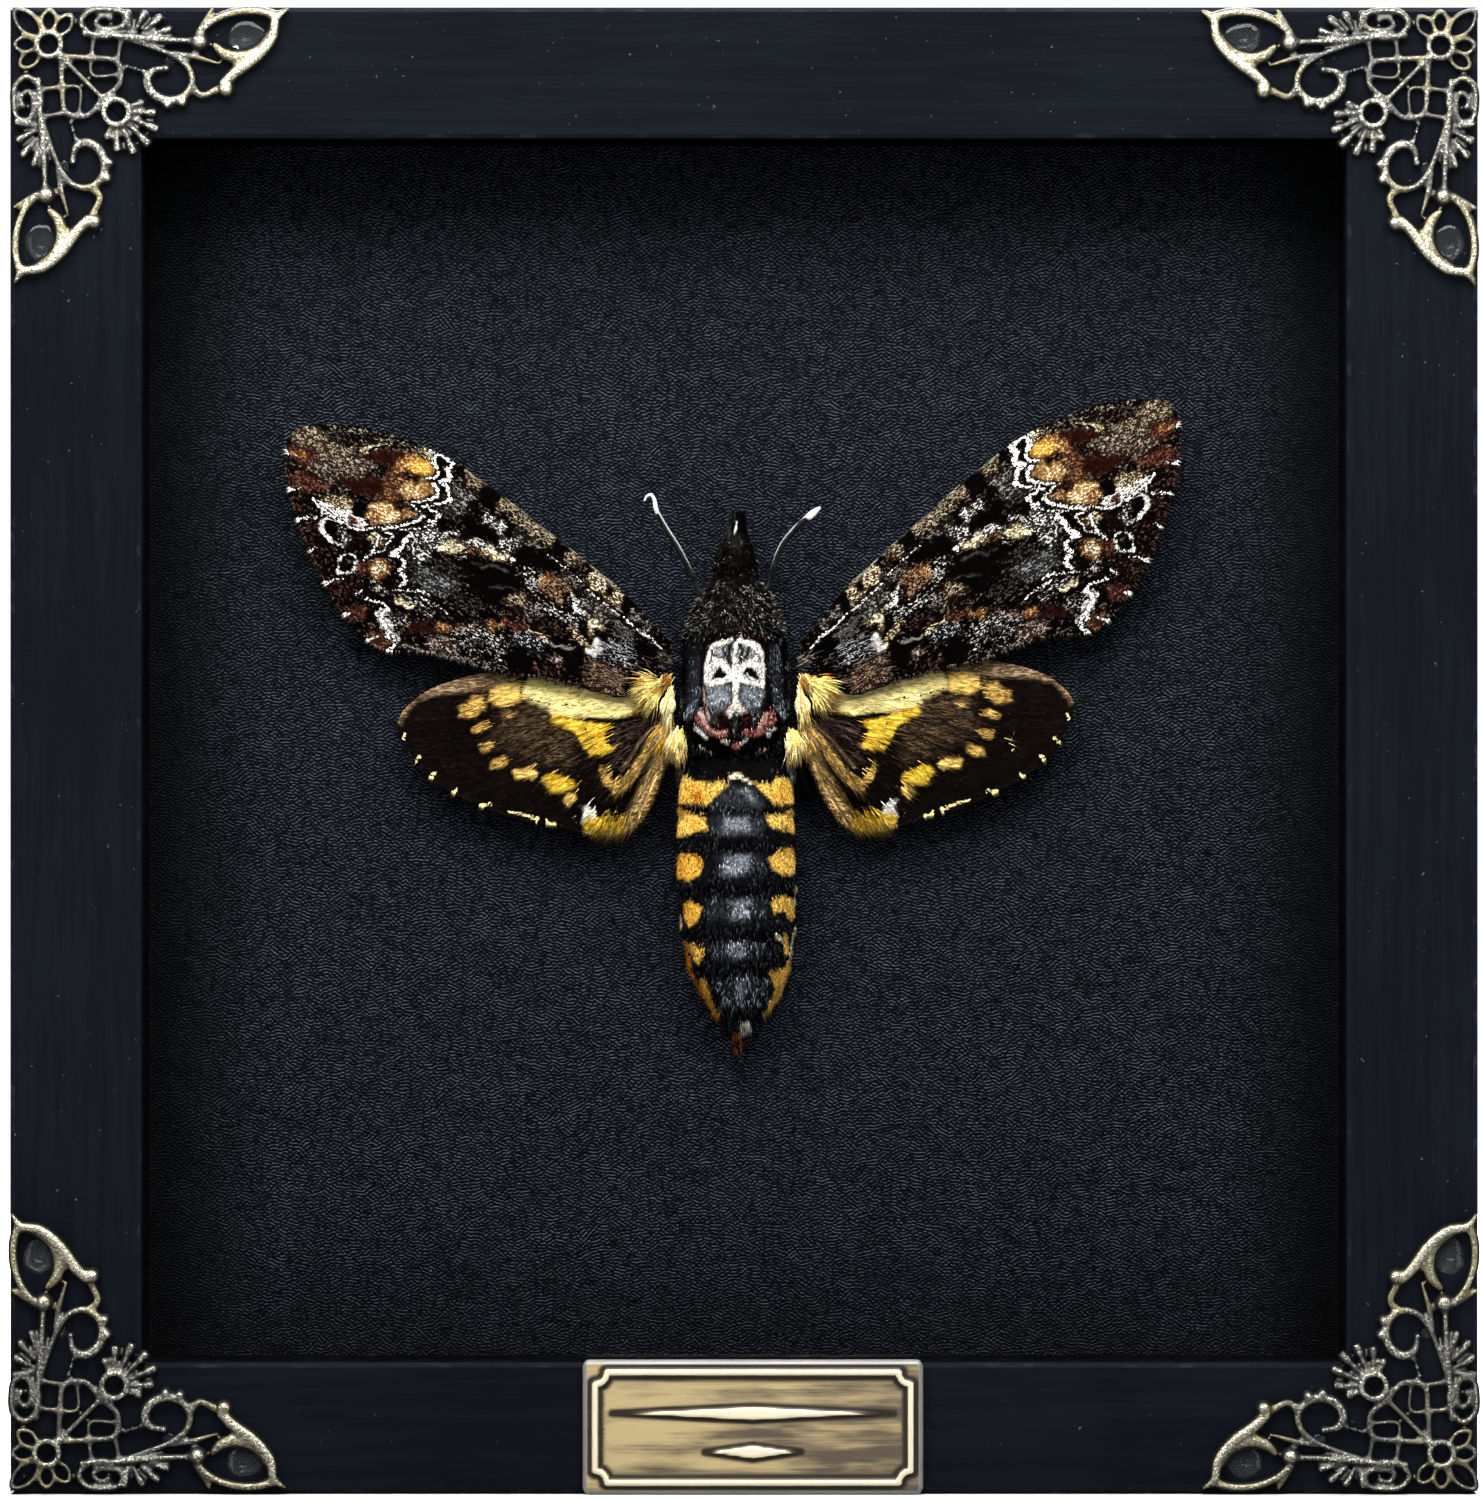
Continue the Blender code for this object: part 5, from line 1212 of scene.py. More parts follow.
hindMarks = [
    ("patch", hay, 0.6, [(19.5, -7), (25, -7.4), (32, -6.6), (36.6, -4.4), (38.2, -1), (37.4, -1),
        (35.4, -3.6), (32, -4.4), (28, -4.3), (24, -4.4), (20.5, -4.7)]),
    ("patch", faded, 1.6, [(16, -1.5), (23, -1.5), (25, 3), (20, 6), (15, 7.5), (14, 3)]),
    ("patch", smoky, 0.8, [(1, 1.8), (8.6, 2.2), (9.4, 5), (9.6, 8.4), (7.4, 8.4), (3.4, 4.4)]),
    # hair of the inner edge
    ("patch", chaff, 0.6, [(-0.5, 3), (1.2, 6.5), (3.3, 11), (5.2, 14.5), (7.4, 17.2), (9, 16.2),
        (7.2, 13.4), (4.6, 9.6), (2.6, 6), (1, 3.2)]),
    # leading band
    ("patch", amber, 0.5, [(2, -0.6), (8, -1.4), (9, 1.6), (4, 1.6)]),
    ("patch", lemon, 0.35, [(5.4, -0.4), (8.5, -2.4), (12, -3.8), (16, -4.9), (19, -5.4), (20.2, -3.6),
        (20.3, -2.5), (19, -1.8), (17.2, -0.8), (16.2, 0.5), (14.5, 0.8), (11.5, 1.3), (8, 1.7),
        (5.6, 1.2)]),
    ("patch", maize, 0.3, [(20.4, -4.6), (22, -4.7), (24.5, -4.2), (25.1, -2.5), (23.5, -1.7),
        (21.5, -1.9), (20.5, -2.5)]),
    ("patch", amber, 0.35, [(25.6, -3.6), (27, -3.4), (29.2, -2.4), (29.2, -0.9), (27, -0.7),
        (25.6, -1.6)]),
    # spots between the veins
    ("patch", honey, 0.22, [(9.3, 2.5), (12, 1.9), (14.3, 0.9), (16.3, 0.2), (16.9, 0.9), (15.5, 1.9),
        (13.9, 2.9), (13.3, 4.5), (12.1, 6.4), (10.3, 6.6), (9, 5.9), (9.8, 4.8), (9.5, 3.5)]),
    ("spot", amber, (26.5, 0.9), (1.25, 0.62), 12),
    ("spot", amber, (26, 3.5), (1.1, 0.68), 20),
    ("spot", amber, (24.6, 5.9), (1.35, 0.8), 28),
    ("patch", maize, 0.25, [(19.3, 8), (21, 7), (22.9, 7.2), (22.6, 8.3), (20.5, 8.7)]),
    ("patch", honey, 0.25, [(14.8, 9.8), (16.5, 8.5), (18.5, 8.2), (19.1, 9.3), (18, 10.8), (16.3, 11),
        (15, 10.6)]),
    ("patch", maize, 0.25, [(14.8, 11.4), (16, 11), (16.8, 12), (15.9, 13.1), (14.9, 12.4)]),
    ("spot", dull, (22.4, -0.3), (1.1, 0.5), 10),
    ("spot", faded, (22, 2.3), (1.3, 0.8), 20),
    ("spot", faded, (20.5, 4.3), (1.3, 0.9), 28),
    ("spot", faded, (17.2, 6), (1.5, 0.8), 30),
    # V by the inner edge
    ("line", gilded, (1.1, 1.8), [(0.4, 2.4), (3, 5), (5, 7.6), (7, 10), (9, 11.5)]),
    ("line", hay, (0.2, 0.5), [(2.6, 3.2), (4.4, 4.8), (6.4, 6.8), (8, 8.8)]),
    ("line", smoky, (0.3, 0.2), [(2.2, 5.4), (4.4, 8.6), (6.6, 11.8)]),
    ("line", amber, (1.5, 0.8), [(9, 11.5), (10.5, 10), (10.9, 8.4)]),
    ("patch", honey, 0.3, [(7.8, 17.2), (8.8, 15.5), (10.5, 15), (13, 14.8), (14.3, 15.3), (14.2, 16.6),
        (12, 17.4), (9.5, 17.9)]),
    ("patch", chalk, 0.15, [(12.2, 14.6), (13.4, 13), (14.3, 13.1), (14, 14.5), (14.5, 15.3), (13, 15.1)]),
    ("line", hay, 0.4, [(7.6, 17.4), (9.6, 17.8), (12.4, 17.3), (14.4, 16.7)]),
]
hindWhiteLines = [
    (0.55, [(36.9, 0.4), (37.2, 1)]),
    (0.62, [(35.2, 3.6), (35.9, 4.3)]),
    (0.62, [(33.5, 6.3), (34.2, 6.8)]),
    (0.55, [(30.8, 8.9), (31.5, 9.3)]),
    (0.62, [(26.5, 11.4), (28, 11.4)]),
    ((0.45, 0.6), [(24.1, 12.7), (22, 13.4), (20.4, 14.1)]),
    (0.4, [(19.4, 14.5), (18, 15.1)]),
    (0.12, [(14.9, 14.3), (15.4, 14.6)]),
    (0.12, [(15.1, 15.1), (15.5, 15.3)]),
]
hindBlackLines = [
    (0.25, [(4, 2.2), (8, 2.1), (12, 1.5), (15, 0.9)]),
    (0.16, [(12, -0.4), (17, -1.4), (20.6, -2.6)]),
    (0.18, [(20.3, -5.2), (20.5, -2)]),
    (0.15, [(12.6, 1.6), (12, 4), (11, 6.6)]),
]
# Only the right hindwing has this pale crack.
rightHindLines = [(0.1, [(29.7, 3.3), (29.2, 4.5), (30, 5), (29.5, 6)])]


def wingSurface(name, x, y, sink=0.0):
    # Points of a wing's top, sunk by some depth, from its own coordinates.
    side, rootAcross, rootUp, degrees, size = wings[name]
    rise, fall, sag = wingForms[name[:4]]
    c, s = turn(degrees)
    height = rise - fall * x - sag * (y - 4.5) ** 2 - sink
    return mothPoints(side * (rootAcross + size * (x * c + y * s)), rootUp + size * (x * s - y * c), height)


def lineField(x, y, lines, share=1.0, wobble=0.12):
    # Signed distance to the nearest line's edge, below zero on the line.
    x, y = (x + wobble * (ripple(x * 2.1, y * 2.1, 5) + 1.2 * ripple(x * 4.3, y * 4.3, 7)),
            y + wobble * (ripple(x * 2.1, y * 2.1, 6) + 1.2 * ripple(x * 4.3, y * 4.3, 8)))
    nearest = np.full(len(x), 1.0)
    for width, points in lines:
        start, end = width if isinstance(width, tuple) else (width, width)
        distance, along = lineDistance(x, y, points)
        nearest = np.minimum(nearest, distance - (start + (end - start) * along) / 2 * share)
    return nearest


def wingPaint(name, x, y):
    # Tones and sharp lines at places on a wing.
    if name.startswith("fore"):
        marks = foreMarks + (leftForeMarks if name.endswith("left") else [])
        return paintMarks(x, y, foreGround, marks, 0.42), foreWhiteLines, foreBlackLines
    extra = rightHindLines if name.endswith("right") else []
    return paintMarks(x, y, hindGround, hindMarks, 0.2), hindWhiteLines + extra, hindBlackLines


def wingEdges(kind, x):
    stations = np.array(foreStations if kind == "fore" else hindStations)
    return smoothRow(stations[:, 0], stations[:, 1], x), smoothRow(stations[:, 0], stations[:, 2], x)


def scaleFinish(name, stretch, thinned, lineTint):
    # Clumps of scales in the wing's own plane: each takes the light or the dark colour there,
    # by the cover. Sharp lines lie over them.
    finish = Finish(name)
    flat = finish.field("flat", "Vector")
    place = finish.node("VectorMath", {"operation": "MULTIPLY"}, {0: flat, 1: stretch})
    cells = finish.node("TexVoronoi", {}, {"Vector": place, "Scale": 1 / wingLook["scale"]}, "Color")
    single = finish.node("SeparateColor", {}, {"Color": cells}, "Red")
    lightness = finish.node("SeparateColor", {}, {"Color": cells}, "Green")
    maze = finish.noise(place, 0.95 / wingLook["scale"], 1.0, 0.5, 0.7)
    drawn = finish.ramp(maze, 0.32, 0.68) * 0.66 + single * 0.34
    cluster = (finish.noise(place, 1.0, 2.0) - 0.5) * 0.8
    dots = finish.ramp(finish.field("cover") * thinned + cluster - drawn, -0.05, 0.05)
    inked = finish.ramp(lightness, 0.0, 1.0, 0.06, 0.66)
    light = finish.mix(inked, finish.field("light", "Color"), (*ink, 1))
    colour = finish.mix(dots, finish.field("dark", "Color"), light)
    fine = finish.noise(flat, 3.0, 2.0)
    ragged = (fine - 0.5) * 0.7 + finish.ramp(drawn, 0.55, 0.8, 0.0, 0.34)
    white = finish.mix(finish.ramp(lightness, 0.0, 1.0, 0.0, 0.3), lineTint, wingLook["lineShade"])
    whiteLine = finish.field("whiteLine") + ragged
    colour = finish.mix(finish.ramp(whiteLine, 0.12, 0.32, 0.85, 0.0), colour, (*ink, 1))
    colour = finish.mix(finish.ramp(whiteLine, -0.04, 0.05, 1.0, 0.0), colour, white)
    blackLine = finish.field("blackLine") + (fine - 0.5) * 0.3
    colour = finish.mix(finish.ramp(blackLine, -0.05, 0.05, 1.0, 0.0), colour, (*ink, 1))
    return finish.shade({"Base Color": colour, "Roughness": finish.ramp(lightness, 0.0, 1.0, 0.66, 0.85),
                         "Specular IOR Level": 0.0,
                         "Normal": finish.bump(maze * 0.7 + fine * 0.3, 0.12, 0.8)})


def coatFinish(name, roughness, low, high):
    # Hair that carries its own colour from root to tip, varied between two shares of it.
    finish = Finish(name)
    coat = finish.field("coat", "Color")
    fine = finish.noise(finish.place(), 3.2, 2.0, 0.6)
    glints = finish.ramp(finish.noise(finish.place((1, 1, 0.7)), 4.6), 0.60, 0.70, 1.0, high)
    vary = finish.ramp(fine, 0.36, 0.62, low, high) * glints
    return finish.shade({"Base Color": finish.shaded(coat, vary), "Roughness": roughness,
                         "Specular IOR Level": 0.02})


def hairs(roots, directions, lengths, widths, bend=None):
    # Closed three-sided needles, straight or bent once: their points and faces. Root first.
    count = len(roots)
    directions = directions / np.linalg.norm(directions, axis=1)[:, None]
    helper = np.where(np.abs(directions[:, 1:2]) < 0.9, [[0.0, 1.0, 0.0]], [[1.0, 0.0, 0.0]])
    first = np.cross(directions, helper)
    first /= np.linalg.norm(first, axis=1)[:, None]
    second = np.cross(directions, first)
    rings = []
    levels = [(0.0, 1.0)] if bend is None else [(0.0, 0.8), (0.5, 1.0)]
    for along, wide in levels:
        middle = roots + directions * (lengths * along)[:, None]
        if bend is not None:
            middle = middle - bend * along ** 2
        for angle in roundAngles(3):
            aside = first * cos(angle) + second * sin(angle)
            rings.append(middle + aside * (widths * wide / 2)[:, None])
    tips = roots + directions * lengths[:, None]
    if bend is not None:
        tips = tips - bend
    points = np.stack(rings + [tips], 1)
    each = points.shape[1]
    base = np.arange(count)[:, None] * each
    last = each - 1
    triangles = [(0, 2, 1)] + [(each - 4 + k, each - 4 + (k + 1) % 3, last) for k in range(3)]
    faces = np.concatenate([base + np.array([t]) for t in triangles]).tolist()
    if bend is not None:
        quads = [(k, (k + 1) % 3, 3 + (k + 1) % 3, 3 + k) for k in range(3)]
        faces += np.concatenate([base + np.array([q]) for q in quads]).tolist()
    along = np.array([level[0] for level in levels for k in range(3)] + [1.0])
    return points.reshape(-1, 3), faces, np.tile(along, count)


def drawColours(name, x, y, rng):
    # One colour for each hair at a place on a wing: white on a white line and black on a
    # black one, else light or dark by the cover.
    tones, whiteLines, blackLines = wingPaint(name, x, y)
    white = wingLook["lineTint"][name[:4]][:3]
    colours = np.where((rng.random(len(x)) < tones[:, 3])[:, None], tones[:, :3], tones[:, 4:])
    colours = np.where((lineField(x, y, whiteLines) < 0)[:, None], [white], colours)
    return np.where((lineField(x, y, blackLines) < 0)[:, None], [ink], colours)


brightest = 0.94               # that a surface can be


def withinReach(colours):
    # Dims colours that are too bright for a surface, keeping their hue.
    return colours * np.minimum(1, brightest / np.maximum(colours.max(1), 1e-6))[:, None]


def joined(parts):
    # Joins (points, faces, fields) of one piece, with zeros for fields that a part lacks, and
    # gives the number of each face's part too.
    points, faces, numbers = [], [], []
    start = 0
    for number, (part, skin, fields) in enumerate(parts):
        faces += [[start + k for k in face] for face in skin]
        numbers += [number] * len(skin)
        points.append(part)
        start += len(part)
    names = {key: np.ndim(values) for part, skin, fields in parts for key, values in fields.items()}
    merged = {}
    for key, dimensions in names.items():
        columns = []
        for part, skin, fields in parts:
            blank = np.zeros((len(part), 3)) if dimensions == 2 else np.zeros(len(part))
            columns.append(fields.get(key, blank))
        merged[key] = np.concatenate(columns)
    return np.concatenate(points), faces, merged, numbers


def wingSheet(name):
    # The wing's blade: a fine grid over its outline, with veins, thin at the edges.
    kind = name[:4]
    step = wingLook["grid"] * 1
    stations = foreStations if kind == "fore" else hindStations
    xs = np.arange(stations[0][0], stations[-1][0] + step / 2, step)
    front, back = wingEdges(kind, xs)
    # The hind margin is scalloped between the veins.
    back = back + 0.16 * np.sin(xs * 1.35) * smoothStep(6, 14, xs) + 0.10 * ripple(xs * 1.6, xs * 0, 11)
    rows = int(np.max(back - front) / step) + 1
    t = np.linspace(0, 1, rows)[None, :]
    x = np.repeat(xs[:, None], rows, 1)
    y = front[:, None] + (back - front)[:, None] * t
    x, y = x.ravel(), y.ravel()
    edge = np.minimum(np.minimum(y - np.repeat(front, rows), np.repeat(back, rows) - y), xs[-1] - x)
    vein = np.full(len(x), 1e6)
    for line in wingVeins[kind]:
        vein = np.minimum(vein, lineDistance(x, y, line)[0])
    relief = wingLook["veinHeight"] * np.exp(-(vein / 0.28) ** 2) + 0.10 * ripple(x * 0.3, y * 0.5, 21)
    relief += 0.05 * ripple(x * 1.1, y * 1.4, 22) - 0.12
    thick = wingLook["thickness"] * (0.35 + 0.65 * smoothStep(0.0, 1.2, edge))
    top = wingSurface(name, x, y, -relief)
    under = wingSurface(name, x, y, thick - relief)
    tones, whiteLines, blackLines = wingPaint(name, x, y)
    fields = {
        "flat": np.stack([x, y, 0 * x], -1),
        "light": tones[:, :3],
        "cover": tones[:, 3],
        "dark": tones[:, 4:],
        "whiteLine": lineField(x, y, whiteLines, wingLook["lineShare"][name]),
        "blackLine": lineField(x, y, blackLines),
    }
    fields = {key: np.concatenate([values, values]) for key, values in fields.items()}
    faces = sheetFaces(len(xs), rows, flip=wings[name][0] > 0)
    return np.concatenate([top, under]), faces, fields


def wingHair(name, count, area, width, length, fan, seed, lift=0.07):
    # Hair lying on a wing inside an outline, combed along the fan: degrees at its least and
    # greatest y.
    rng = np.random.default_rng(seed)
    outline = np.array(area, float)
    low, high = outline.min(0), outline.max(0)
    spots = rng.uniform(low, high, (count * 3, 2))
    spots = spots[patchDepth(spots[:, 0], spots[:, 1], area) > 0][:count]
    x, y = spots.T
    reach = rng.uniform(0.6, 1.15, len(x)) * length
    angle = np.radians(np.interp(y, [low[1], high[1]], fan) + rng.normal(0, 7, len(x)))
    endX, endY = x + reach * np.cos(angle), y + reach * np.sin(angle)
    roots = wingSurface(name, x, y, 0.12)
    tips = wingSurface(name, endX, endY, -lift)
    colours = drawColours(name, (x + endX) / 2, (y + endY) / 2, rng)
    colours = colours * rng.uniform(0.75, 1.15, (len(x), 1))
    directions = tips - roots
    lengths = np.linalg.norm(directions, axis=1)
    points, faces, along = hairs(roots, directions, lengths, rng.uniform(0.7, 1.3, len(x)) * width)
    coat = np.repeat(colours, 4, 0) * (wingLook["hairGain"][name[:4]] + 0.3 * along)[:, None]
    return points, faces, {"coat": withinReach(coat)}


def fringe(name, seed):
    # Short scales standing out from the hind margin.
    kind = name[:4]
    rng = np.random.default_rng(seed)
    x = np.sort(rng.uniform(*wingLook["fringe"][kind]))
    front, back = wingEdges(kind, x)
    slope = np.gradient(back, x + np.arange(len(x)) * 1e-6)
    angle = np.arctan2(1, -np.clip(slope, -8, 8)) + rng.normal(0, 0.12, len(x))
    reach = rng.uniform(0.35, 0.8, len(x))
    roots = wingSurface(name, x, back - 0.25, 0.1)
    tips = wingSurface(name, x + reach * np.cos(angle), back - 0.1 + reach * np.sin(angle), 0.12)
    colours = drawColours(name, x, back - 0.2, rng)
    directions = tips - roots
    lengths = np.linalg.norm(directions, axis=1)
    points, faces, along = hairs(roots, directions, lengths, np.full(len(x), 0.16))
    return points, faces, {"coat": np.repeat(colours, 4, 0)}


# Where hair lies on each wing: how many, outline, width, length and its fan of degrees.
wingCoats = {
    "fore": [
        (700, [(0.5, 0.5), (9, -1.5), (10, 9.5), (2.5, 8)], 0.13, 1.3, (0, 20)),
    ],
    "hind": [
        (1000, [(0.6, -1.6), (12, -4.5), (20, -4.6), (20, 10), (12, 16), (7, 16), (2, 8)],
            0.14, 2.8, (-6, 52)),
        (900, [(18, -5), (34, -4.6), (34, 4), (26, 10), (16, 14)], 0.12, 1.8, (2, 34)),
        (1500, [(0.4, 0), (3, 1), (9, 12), (13, 16.4), (7, 16.6), (2, 8)], 0.15, 3.4, (44, 56)),
    ],
}


def addWings():
    tints = wingLook["lineTint"]
    blades = {
        "fore": scaleFinish("foreScales", (0.6, 1.0, 1.0), 0.76, tints["fore"]),
        "hind": scaleFinish("hindScales", (0.25, 1.0, 1.0), 1.0, tints["hind"]),
    }
    hair = coatFinish("wingHair", 0.7, 0.7, 1.15)
    for number, name in enumerate(wings):
        kind = name[:4]
        parts = [wingSheet(name), fringe(name, 50 + number)]
        for k, (count, area, width, length, fan) in enumerate(wingCoats[kind]):
            parts.append(wingHair(name, count, area, width, length, fan, 60 + 4 * number + k))
        points, faces, fields, numbers = joined(parts)
        title = {"fore": "foreWing", "hind": "hindWing"}[kind] + "_" + name.split("_")[1]
        addMesh(title, points, faces, [blades[kind], hair], [name], fields,
                [min(k, 1) for k in numbers])


print("wings")
addWings()


# Body. Up the body, middle, half width, underside and top of each section.
bodySections = [
    (26.1, 0.45, 0.5, 5.4, 6.3), (25.5, 0.4, 1.05, 5, 6.7), (23.4, 0.35, 1.25, 4.4, 7),
    (22.6, 0.3, 1.4, 4.1, 7.2), (21.4, 0.2, 1.9, 3.6, 7.9), (20, 0.1, 2.6, 2.8, 8.7),
    (18.2, 0, 3.05, 1.8, 9.7), (16.4, 0, 3, 1.4, 9.2), (15, 0.1, 4.4, 1, 10.1),
    (12.4, 0, 5.9, 0.5, 11.5), (9.1, -0.1, 6.9, 0.3, 12.4), (6, 0, 7.1, 0.3, 13), (0, 0, 7.5, 0.3, 13.2),
    (-4.2, 0, 7.3, 0.3, 12.6), (-6.6, 0, 6.7, 0.3, 11.5), (-8, 0, 6.3, 0.3, 10.4),
    (-10.6, 0.1, 7.5, 0.3, 11.2), (-14.8, 0.1, 7.9, 0.3, 11.7), (-15.2, 0.1, 7.6, 0.3, 11.3),
    (-19.7, 0.1, 8.2, 0.3, 11.8), (-20.1, 0.1, 7.8, 0.3, 11.4), (-25.6, 0.2, 8.2, 0.3, 11.5),
    (-26, 0.2, 7.8, 0.3, 11.1), (-31.4, 0.4, 7.8, 0.3, 10.6), (-31.8, 0.4, 7.4, 0.3, 10.2),
    (-36.6, 0.5, 6.9, 0.4, 9.2), (-37, 0.6, 6.6, 0.4, 8.9), (-40, 0.8, 5.3, 0.7, 7.8),
    (-42.9, 0.9, 3.2, 1.3, 6.4), (-44.4, 0.8, 1.5, 2, 5.3), (-46, 0.5, 0.7, 2.6, 4.4),
    (-48.2, 0.3, 0.35, 2.9, 3.7),
]
bodyLook = {
    "grid": 0.38,              # between the rings of the skin, finer on the thorax
    "frontSides": 100,         # points round the half that faces the viewer
    "backSides": 30,
    "thoraxHairs": 7500,
    "abdomenHairs": 14000,
    "headHairs": 5500,
    "paddedTufts": 3,          # of the first tufts that have a dense heart
}
coal = (0.0125, 0.0130, 0.0160)
pitch = (0.0020, 0.0018, 0.0020)
slate = (0.058, 0.064, 0.082)
steel = (0.082, 0.091, 0.112)
pale = (0.24, 0.26, 0.30)
bone = (0.74, 0.72, 0.66)
ash = (0.115, 0.117, 0.118)
smut = (0.022, 0.022, 0.023)
umber = (0.0080, 0.0058, 0.0045)
bistre = (0.0135, 0.0120, 0.0110)
garnet = (0.014, 0.0035, 0.0025)
sand = (0.26, 0.21, 0.15)
flint = (0.34, 0.32, 0.30)
citron = (0.90, 0.74, 0.24)
custard = (0.86, 0.78, 0.46)
rust = (0.36, 0.15, 0.035)
straw = (0.84, 0.52, 0.11)
corn = (0.76, 0.40, 0.055)
tangerine = (0.42, 0.15, 0.010)
ivory = (0.85, 0.74, 0.48)
gilt = (0.82, 0.49, 0.065)
flax = (0.86, 0.70, 0.30)
rose = (0.30, 0.110, 0.100)
blush = (0.62, 0.40, 0.36)
oxblood = (0.030, 0.0075, 0.0055)

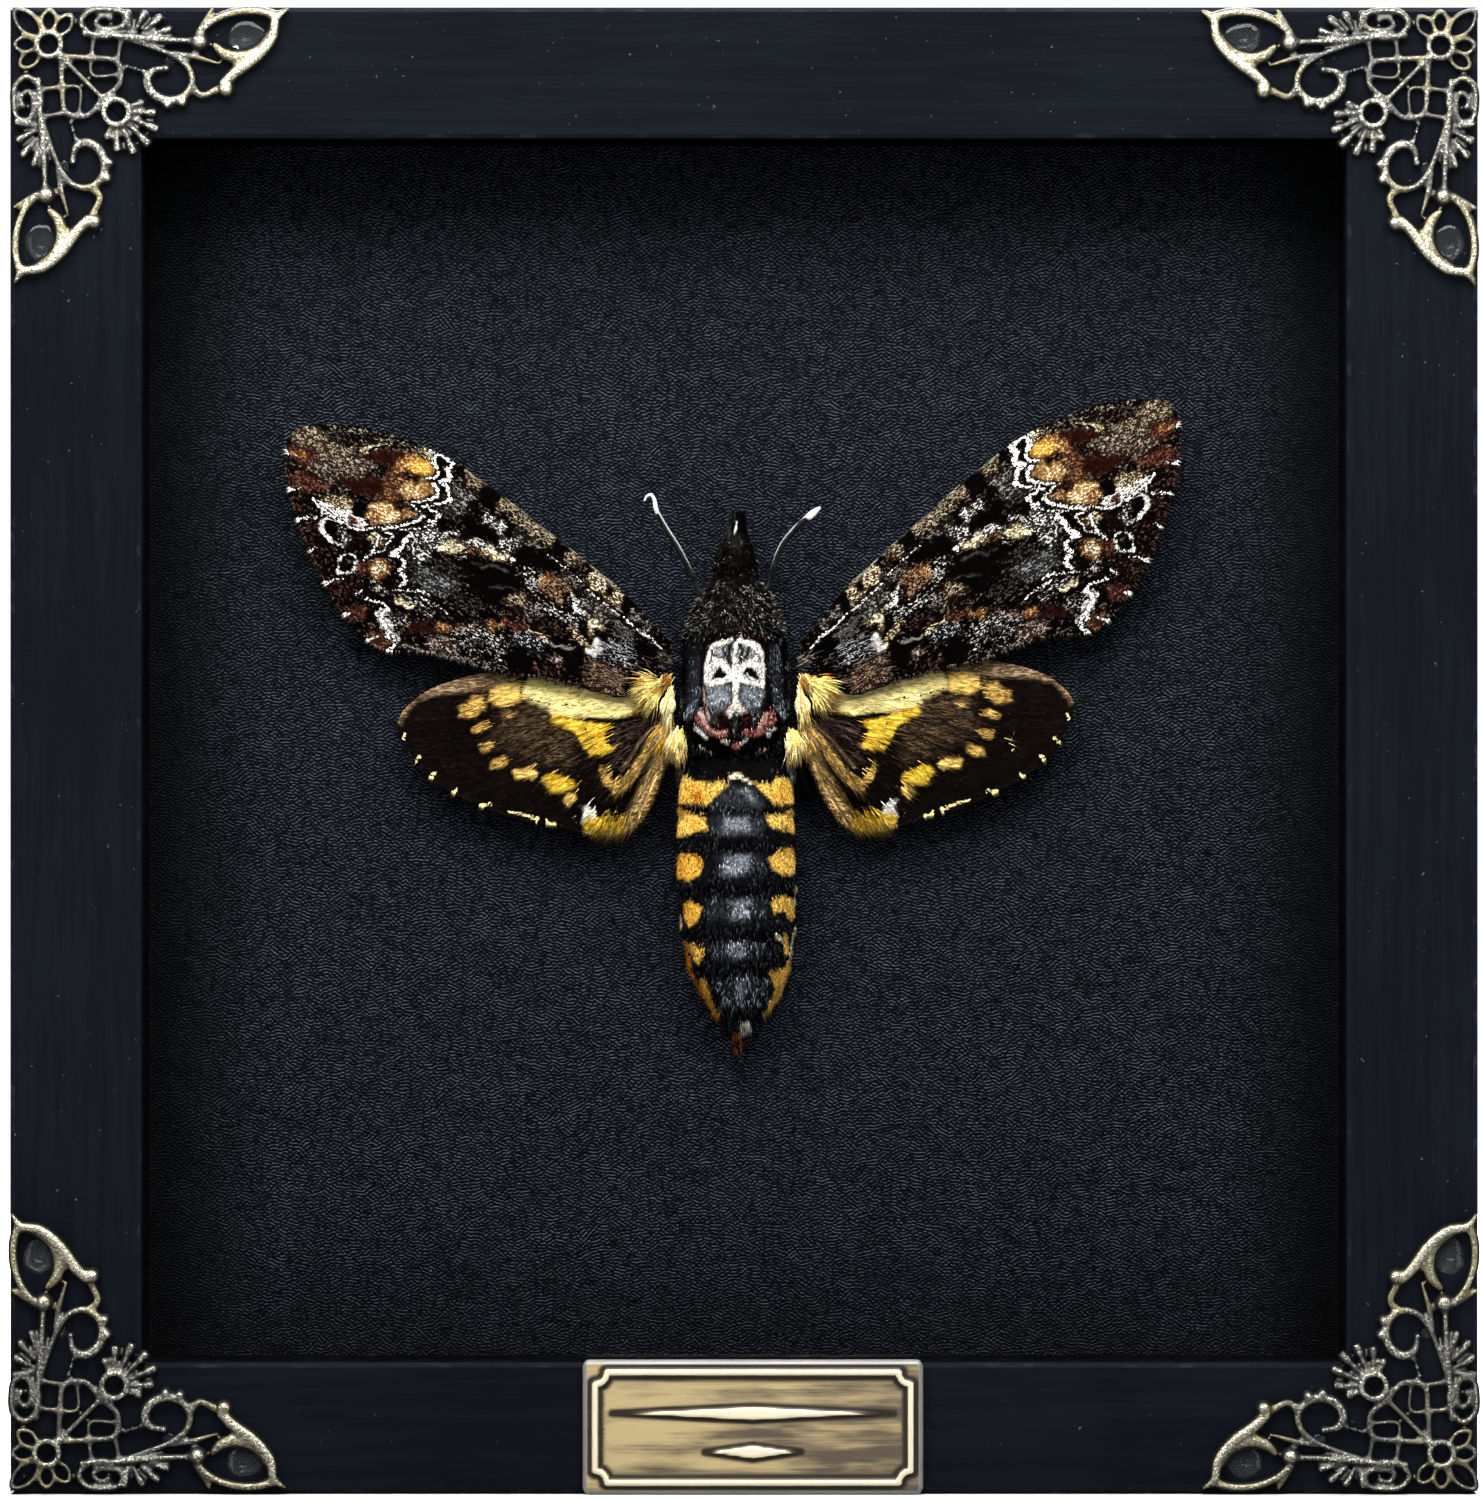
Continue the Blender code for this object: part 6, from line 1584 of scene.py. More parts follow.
bodyMarks = [
    # collar and head
    ("patch", bistre, 1, [(-7.2, 8.6), (7.2, 8.6), (6.4, 12), (5.4, 14.4), (3.6, 16.4), (-3.6, 16.4),
        (-5.6, 14.4), (-6.4, 12)]),
    ("patch", umber, 0.5, [(-3.5, 15.8), (3.4, 15.8), (3.2, 20.4), (1.8, 22.4), (-1.4, 22.4), (-3, 20.4)]),
    ("patch", pitch, 0.3, [(-1.2, 22), (1.9, 22), (1.8, 26.2), (-1, 26.2)]),
    ("patch", (0.034, 0.034, 0.031), 0.3, [(-1, 20.6), (0.6, 20.2), (1, 21.4), (0.8, 22.6), (-0.9, 22.6),
        (-1.2, 21.4)]),
    ("line", ash, 0.2, [(-0.75, 21.8), (-0.6, 24), (-0.5, 25.4)]),
    ("line", bone, 0.3, [(0, 22.7), (0.15, 24.2)]),
    ("line", ash, 0.16, [(-0.1, 24.2), (0, 25.6)]),
    ("line", smut, 0.2, [(1.6, 22), (1.6, 25.9)]),
    # shoulder covers, parted by black
    ("patch", pitch, 0.4, [(-8.6, 3), (-7.4, 9), (-4.4, 9.4), (-4.1, 6), (-4.2, -1), (-5.2, -3.6),
        (-7.6, -4.6), (-8.6, 0)]),
    ("patch", pitch, 0.4, [(8.6, 3), (7.4, 9), (4.4, 9.4), (4.2, 6), (4.3, -1), (5.4, -3.6), (7.6, -4.2),
        (8.6, 0)]),
    ("patch", smut, 0.5, [(-6.7, 7.6), (-5.4, 8.4), (-4.7, 8.2), (-4.6, 6), (-6.6, 5.9)]),
    ("patch", slate, 0.4, [(-6.3, 5.8), (-4.8, 5.8), (-4.7, 1), (-4.8, -1.6), (-6.6, -3.3), (-7, -2),
        (-6.4, 1.6)]),
    ("patch", steel, 0.5, [(-6.3, 2.4), (-5, 2.2), (-4.9, 0.4), (-6.3, 0.2)]),
    ("patch", steel, 0.5, [(-6.2, 0.2), (-5, 0.4), (-5.2, -1.4), (-6.6, -2.8), (-7, -2.4), (-6.2, -1)]),
    ("line", pale, (0.3, 0.4), [(-5.3, -0.2), (-6.1, -1.6), (-6.9, -2.7)]),
    ("patch", smut, 0.4, [(-8.1, 1.6), (-7.2, 1.4), (-6.9, -1), (-7.2, -2.8), (-8, -2.6)]),
    ("line", ash, 0.3, [(-7.4, -0.9), (-7.7, -1.8)]),
    ("patch", slate, 0.4, [(6.2, 7.6), (4.8, 7.4), (4.7, 5.2), (6.2, 5.2)]),
    ("patch", slate, 0.4, [(6.2, 5.4), (4.7, 5.2), (4.9, 1), (5.4, -1.4), (6.6, -3), (7.8, -2.8),
        (6.4, 0.6), (6.3, 3.4)]),
    ("patch", steel, 0.5, [(6.2, 4.8), (5, 3.4), (5.2, 1.2), (5.6, -0.6), (6.6, -2.6), (7.2, -2.4),
        (6.3, 0.2)]),
    ("line", pale, (0.3, 0.45), [(5.4, -0.9), (6.2, -1.6), (6.7, -2.7)]),
    ("line", smut, 0.7, [(7.3, 2), (7.6, -2.4)]),
    ("line", ash, 0.3, [(7.1, -1.2), (7.8, -1)]),
    ("spot", pale, (7.3, 4.1), (0.16, 0.45), 0),
    # skull mark: dark red rim, grey field, then white
    ("patch", garnet, 0.3, [(-4.5, 7.2), (-3.6, 8.6), (-1.4, 9.2), (1.4, 9.2), (3.8, 8.6), (4.6, 7),
        (4.7, 1), (3.9, -3.6), (2, -4.6), (-2, -4.6), (-4, -3.4), (-4.6, 0.5)]),
    ("patch", ash, 0.25, [(-3.7, 7.2), (-1, 8), (1.4, 8), (3.4, 7), (3.9, 5), (4, 0.8), (3.4, -2.8),
        (2.4, -3.8), (1.9, -2), (-1.5, -2), (-2.4, -3.8), (-3.5, -3), (-4.1, -0.4), (-4.1, 4)]),
    ("line", blush, (0.1, 0.3), [(-4.3, 1.6), (-4.2, 0.2), (-3.8, -1.6), (-3.6, -2.8)]),
    ("line", bistre, 0.4, [(4.3, 1.6), (4.2, 0.2), (3.6, -1.4)]),
    ("patch", (0.33, 0.33, 0.33), 0.3, [(-3.2, 6.6), (-2.4, 7.4), (-1, 7.7), (-0.4, 7.2), (-0.4, 5),
        (-1.2, 5.6), (-2.6, 5.9)]),
    ("patch", (0.3, 0.3, 0.3), 0.3, [(3, 6.4), (2.2, 7.2), (1, 7.6), (0.4, 7.2), (0.4, 4.9), (1.2, 5.4),
        (2.3, 5.6)]),
    ("patch", pale, 0.4, [(-3.9, 1.6), (-0.8, 1.8), (-0.6, -0.4), (-1.6, -1.4), (-3.6, -1.2)]),
    ("patch", pale, 0.4, [(3.9, 1.4), (0.9, 1.8), (0.8, -0.4), (1.8, -1.4), (3.5, -1.2)]),
    ("line", smut, (0.6, 0.3), [(-0.75, 7.3), (-0.9, 6.2), (-0.45, 4.4)]),
    ("line", smut, (0.4, 0.25), [(-1.6, 6.8), (-1.4, 6), (-0.7, 5)]),
    ("line", sand, 0.5, [(-2.6, 7.1), (-1.5, 7.35)]),
    ("line", pale, 0.5, [(-2.7, 6.3), (-1.8, 6.1)]),
    ("line", smut, (0.5, 0.3), [(0.7, 7.3), (1.1, 6.6), (0.6, 5.2)]),
    ("line", smut, 0.35, [(1.9, 7), (1.6, 6), (1.1, 5.2)]),
    ("patch", bone, 0.14, [(-0.35, 8.5), (-1.1, 8.05), (-2.3, 7.85), (-3.2, 7.4), (-3.7, 6.4),
        (-3.95, 5.3), (-4.2, 4.2), (-4.2, 2.8), (-3.95, 1.9), (-3.2, 1.75), (-2, 1.95), (-1, 2.3),
        (-0.4, 2.5), (-0.3, 1.6), (-0.3, 0), (-0.35, -0.6), (-0.85, -1.2), (-1.15, -1.7), (-0.75, -2.7),
        (-0.5, -2.4), (-0.15, -1.5), (0.25, -1.6), (0.55, -2.4), (0.9, -2.3), (1.35, -1.7), (1.2, -1.2),
        (0.65, -0.6), (0.4, 0.2), (0.4, 1.6), (0.7, 2.3), (2, 1.95), (3.4, 1.6), (3.9, 1.5), (4, 2.4),
        (4, 4.2), (3.85, 5.6), (3.6, 6.6), (3.1, 7.5), (2.2, 7.9), (1.2, 8.05), (0.5, 8.5), (0.2, 7.6),
        (1, 7.5), (2.4, 6.9), (2.9, 6.2), (2.4, 5.5), (1.8, 5.3), (1, 4.9), (0.35, 4.2), (0.2, 5.4),
        (0.17, 7.6), (-0.2, 7.6), (-0.25, 5.2), (-0.4, 4.1), (-0.9, 4.7), (-1.4, 5.3), (-2.2, 5.6),
        (-2.9, 5.6), (-3.2, 6.2), (-2.9, 6.9), (-2.2, 7.3), (-1.2, 7.5), (-0.5, 7.9)]),
    ("line", smut, (0.18, 0.32), [(-3, 6.6), (-3.2, 5.8), (-3.45, 4.8)]),
    ("line", smut, (0.18, 0.28), [(2.6, 6.4), (3.1, 6), (3.4, 5)]),
    ("patch", pitch, 0.1, [(-2.05, 4.5), (-2.7, 3.8), (-3.1, 3.1), (-3.3, 2.45), (-2.4, 2.75),
        (-1.5, 2.95), (-0.9, 3.4), (-1.5, 3.8)]),
    ("patch", pitch, 0.1, [(1, 3.4), (1.5, 4.1), (2.1, 4.35), (2.7, 3.9), (3.1, 3.3), (3.5, 2.35),
        (2.8, 2.85), (1.9, 3.05)]),
    ("spot", oxblood, (-1.8, -2.95), (0.65, 1.05), 8),
    ("spot", oxblood, (1.7, -2.95), (0.62, 1.05), -8),
    ("line", blush, (0.3, 0.2), [(-0.5, -0.9), (-1, -1.5), (-1.1, -2.2)]),
    ("line", blush, (0.3, 0.2), [(0.7, -0.9), (1.3, -1.4), (1.6, -1.9)]),
    ("line", coal, 0.35, [(-0.55, -3), (-0.55, -5.2)]),
    ("line", coal, 0.35, [(0.65, -3), (0.65, -5.2)]),
    ("line", ash, 0.42, [(0.05, -2.2), (0.05, -3.4), (0, -5)]),
    # black hem with pink crescents and white dashes
    ("patch", pitch, 0.3, [(-6.6, -3.9), (-5.4, -3.4), (-4, -5), (0, -5.4), (4, -5), (5.6, -3.4),
        (6.8, -3.9), (6.3, -5.6), (4, -7.4), (3.4, -8.4), (-3.4, -8.4), (-4, -7.6), (-6.3, -5.8)]),
    ("patch", rose, 0.2, [(-5.7, -2.9), (-4.8, -1.7), (-4.3, -1.9), (-4, -3), (-3.4, -3.9), (-2.2, -4.4),
        (-0.8, -4.4), (-0.8, -5.2), (-2, -5.4), (-3.4, -5.1), (-4.3, -4.2), (-5, -3.4)]),
    ("patch", rose, 0.2, [(5.6, -3), (5.2, -1.8), (4.3, -1.5), (3.8, -2.4), (3.4, -3.4), (2.6, -4.1),
        (0.9, -4.3), (1, -5), (2.6, -5.2), (3.9, -4.9), (4.6, -4)]),
    ("line", blush, (0.8, 0.35), [(-4.7, -2), (-4.3, -2.9), (-3.7, -3.9)]),
    ("line", blush, (0.4, 0.25), [(-3.2, -4.5), (-1.4, -4.9)]),
    ("line", blush, (0.6, 0.3), [(4.2, -2.2), (3.8, -3.2), (3.4, -3.9)]),
    ("line", bone, (0.5, 0.45), [(-5.4, -4.1), (-4.6, -4.7), (-3.9, -5.3)]),
    ("line", bone, 0.38, [(-1.8, -5.7), (-1, -6.1)]),
    ("line", bone, 0.38, [(0.8, -6), (1.6, -5.5)]),
    ("spot", bone, (4.55, -4.85), (0.34, 0.42), 0),
    ("line", bone, 0.35, [(5, -4.3), (5.4, -4.1)]),
    ("patch", rose, 0.2, [(-0.8, -6.1), (0.1, -5.9), (0.9, -6.3), (0.4, -7.1), (-0.4, -7.1)]),
    ("line", sand, 0.3, [(-4.8, -6.6), (-3.2, -7.6)]),
    ("line", sand, 0.3, [(2.9, -7.6), (4.2, -6.9)]),
    # waist
    ("patch", umber, 0.9, [(-4.2, -8), (4, -8), (3, -10.4), (-3.2, -10.6)]),
    ("spot", pitch, (-5, -9.3), (1, 1.2), 0),
    ("line", ivory, (0.55, 0.3), [(-0.6, -10.7), (0.4, -10.3), (2.2, -11.4)]),
    # ring 1
    ("patch", steel, 0.5, [(-3.4, -14.6), (-1, -11.8), (2.4, -11.8), (4, -14.4), (3.6, -15.2),
        (-3.4, -15.2)]),
    ("patch", straw, 0.3, [(-8.4, -10.7), (-6.8, -10.5), (-5.6, -11.4), (-2.4, -11.3), (-1, -11.8),
        (-3, -13.4), (-3.8, -14.4), (-8.4, -14.2)]),
    ("patch", corn, 0.5, [(-7, -11.6), (-4.2, -11.9), (-4, -14.1), (-7.2, -14.1)]),
    ("patch", tangerine, 0.3, [(-5.6, -12.8), (-4.8, -12.6), (-4.6, -14.2), (-5.8, -14.2)]),
    ("patch", straw, 0.3, [(2.5, -11.3), (4.8, -11.7), (5.6, -10.7), (7.2, -10.9), (8.4, -11.4),
        (8.4, -14.2), (5.4, -14.3), (4, -12.9)]),
    ("patch", corn, 0.5, [(4.6, -12), (7, -11.6), (7.2, -14.1), (5.4, -14.2)]),
    ("patch", pale, 0.4, [(0.4, -12.4), (1.6, -12), (3.2, -13.9), (2.2, -14)]),
    # ring 2
    ("patch", straw, 0.3, [(-8.6, -15), (-7.4, -15), (-6, -15.7), (-4, -16.2), (-3.8, -17.7),
        (-5.4, -17.9), (-6.2, -18.4), (-8.6, -18.7)]),
    ("patch", corn, 0.4, [(-6.2, -16), (-4.2, -16.5), (-4.2, -17.6), (-6, -17.8)]),
    ("patch", straw, 0.3, [(4.2, -15.9), (5.6, -15.9), (7.6, -15.4), (8.6, -15.6), (8.6, -18.4),
        (6.4, -17.7), (4.8, -17.3)]),
    ("patch", steel, 0.6, [(-3.4, -16), (4, -15.9), (3.8, -18.3), (-3, -18.5)]),
    ("patch", pale, 0.7, [(-1.4, -16.1), (1.8, -15.9), (2.4, -18.1), (-1.8, -18.3)]),
    # ring 3
    ("patch", corn, 0.3, [(-8.5, -21.6), (-7.2, -21), (-5.4, -21.2), (-4.3, -22.4), (-4.9, -23.8),
        (-6.6, -24.7), (-8.5, -24.2)]),
    ("patch", straw, 0.3, [(4.5, -21.8), (5.8, -20.7), (7.2, -20.4), (8.5, -20.9), (8.5, -23.6),
        (6.4, -24), (5, -23)]),
    ("patch", steel, 0.6, [(-2.6, -21.4), (0.4, -20.9), (3.6, -21.4), (3.8, -23.6), (-2.4, -24)]),
    ("patch", pale, 0.7, [(-1.4, -21.3), (2, -21.1), (2, -23.9), (-1.8, -24)]),
    # ring 4
    ("line", ivory, 0.5, [(-8.3, -26.6), (-8, -29), (-7.5, -31.4)]),
    ("patch", corn, 0.3, [(-7, -28), (-6, -27.5), (-4.5, -28.5), (-5.2, -30.4), (-6.3, -31.1),
        (-7, -29.5)]),
    ("patch", straw, 0.3, [(4.9, -27.8), (6.6, -26.8), (7.9, -27.4), (8.1, -29.6), (7.5, -30.3),
        (6.9, -28.8), (5.4, -29.1)]),
    ("line", ivory, 0.4, [(8.4, -25.8), (8.3, -28.2)]),
    ("patch", steel, 0.6, [(-3.9, -27.4), (0.6, -27.2), (4.4, -27.6), (4.2, -29.8), (-3.8, -30)]),
    ("patch", pale, 0.7, [(-0.8, -27.3), (2.2, -27.3), (1.8, -30.1), (-0.4, -30.1)]),
    # ring 5
    ("patch", tangerine, 0.3, [(-7.6, -33), (-6.6, -33.4), (-5.8, -37.9), (-7.2, -37)]),
    ("patch", straw, 0.25, [(-6.6, -33.2), (-4.2, -34.2), (-4.9, -36.2), (-5.6, -35.6)]),
    ("line", straw, 0.6, [(6.9, -32.5), (7, -34.7)]),
    ("line", ivory, 0.4, [(5.8, -32.5), (6.3, -32.9)]),
    ("line", ivory, 0.4, [(8.3, -31.2), (7.9, -33.6), (7.6, -35.2)]),
    ("patch", steel, 0.6, [(-3.2, -33.4), (0.5, -33), (4.1, -33.3), (3.8, -35), (-3, -35.6)]),
    ("patch", pale, 0.6, [(-1, -33.3), (1.6, -33), (1.2, -35.2), (-1, -35.3)]),
    # last ring and tail
    ("patch", corn, 0.25, [(-4.9, -38), (-4.2, -38.2), (-3.6, -40), (-2.8, -42.4), (-2, -44),
        (-3.2, -43.4), (-4.2, -41)]),
    ("line", tangerine, 0.6, [(-6.2, -37.4), (-5, -39.6), (-4.4, -41)]),
    ("patch", straw, 0.25, [(7.7, -35.8), (6.4, -37), (4.7, -37.5), (5.5, -39.5), (4.8, -41.5),
        (3.9, -43.6), (5.2, -42.6), (6.8, -40.2), (7.4, -38)]),
    ("patch", steel, 0.7, [(-3, -38.2), (0.8, -37.8), (4.6, -38.4), (4.2, -41.8), (1, -42.6), (-2, -42)]),
    ("patch", pale, 0.7, [(0, -38), (1.8, -38), (1.2, -41), (0.2, -41)]),
    ("line", bone, 0.5, [(0.5, -44.8), (1.6, -44.8)]),
    ("line", bone, 0.6, [(0.9, -45.9), (2, -45.4)]),
    ("patch", (0.16, 0.05, 0.012), 0.3, [(-0.5, -46), (1.2, -46), (0.8, -48.6), (-0.2, -48.6)]),
]


def bodyForm(up):
    # Middle, half width, underside and top at any place along the body, gently rounded.
    table = np.array(bodySections[::-1])
    spread = np.linspace(-0.35, 0.35, 5)
    return [np.mean([np.interp(up + d, table[:, 0], table[:, k]) for d in spread], 0) for k in (1, 2, 3, 4)]


def bodyPoints(up, angle, lift=0.0):
    middle, half, under, top = bodyForm(up)
    across = middle + (half + lift) * np.cos(angle)
    height = (under + top) / 2 + ((top - under) / 2 + lift) * np.sin(angle)
    return mothPoints(across, up, height)


def bodyColours(across, up):
    # The coat as the front shows it: dark fur, then every mark over it.
    colours = paintMarks(across, up, coal, bodyMarks, 0.10)
    speckle = ripple(across * 3.1, up * 3.1, 31)[:, None] * 0.5
    speckle = speckle + ripple(across * 1.2, up * 1.2, 32)[:, None] * 0.3
    collar = (smoothStep(8.6, 9.6, up) * smoothStep(22.5, 15.5, up))[:, None]
    flecks = np.clip(ripple(across * 2.8, up * 2.8, 33) * 2.5 - 1.1, 0, 1)[:, None]
    colours = colours + (np.array(flint) - colours) * collar * flecks * 0.2
    return np.clip(colours * (1 + speckle * 0.4), 0, 1)


def bodySkin():
    step = bodyLook["grid"] * 1
    ups = np.concatenate([np.arange(-48.2, -9, step), np.arange(-9, 9.6, step * 0.55),
                          np.arange(9.6, 25.9, step)])
    front = pi * np.arange(bodyLook["frontSides"]) / bodyLook["frontSides"]
    back = pi + pi * np.arange(bodyLook["backSides"]) / bodyLook["backSides"]
    sides = len(front) + len(back)
    angle = np.tile(np.concatenate([front, back]), len(ups))
    up = np.repeat(ups, sides)
    points = bodyPoints(up, angle, 0.12 * ripple(up * 0.8, angle * 4, 41))
    middle, half, under, top = bodyForm(up)
    colours = bodyColours(middle + half * np.cos(angle), up)
    # Dark between the hairs of dark fur.
    colours *= np.interp(colours.max(1), (0.15, 0.4), (0.22, 1.0))[:, None]
    below = smoothStep(0.0, -0.5, np.sin(angle))[:, None]
    colours = colours * (1 - below) + np.array(coal) * below
    return points, turned(ringFaces(len(ups), sides), True), {"coat": colours}


def bodyHair(count, low, high, length, width, rise, seed, wide=(-0.35, pi + 0.35), fan=0.0, flecks=0.0,
             tangle=0.16):
    # Fur between two places along the body, combed towards the tail and raised by some share.
    # Flecks is the share of hairs that are pale, tangle how far they stray from the comb.
    rng = np.random.default_rng(seed)
    count = count // 1
    up = rng.uniform(low, high, count * 2)
    middle, half, under, top = bodyForm(up)
    keep = rng.random(len(up)) < (half / np.max(half)) ** 0.8
    up = up[keep][:count]
    angle = rng.uniform(*wide, len(up))
    roots = bodyPoints(up, angle, -0.1)
    outward = bodyPoints(up, angle, 0.9) - roots
    outward /= np.linalg.norm(outward, axis=1)[:, None]
    comb = np.tile([0.0, 0.0, -1.0], (len(up), 1))
    comb[:, 0] = fan * np.cos(angle)
    jitter = rng.normal(0, tangle, (len(up), 3))
    directions = comb * (1 - rise) + outward * rise + jitter
    directions /= np.linalg.norm(directions, axis=1)[:, None]
    lengths = rng.uniform(0.6, 1.2, len(up)) * length
    seen = roots + directions * (lengths * 0.75)[:, None]
    colours = bodyColours(seen[:, 0] - mothX, seen[:, 2] - mothZ)
    # Dark fur mixes black hairs with pale ones; bright fur is more even.
    level = colours.max(1)
    black = rng.random(len(up)) < np.interp(level, (0.2, 0.5), (0.64, 0.06))
    blackGain = np.interp(level, (0.2, 0.5), (0.06, 0.5))
    gain = np.where(black, blackGain, np.interp(level, (0.2, 0.5), (3.2, 1.05)))
    colours = colours * (gain * np.exp(rng.normal(-0.05, 0.3, len(up))))[:, None]
    colours = np.where(rng.random((len(up), 1)) < flecks, [flint], colours)
    # Yellow hair varies towards orange.
    warm = np.clip((colours[:, 0] - colours[:, 2]) * 1.5, 0, 1)
    hue = 1 - warm * rng.uniform(0, 0.26, len(up))
    colours *= np.stack([hue ** 0.3, hue, hue ** 2], -1)
    points, faces, along = hairs(roots, directions, lengths, rng.uniform(0.7, 1.2, len(up)) * width)
    coat = np.repeat(colours, 4, 0) * (0.85 + 0.6 * along)[:, None]
    return points, faces, {"coat": withinReach(coat)}


# Longer tufts: place, spread, direction in degrees, half its fan, length, how many and
# the colours they are drawn from. Each stands on both sides of the body.
tufts = [
    ((10.5, 2.0, 7.9), (0.7, 0.9), -26, 62, 4.3, 480, (citron, citron, flax, citron, tangerine)),
    ((8.9, 0.4, 7.9), (0.45, 1.1), -78, 12, 4.4, 340, (custard, flax, custard, gilt)),
    ((7.9, -5.0, 8.4), (0.9, 0.9), -82, 34, 3.6, 460, (custard, citron, flax, custard, gilt)),
    ((9.4, 3.0, 8.0), (0.8, 0.4), -60, 14, 2.4, 160, (rust, tangerine, flax)),
    ((9.2, 5.3, 7.8), (0.9, 0.9), 30, 50, 1.3, 260, (sand, bistre, ash, bistre)),
    ((9.5, -4.0, 7.2), (0.7, 0.9), -64, 26, 4.2, 200, (gilt, sand, corn)),
    ((7.6, -9.3, 6.0), (0.5, 1.2), -86, 14, 2.2, 130, (ash, smut)),
]


def tuftHair(side, number):
    (across, up, height), (wide, tall), degrees, fan, length, count, colours = tufts[number]
    rng = np.random.default_rng(200 + number * 2 + side)
    count = count // 1
    spot = rng.normal(0, 0.45, (count, 3)) * (wide, tall, 0.9)
    lean = np.clip(spot[:, 1] / max(tall, 0.1), -1.3, 1.3) * 0.6 + rng.normal(0, 0.16, count)
    angle = np.radians(degrees + fan * lean)
    along = rng.uniform(-0.2, 0.4, count) * length        # layer over layer
    start = up + spot[:, 1] + along * np.sin(angle)
    roots = mothPoints(side * (across + spot[:, 0] + along * np.cos(angle)), start, height + spot[:, 2])
    rise = rng.uniform(-0.06, 0.18, count)
    directions = np.stack([side * np.cos(angle), -rise, np.sin(angle)], -1)
    lengths = rng.uniform(0.4, 0.8, count) * length
    palette = np.array(colours)
    drawn = palette[rng.integers(0, len(palette), count)] * rng.uniform(0.75, 1.25, (count, 1))
    bend = np.stack([np.zeros(count), -np.full(count, 0.10) * lengths, 0.12 * lengths], -1)
    points, faces, along = hairs(roots, directions, lengths, rng.uniform(0.12, 0.22, count), bend)
    coat = np.repeat(drawn, 7, 0) * (0.9 + 0.3 * along)[:, None]
    return points, faces, {"coat": withinReach(coat)}


def tuftPad(side, number):
    # The dense heart of a golden tuft: a soft leaf-like body that its hair lies on.
    (across, up, height), (wide, tall), degrees, fan, length, count, colours = tufts[number]
    c, s = turn(degrees)
    rings, sides = 16, 26
    t = np.repeat(np.linspace(0.02, 0.98, rings), sides)
    angle = np.tile(roundAngles(sides), rings)
    spread = (tall * 0.75 + length * t * 0.5 * fan / 45) * np.sin(pi * t ** 0.85) ** 0.9
    offset = spread * np.cos(angle)
    along = (t - 0.15) * length * 0.86
    lift = 0.75 * np.sin(pi * t) ** 0.5 * np.sin(angle) - 0.08 * along
    streak = 0.5 + 0.5 * ripple(np.cos(angle) * 5 + 9, t * 2.2 + 7 * number, 90 + number)
    share = np.clip(streak * 1.6 - 0.9, 0, 1)[:, None]
    coat = np.array(colours[0]) + (np.array(colours[-1]) - colours[0]) * share
    points = mothPoints(side * (across + along * c - offset * s), up + along * s + offset * c,
                        height + lift)
    return points, turned(ringFaces(rings, sides), side < 0), {"coat": coat}


def addBody():
    skin = coatFinish("bodySkin", 0.85, 0.25, 1.1)
    fur = coatFinish("bodyFur", 0.65, 0.55, 1.25)
    look = bodyLook
    head = look["headHairs"]
    body = [
        bodySkin(),
        bodyHair(look["thoraxHairs"], -8.2, 9.5, 0.8, 0.21, 0.12, 101, tangle=0.26),
        bodyHair(head, 8.2, 16.0, 0.75, 0.20, 0.30, 102, fan=0.5, flecks=0.09, tangle=0.5),
        bodyHair(head // 2, 15.5, 21.6, 0.5, 0.17, 0.25, 103, (-0.8, pi + 0.8), flecks=0.02, tangle=0.5),
        bodyHair(head // 10, 21.5, 25.4, 0.45, 0.09, 0.08, 104, (-0.8, pi + 0.8)),
    ]
    coat = [bodyHair(look["abdomenHairs"], -43.0, -8.0, 0.95, 0.18, 0.16, 105),
            bodyHair(head // 8, -48.2, -42.0, 1.6, 0.15, 0.2, 106)]
    coat += [tuftHair(side, number) for number in range(len(tufts)) for side in (-1, 1)]
    coat += [tuftPad(side, number) for number in range(look["paddedTufts"]) for side in (-1, 1)]
    points, faces, fields, numbers = joined(body)
    addMesh("mothBody", points, faces, [skin, fur], ["moth_body"], fields,
            [min(k, 1) for k in numbers])
    points, faces, fields, numbers = joined(coat)
    addMesh("bodyCoat", points, faces, [fur], ["moth_body"], fields)


# Antennae and the one leg that shows: across, up, height, radius and how pale the side is.
limbs = {
    "antenna_left": [
        (-4.4, 14.2, 7.6, 0.3, 0), (-4.9, 14.8, 6.8, 0.33, 0.1), (-6, 17.1, 6.6, 0.38, 0.6),
        (-7.8, 20.6, 6.9, 0.42, 0.9), (-9.7, 23.7, 7, 0.38, 1), (-10.8, 26, 7, 0.3, 1.4),
        (-11.1, 27.4, 7, 0.24, 2), (-11.5, 27.9, 7, 0.2, 2), (-12, 27.7, 7, 0.16, 2),
        (-12.4, 27, 7, 0.1, 2),
    ],
    "antenna_right": [
        (4, 14.2, 7.6, 0.3, 0), (4.3, 15, 6.8, 0.33, 0.2), (5.2, 17.8, 6.6, 0.38, 0.6),
        (6.4, 20.9, 6.9, 0.42, 0.8), (7.9, 22.9, 7, 0.42, 0.9), (9.7, 24.6, 7, 0.44, 1),
        (10.3, 25.1, 7, 0.48, 2), (11, 25.7, 7, 0.38, 2), (11.6, 26.2, 7, 0.12, 2),
    ],
    "hind_leg_right": [
        (7.6, -7.6, 4.2, 0.45, 0), (8.3, -8.7, 3.2, 0.5, 0.1), (9.3, -10.8, 3.3, 0.46, 0.5),
        (10.2, -12.6, 3, 0.38, 0.5), (10.6, -14, 2, 0.26, 0.2),
    ],
}
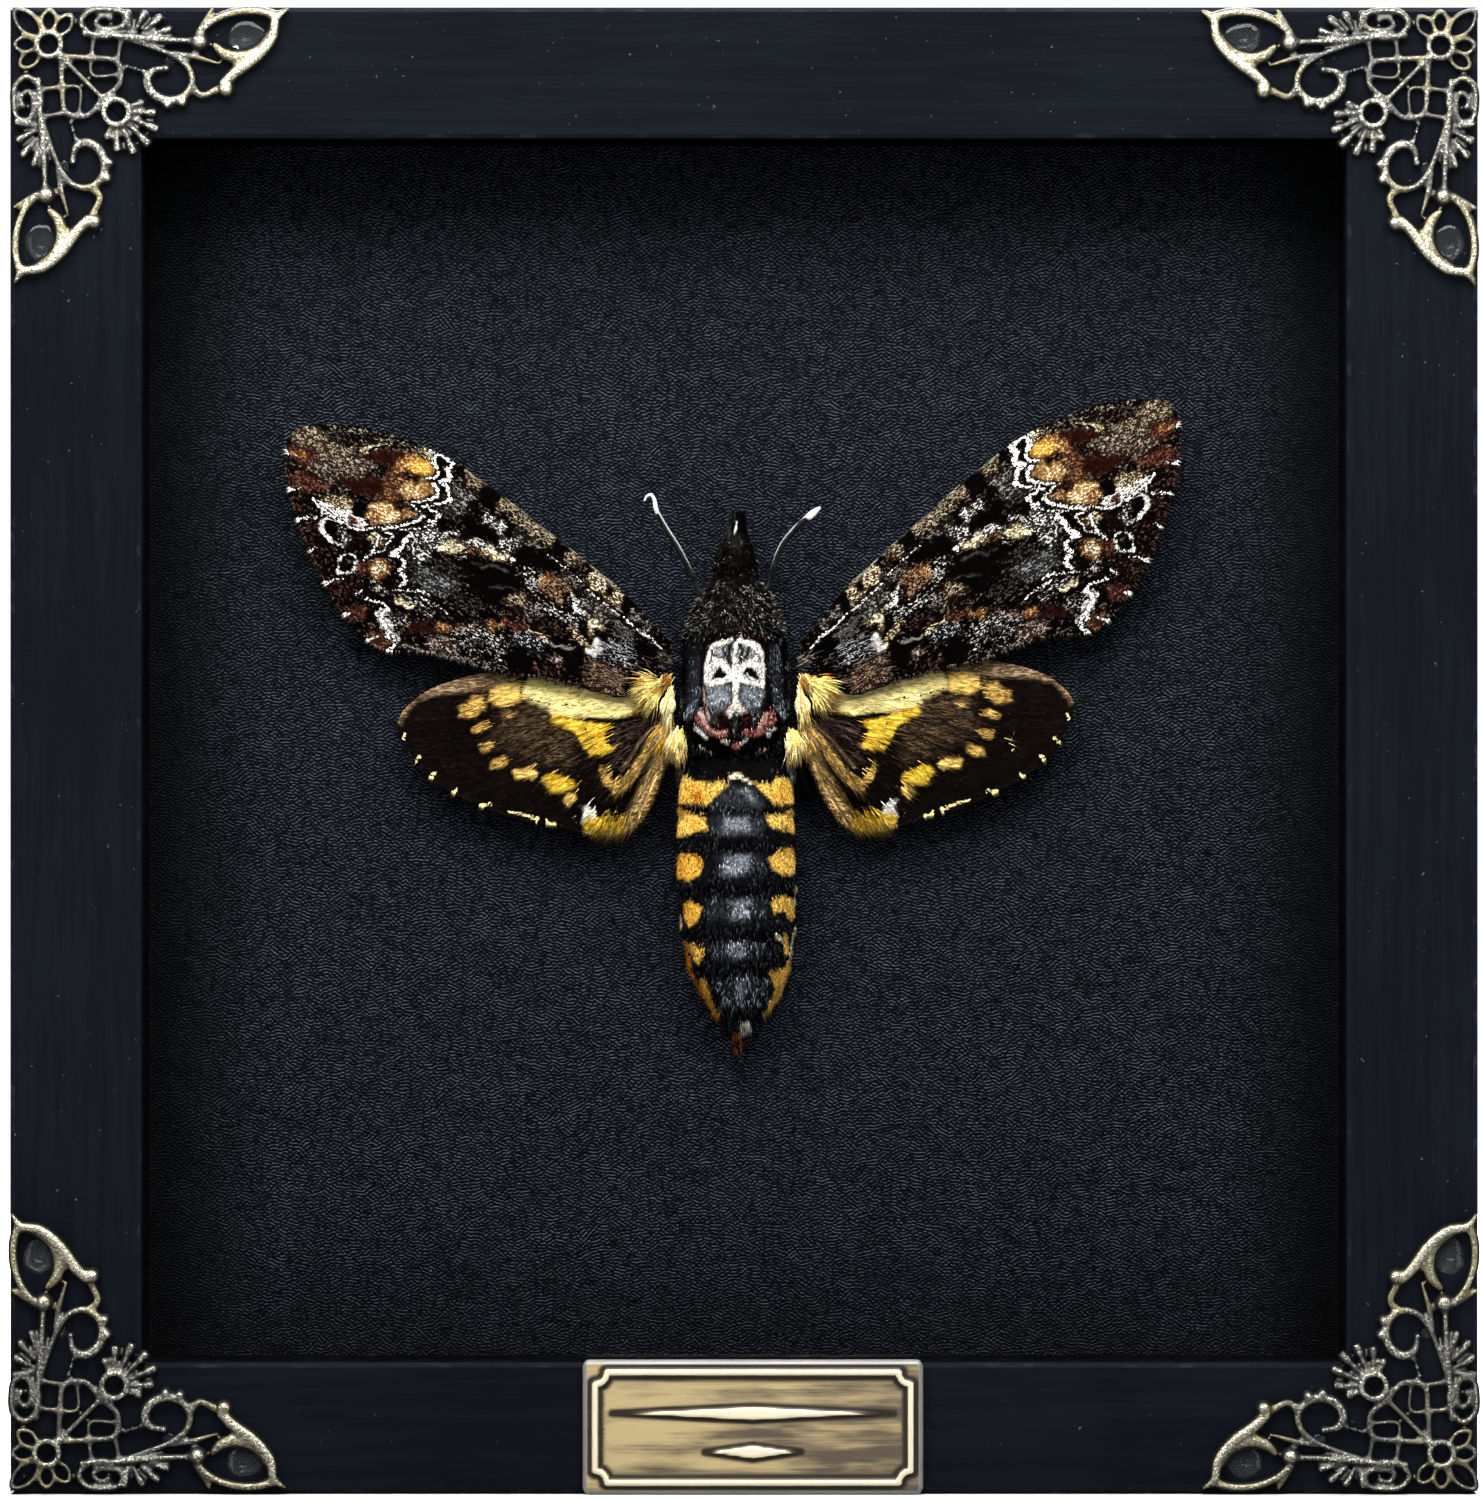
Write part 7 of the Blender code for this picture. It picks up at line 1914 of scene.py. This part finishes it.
hornLook = {
    "black": (0.004, 0.004, 0.0045, 1),
    "scales": (0.34, 0.34, 0.33, 1),
    "tip": (0.74, 0.72, 0.66, 1),
    "sides": 14,
}


def hornFinish():
    # Black horn with pale scales along one side, in fine rings.
    look = hornLook
    finish = Finish("darkHorn")
    pale = finish.field("pale")
    place = finish.place()
    grain = finish.noise(place, 4.0, 3.0, 0.6)
    rings = finish.node("TexWave", {"bands_direction": "Z"},
                        {"Vector": place, "Scale": 1.1, "Distortion": 0.8})
    cover = finish.ramp(pale + (grain - 0.5) * 0.3, 0.52, 0.72)
    colour = finish.mix(cover, look["black"], look["scales"])
    colour = finish.mix(finish.ramp(pale, 1.1, 1.6), colour, look["tip"])
    return finish.shade({"Base Color": colour, "Roughness": finish.ramp(cover, 0.0, 1.0, 0.45, 0.7),
                         "Specular IOR Level": 0.12,
                         "Normal": finish.bump(rings * 0.6 + grain * 0.4, 0.06, 0.7)})


def addLimbs():
    material = hornFinish()
    for name, stations in limbs.items():
        paleSide = 1 if name == "antenna_right" else -1
        path = smoothPath(stations, 0.25)
        points, pale = [], []
        for i, (across, up, height, radius, share) in enumerate(path):
            before, after = path[max(i - 1, 0)], path[min(i + 1, len(path) - 1)]
            along = Vector((after[0] - before[0], after[1] - before[1]))
            along.normalize()
            # Pale on the edge that faces up the body, all round at the tip.
            for angle in roundAngles(hornLook["sides"]):
                side, out = cos(angle), sin(angle)
                reach = radius * (1 + 0.05 * sin(i * 2.4))
                points.append((across - along.y * side * reach, up + along.x * side * reach,
                               height + out * reach))
                pale.append(share * (0.5 + 0.5 * side * paleSide) ** 1.6 if share < 1.2 else share)
        across, up, height = np.array(points).T
        addMesh("horn_" + name, mothPoints(across, up, height), ringFaces(len(path), hornLook["sides"]),
                [material], [name], {"pale": np.array(pale)})


print("body and limbs")
addBody()
addLimbs()


# Name plate: a field of brushed brass inside a raised border, with two plain raised lozenges.
plateLow, plateHigh = nodeBox("name_plate")
plateLook = {
    "grid": 0.26,
    "relief": 0.4,             # how far border and lozenges stand out
    "rim": 0.5,
    "corner": 0.9,
    "borderInset": 1.2,
    "borderWidth": 0.95,
    "borderNotch": 1.6,
    "lozenges": ((19.0, 1.9), (6.5, -3.3)),     # half length, height over the middle
    "lozengeHalfHeight": 0.95,
    "tarnish": (0.115, 0.090, 0.064, 1),
    "brass": (0.52, 0.41, 0.21, 1),
    # painted shadow with dirt, then the painted highlight of the relief
    "shadeAndDirt": (0.030, 0.022, 0.016, 1),
    "bright": (0.66, 0.61, 0.45, 1),
    "edge": (0.27, 0.27, 0.26, 1),
}


def notchedOutline(halfLength, halfHeight, notch):
    # A rectangle whose corners are scooped out by quarter circles.
    points = []
    for quarter, (sideX, sideZ) in enumerate(((1, 1), (-1, 1), (-1, -1), (1, -1))):
        for k in range(9):
            c, s = turn(90 * quarter + 270 - 90 * k / 8)
            points.append((sideX * halfLength + notch * c, sideZ * halfHeight + notch * s))
    return points


def oldBrass():
    look = plateLook
    finish = Finish("oldBrass")
    relief = finish.field("relief")
    shade = finish.field("shade")
    rim = finish.field("rim")
    brushed = finish.noise(finish.place((0.02, 1, 1)), 4.0, 3.0, 0.6)
    blotch = finish.noise(finish.place((0.16, 1, 1)), 0.40, 3.0, 0.55)
    grit = finish.noise(finish.place(), 5.0, 3.0, 0.6)
    across = finish.axis(finish.place(), "X")
    # Tarnish and wear, with a painted reflection that darkens the brass towards its right end.
    wearAndSheen = brushed * 0.2 + blotch * 0.8 - finish.ramp(across, -20, 16, 0.0, 0.12)
    field = finish.mix(finish.ramp(wearAndSheen, 0.30, 0.58), look["tarnish"], look["brass"])
    # Painted shadow beside the raised border and lozenges, broken by blotches and brushing.
    shadeAndDirt = finish.ramp(shade + (blotch - 0.5) * 0.6 + (brushed - 0.5) * 0.4, 0.25, 0.85)
    colour = finish.mix(shadeAndDirt, field, look["shadeAndDirt"])
    # Painted highlight on the raised border and lozenges.
    colour = finish.mix(finish.ramp(relief + (grit - 0.5) * 0.3, 0.45, 0.8), colour, look["bright"])
    colour = finish.mix(finish.ramp(rim, 0.3, 0.8), colour, look["edge"])
    return finish.shade({"Base Color": colour, "Metallic": finish.ramp(relief, 0.3, 0.9, 0.45, 0.2),
                         "Roughness": finish.ramp(brushed, 0.3, 0.7, 0.38, 0.5),
                         "Normal": finish.bump(brushed * 0.6 + grit * 0.4, 0.035, 0.8)})


def addPlate():
    look = plateLook
    middleX, middleZ = (plateLow[0] + plateHigh[0]) / 2, (plateLow[2] + plateHigh[2]) / 2
    halfLength, halfHeight = (plateHigh[0] - plateLow[0]) / 2, (plateHigh[2] - plateLow[2]) / 2
    xs = np.arange(-halfLength, halfLength + 0.01, look["grid"])
    xs[-1] = halfLength
    # Columns end on the rounded corners.
    past = np.clip(np.abs(xs) - (halfLength - look["corner"]), 0, look["corner"])
    ends = halfHeight - look["corner"] + np.sqrt(look["corner"] ** 2 - past ** 2)
    rows = int(2 * halfHeight / look["grid"]) + 1
    x = np.repeat(xs, rows)
    z = (np.linspace(-1, 1, rows)[None, :] * ends[:, None]).ravel()
    halfBorder = look["borderWidth"] / 2
    inset = look["borderInset"] + halfBorder
    border = notchedOutline(halfLength - inset, halfHeight - inset, look["borderNotch"])
    distance = lineDistance(x, z, border + [border[0]])[0]
    ridge = smoothStep(halfBorder + 0.06, halfBorder - 0.22, distance)
    near = np.exp(-((distance - halfBorder).clip(0) / 0.9) ** 2)
    for half, level in look["lozenges"]:
        tall = look["lozengeHalfHeight"]
        depth = patchDepth(x, z - level, [(-half, 0), (0, -tall), (half, 0), (0, tall)])
        ridge = np.maximum(ridge, smoothStep(-0.05, 0.25, depth))
        near = np.maximum(near, np.exp(-((-depth).clip(0) / 0.7) ** 2))
    edge = np.minimum(halfLength - np.abs(x), np.repeat(ends, rows) - np.abs(z))
    bevel = smoothStep(look["rim"], 0.0, edge)
    front = plateLow[1] + look["relief"] * (1 - ridge) + look["rim"] * bevel * 0.9
    top = np.stack([middleX + x, front, middleZ + z], -1)
    back = np.stack([middleX + x, np.full(len(x), plateHigh[1]), middleZ + z], -1)
    # Relief carries the painted highlight of the raised parts, shade the painted shadow beside them.
    fields = {"relief": ridge, "shade": near * (1 - ridge), "rim": smoothStep(look["rim"] + 0.5, 0.2, edge)}
    fields = {key: np.tile(values, 2) for key, values in fields.items()}
    addMesh("brassPlate", np.concatenate([top, back]), sheetFaces(len(xs), rows), [oldBrass()],
            ["name_plate"], fields)


print("name plate")
addPlate()
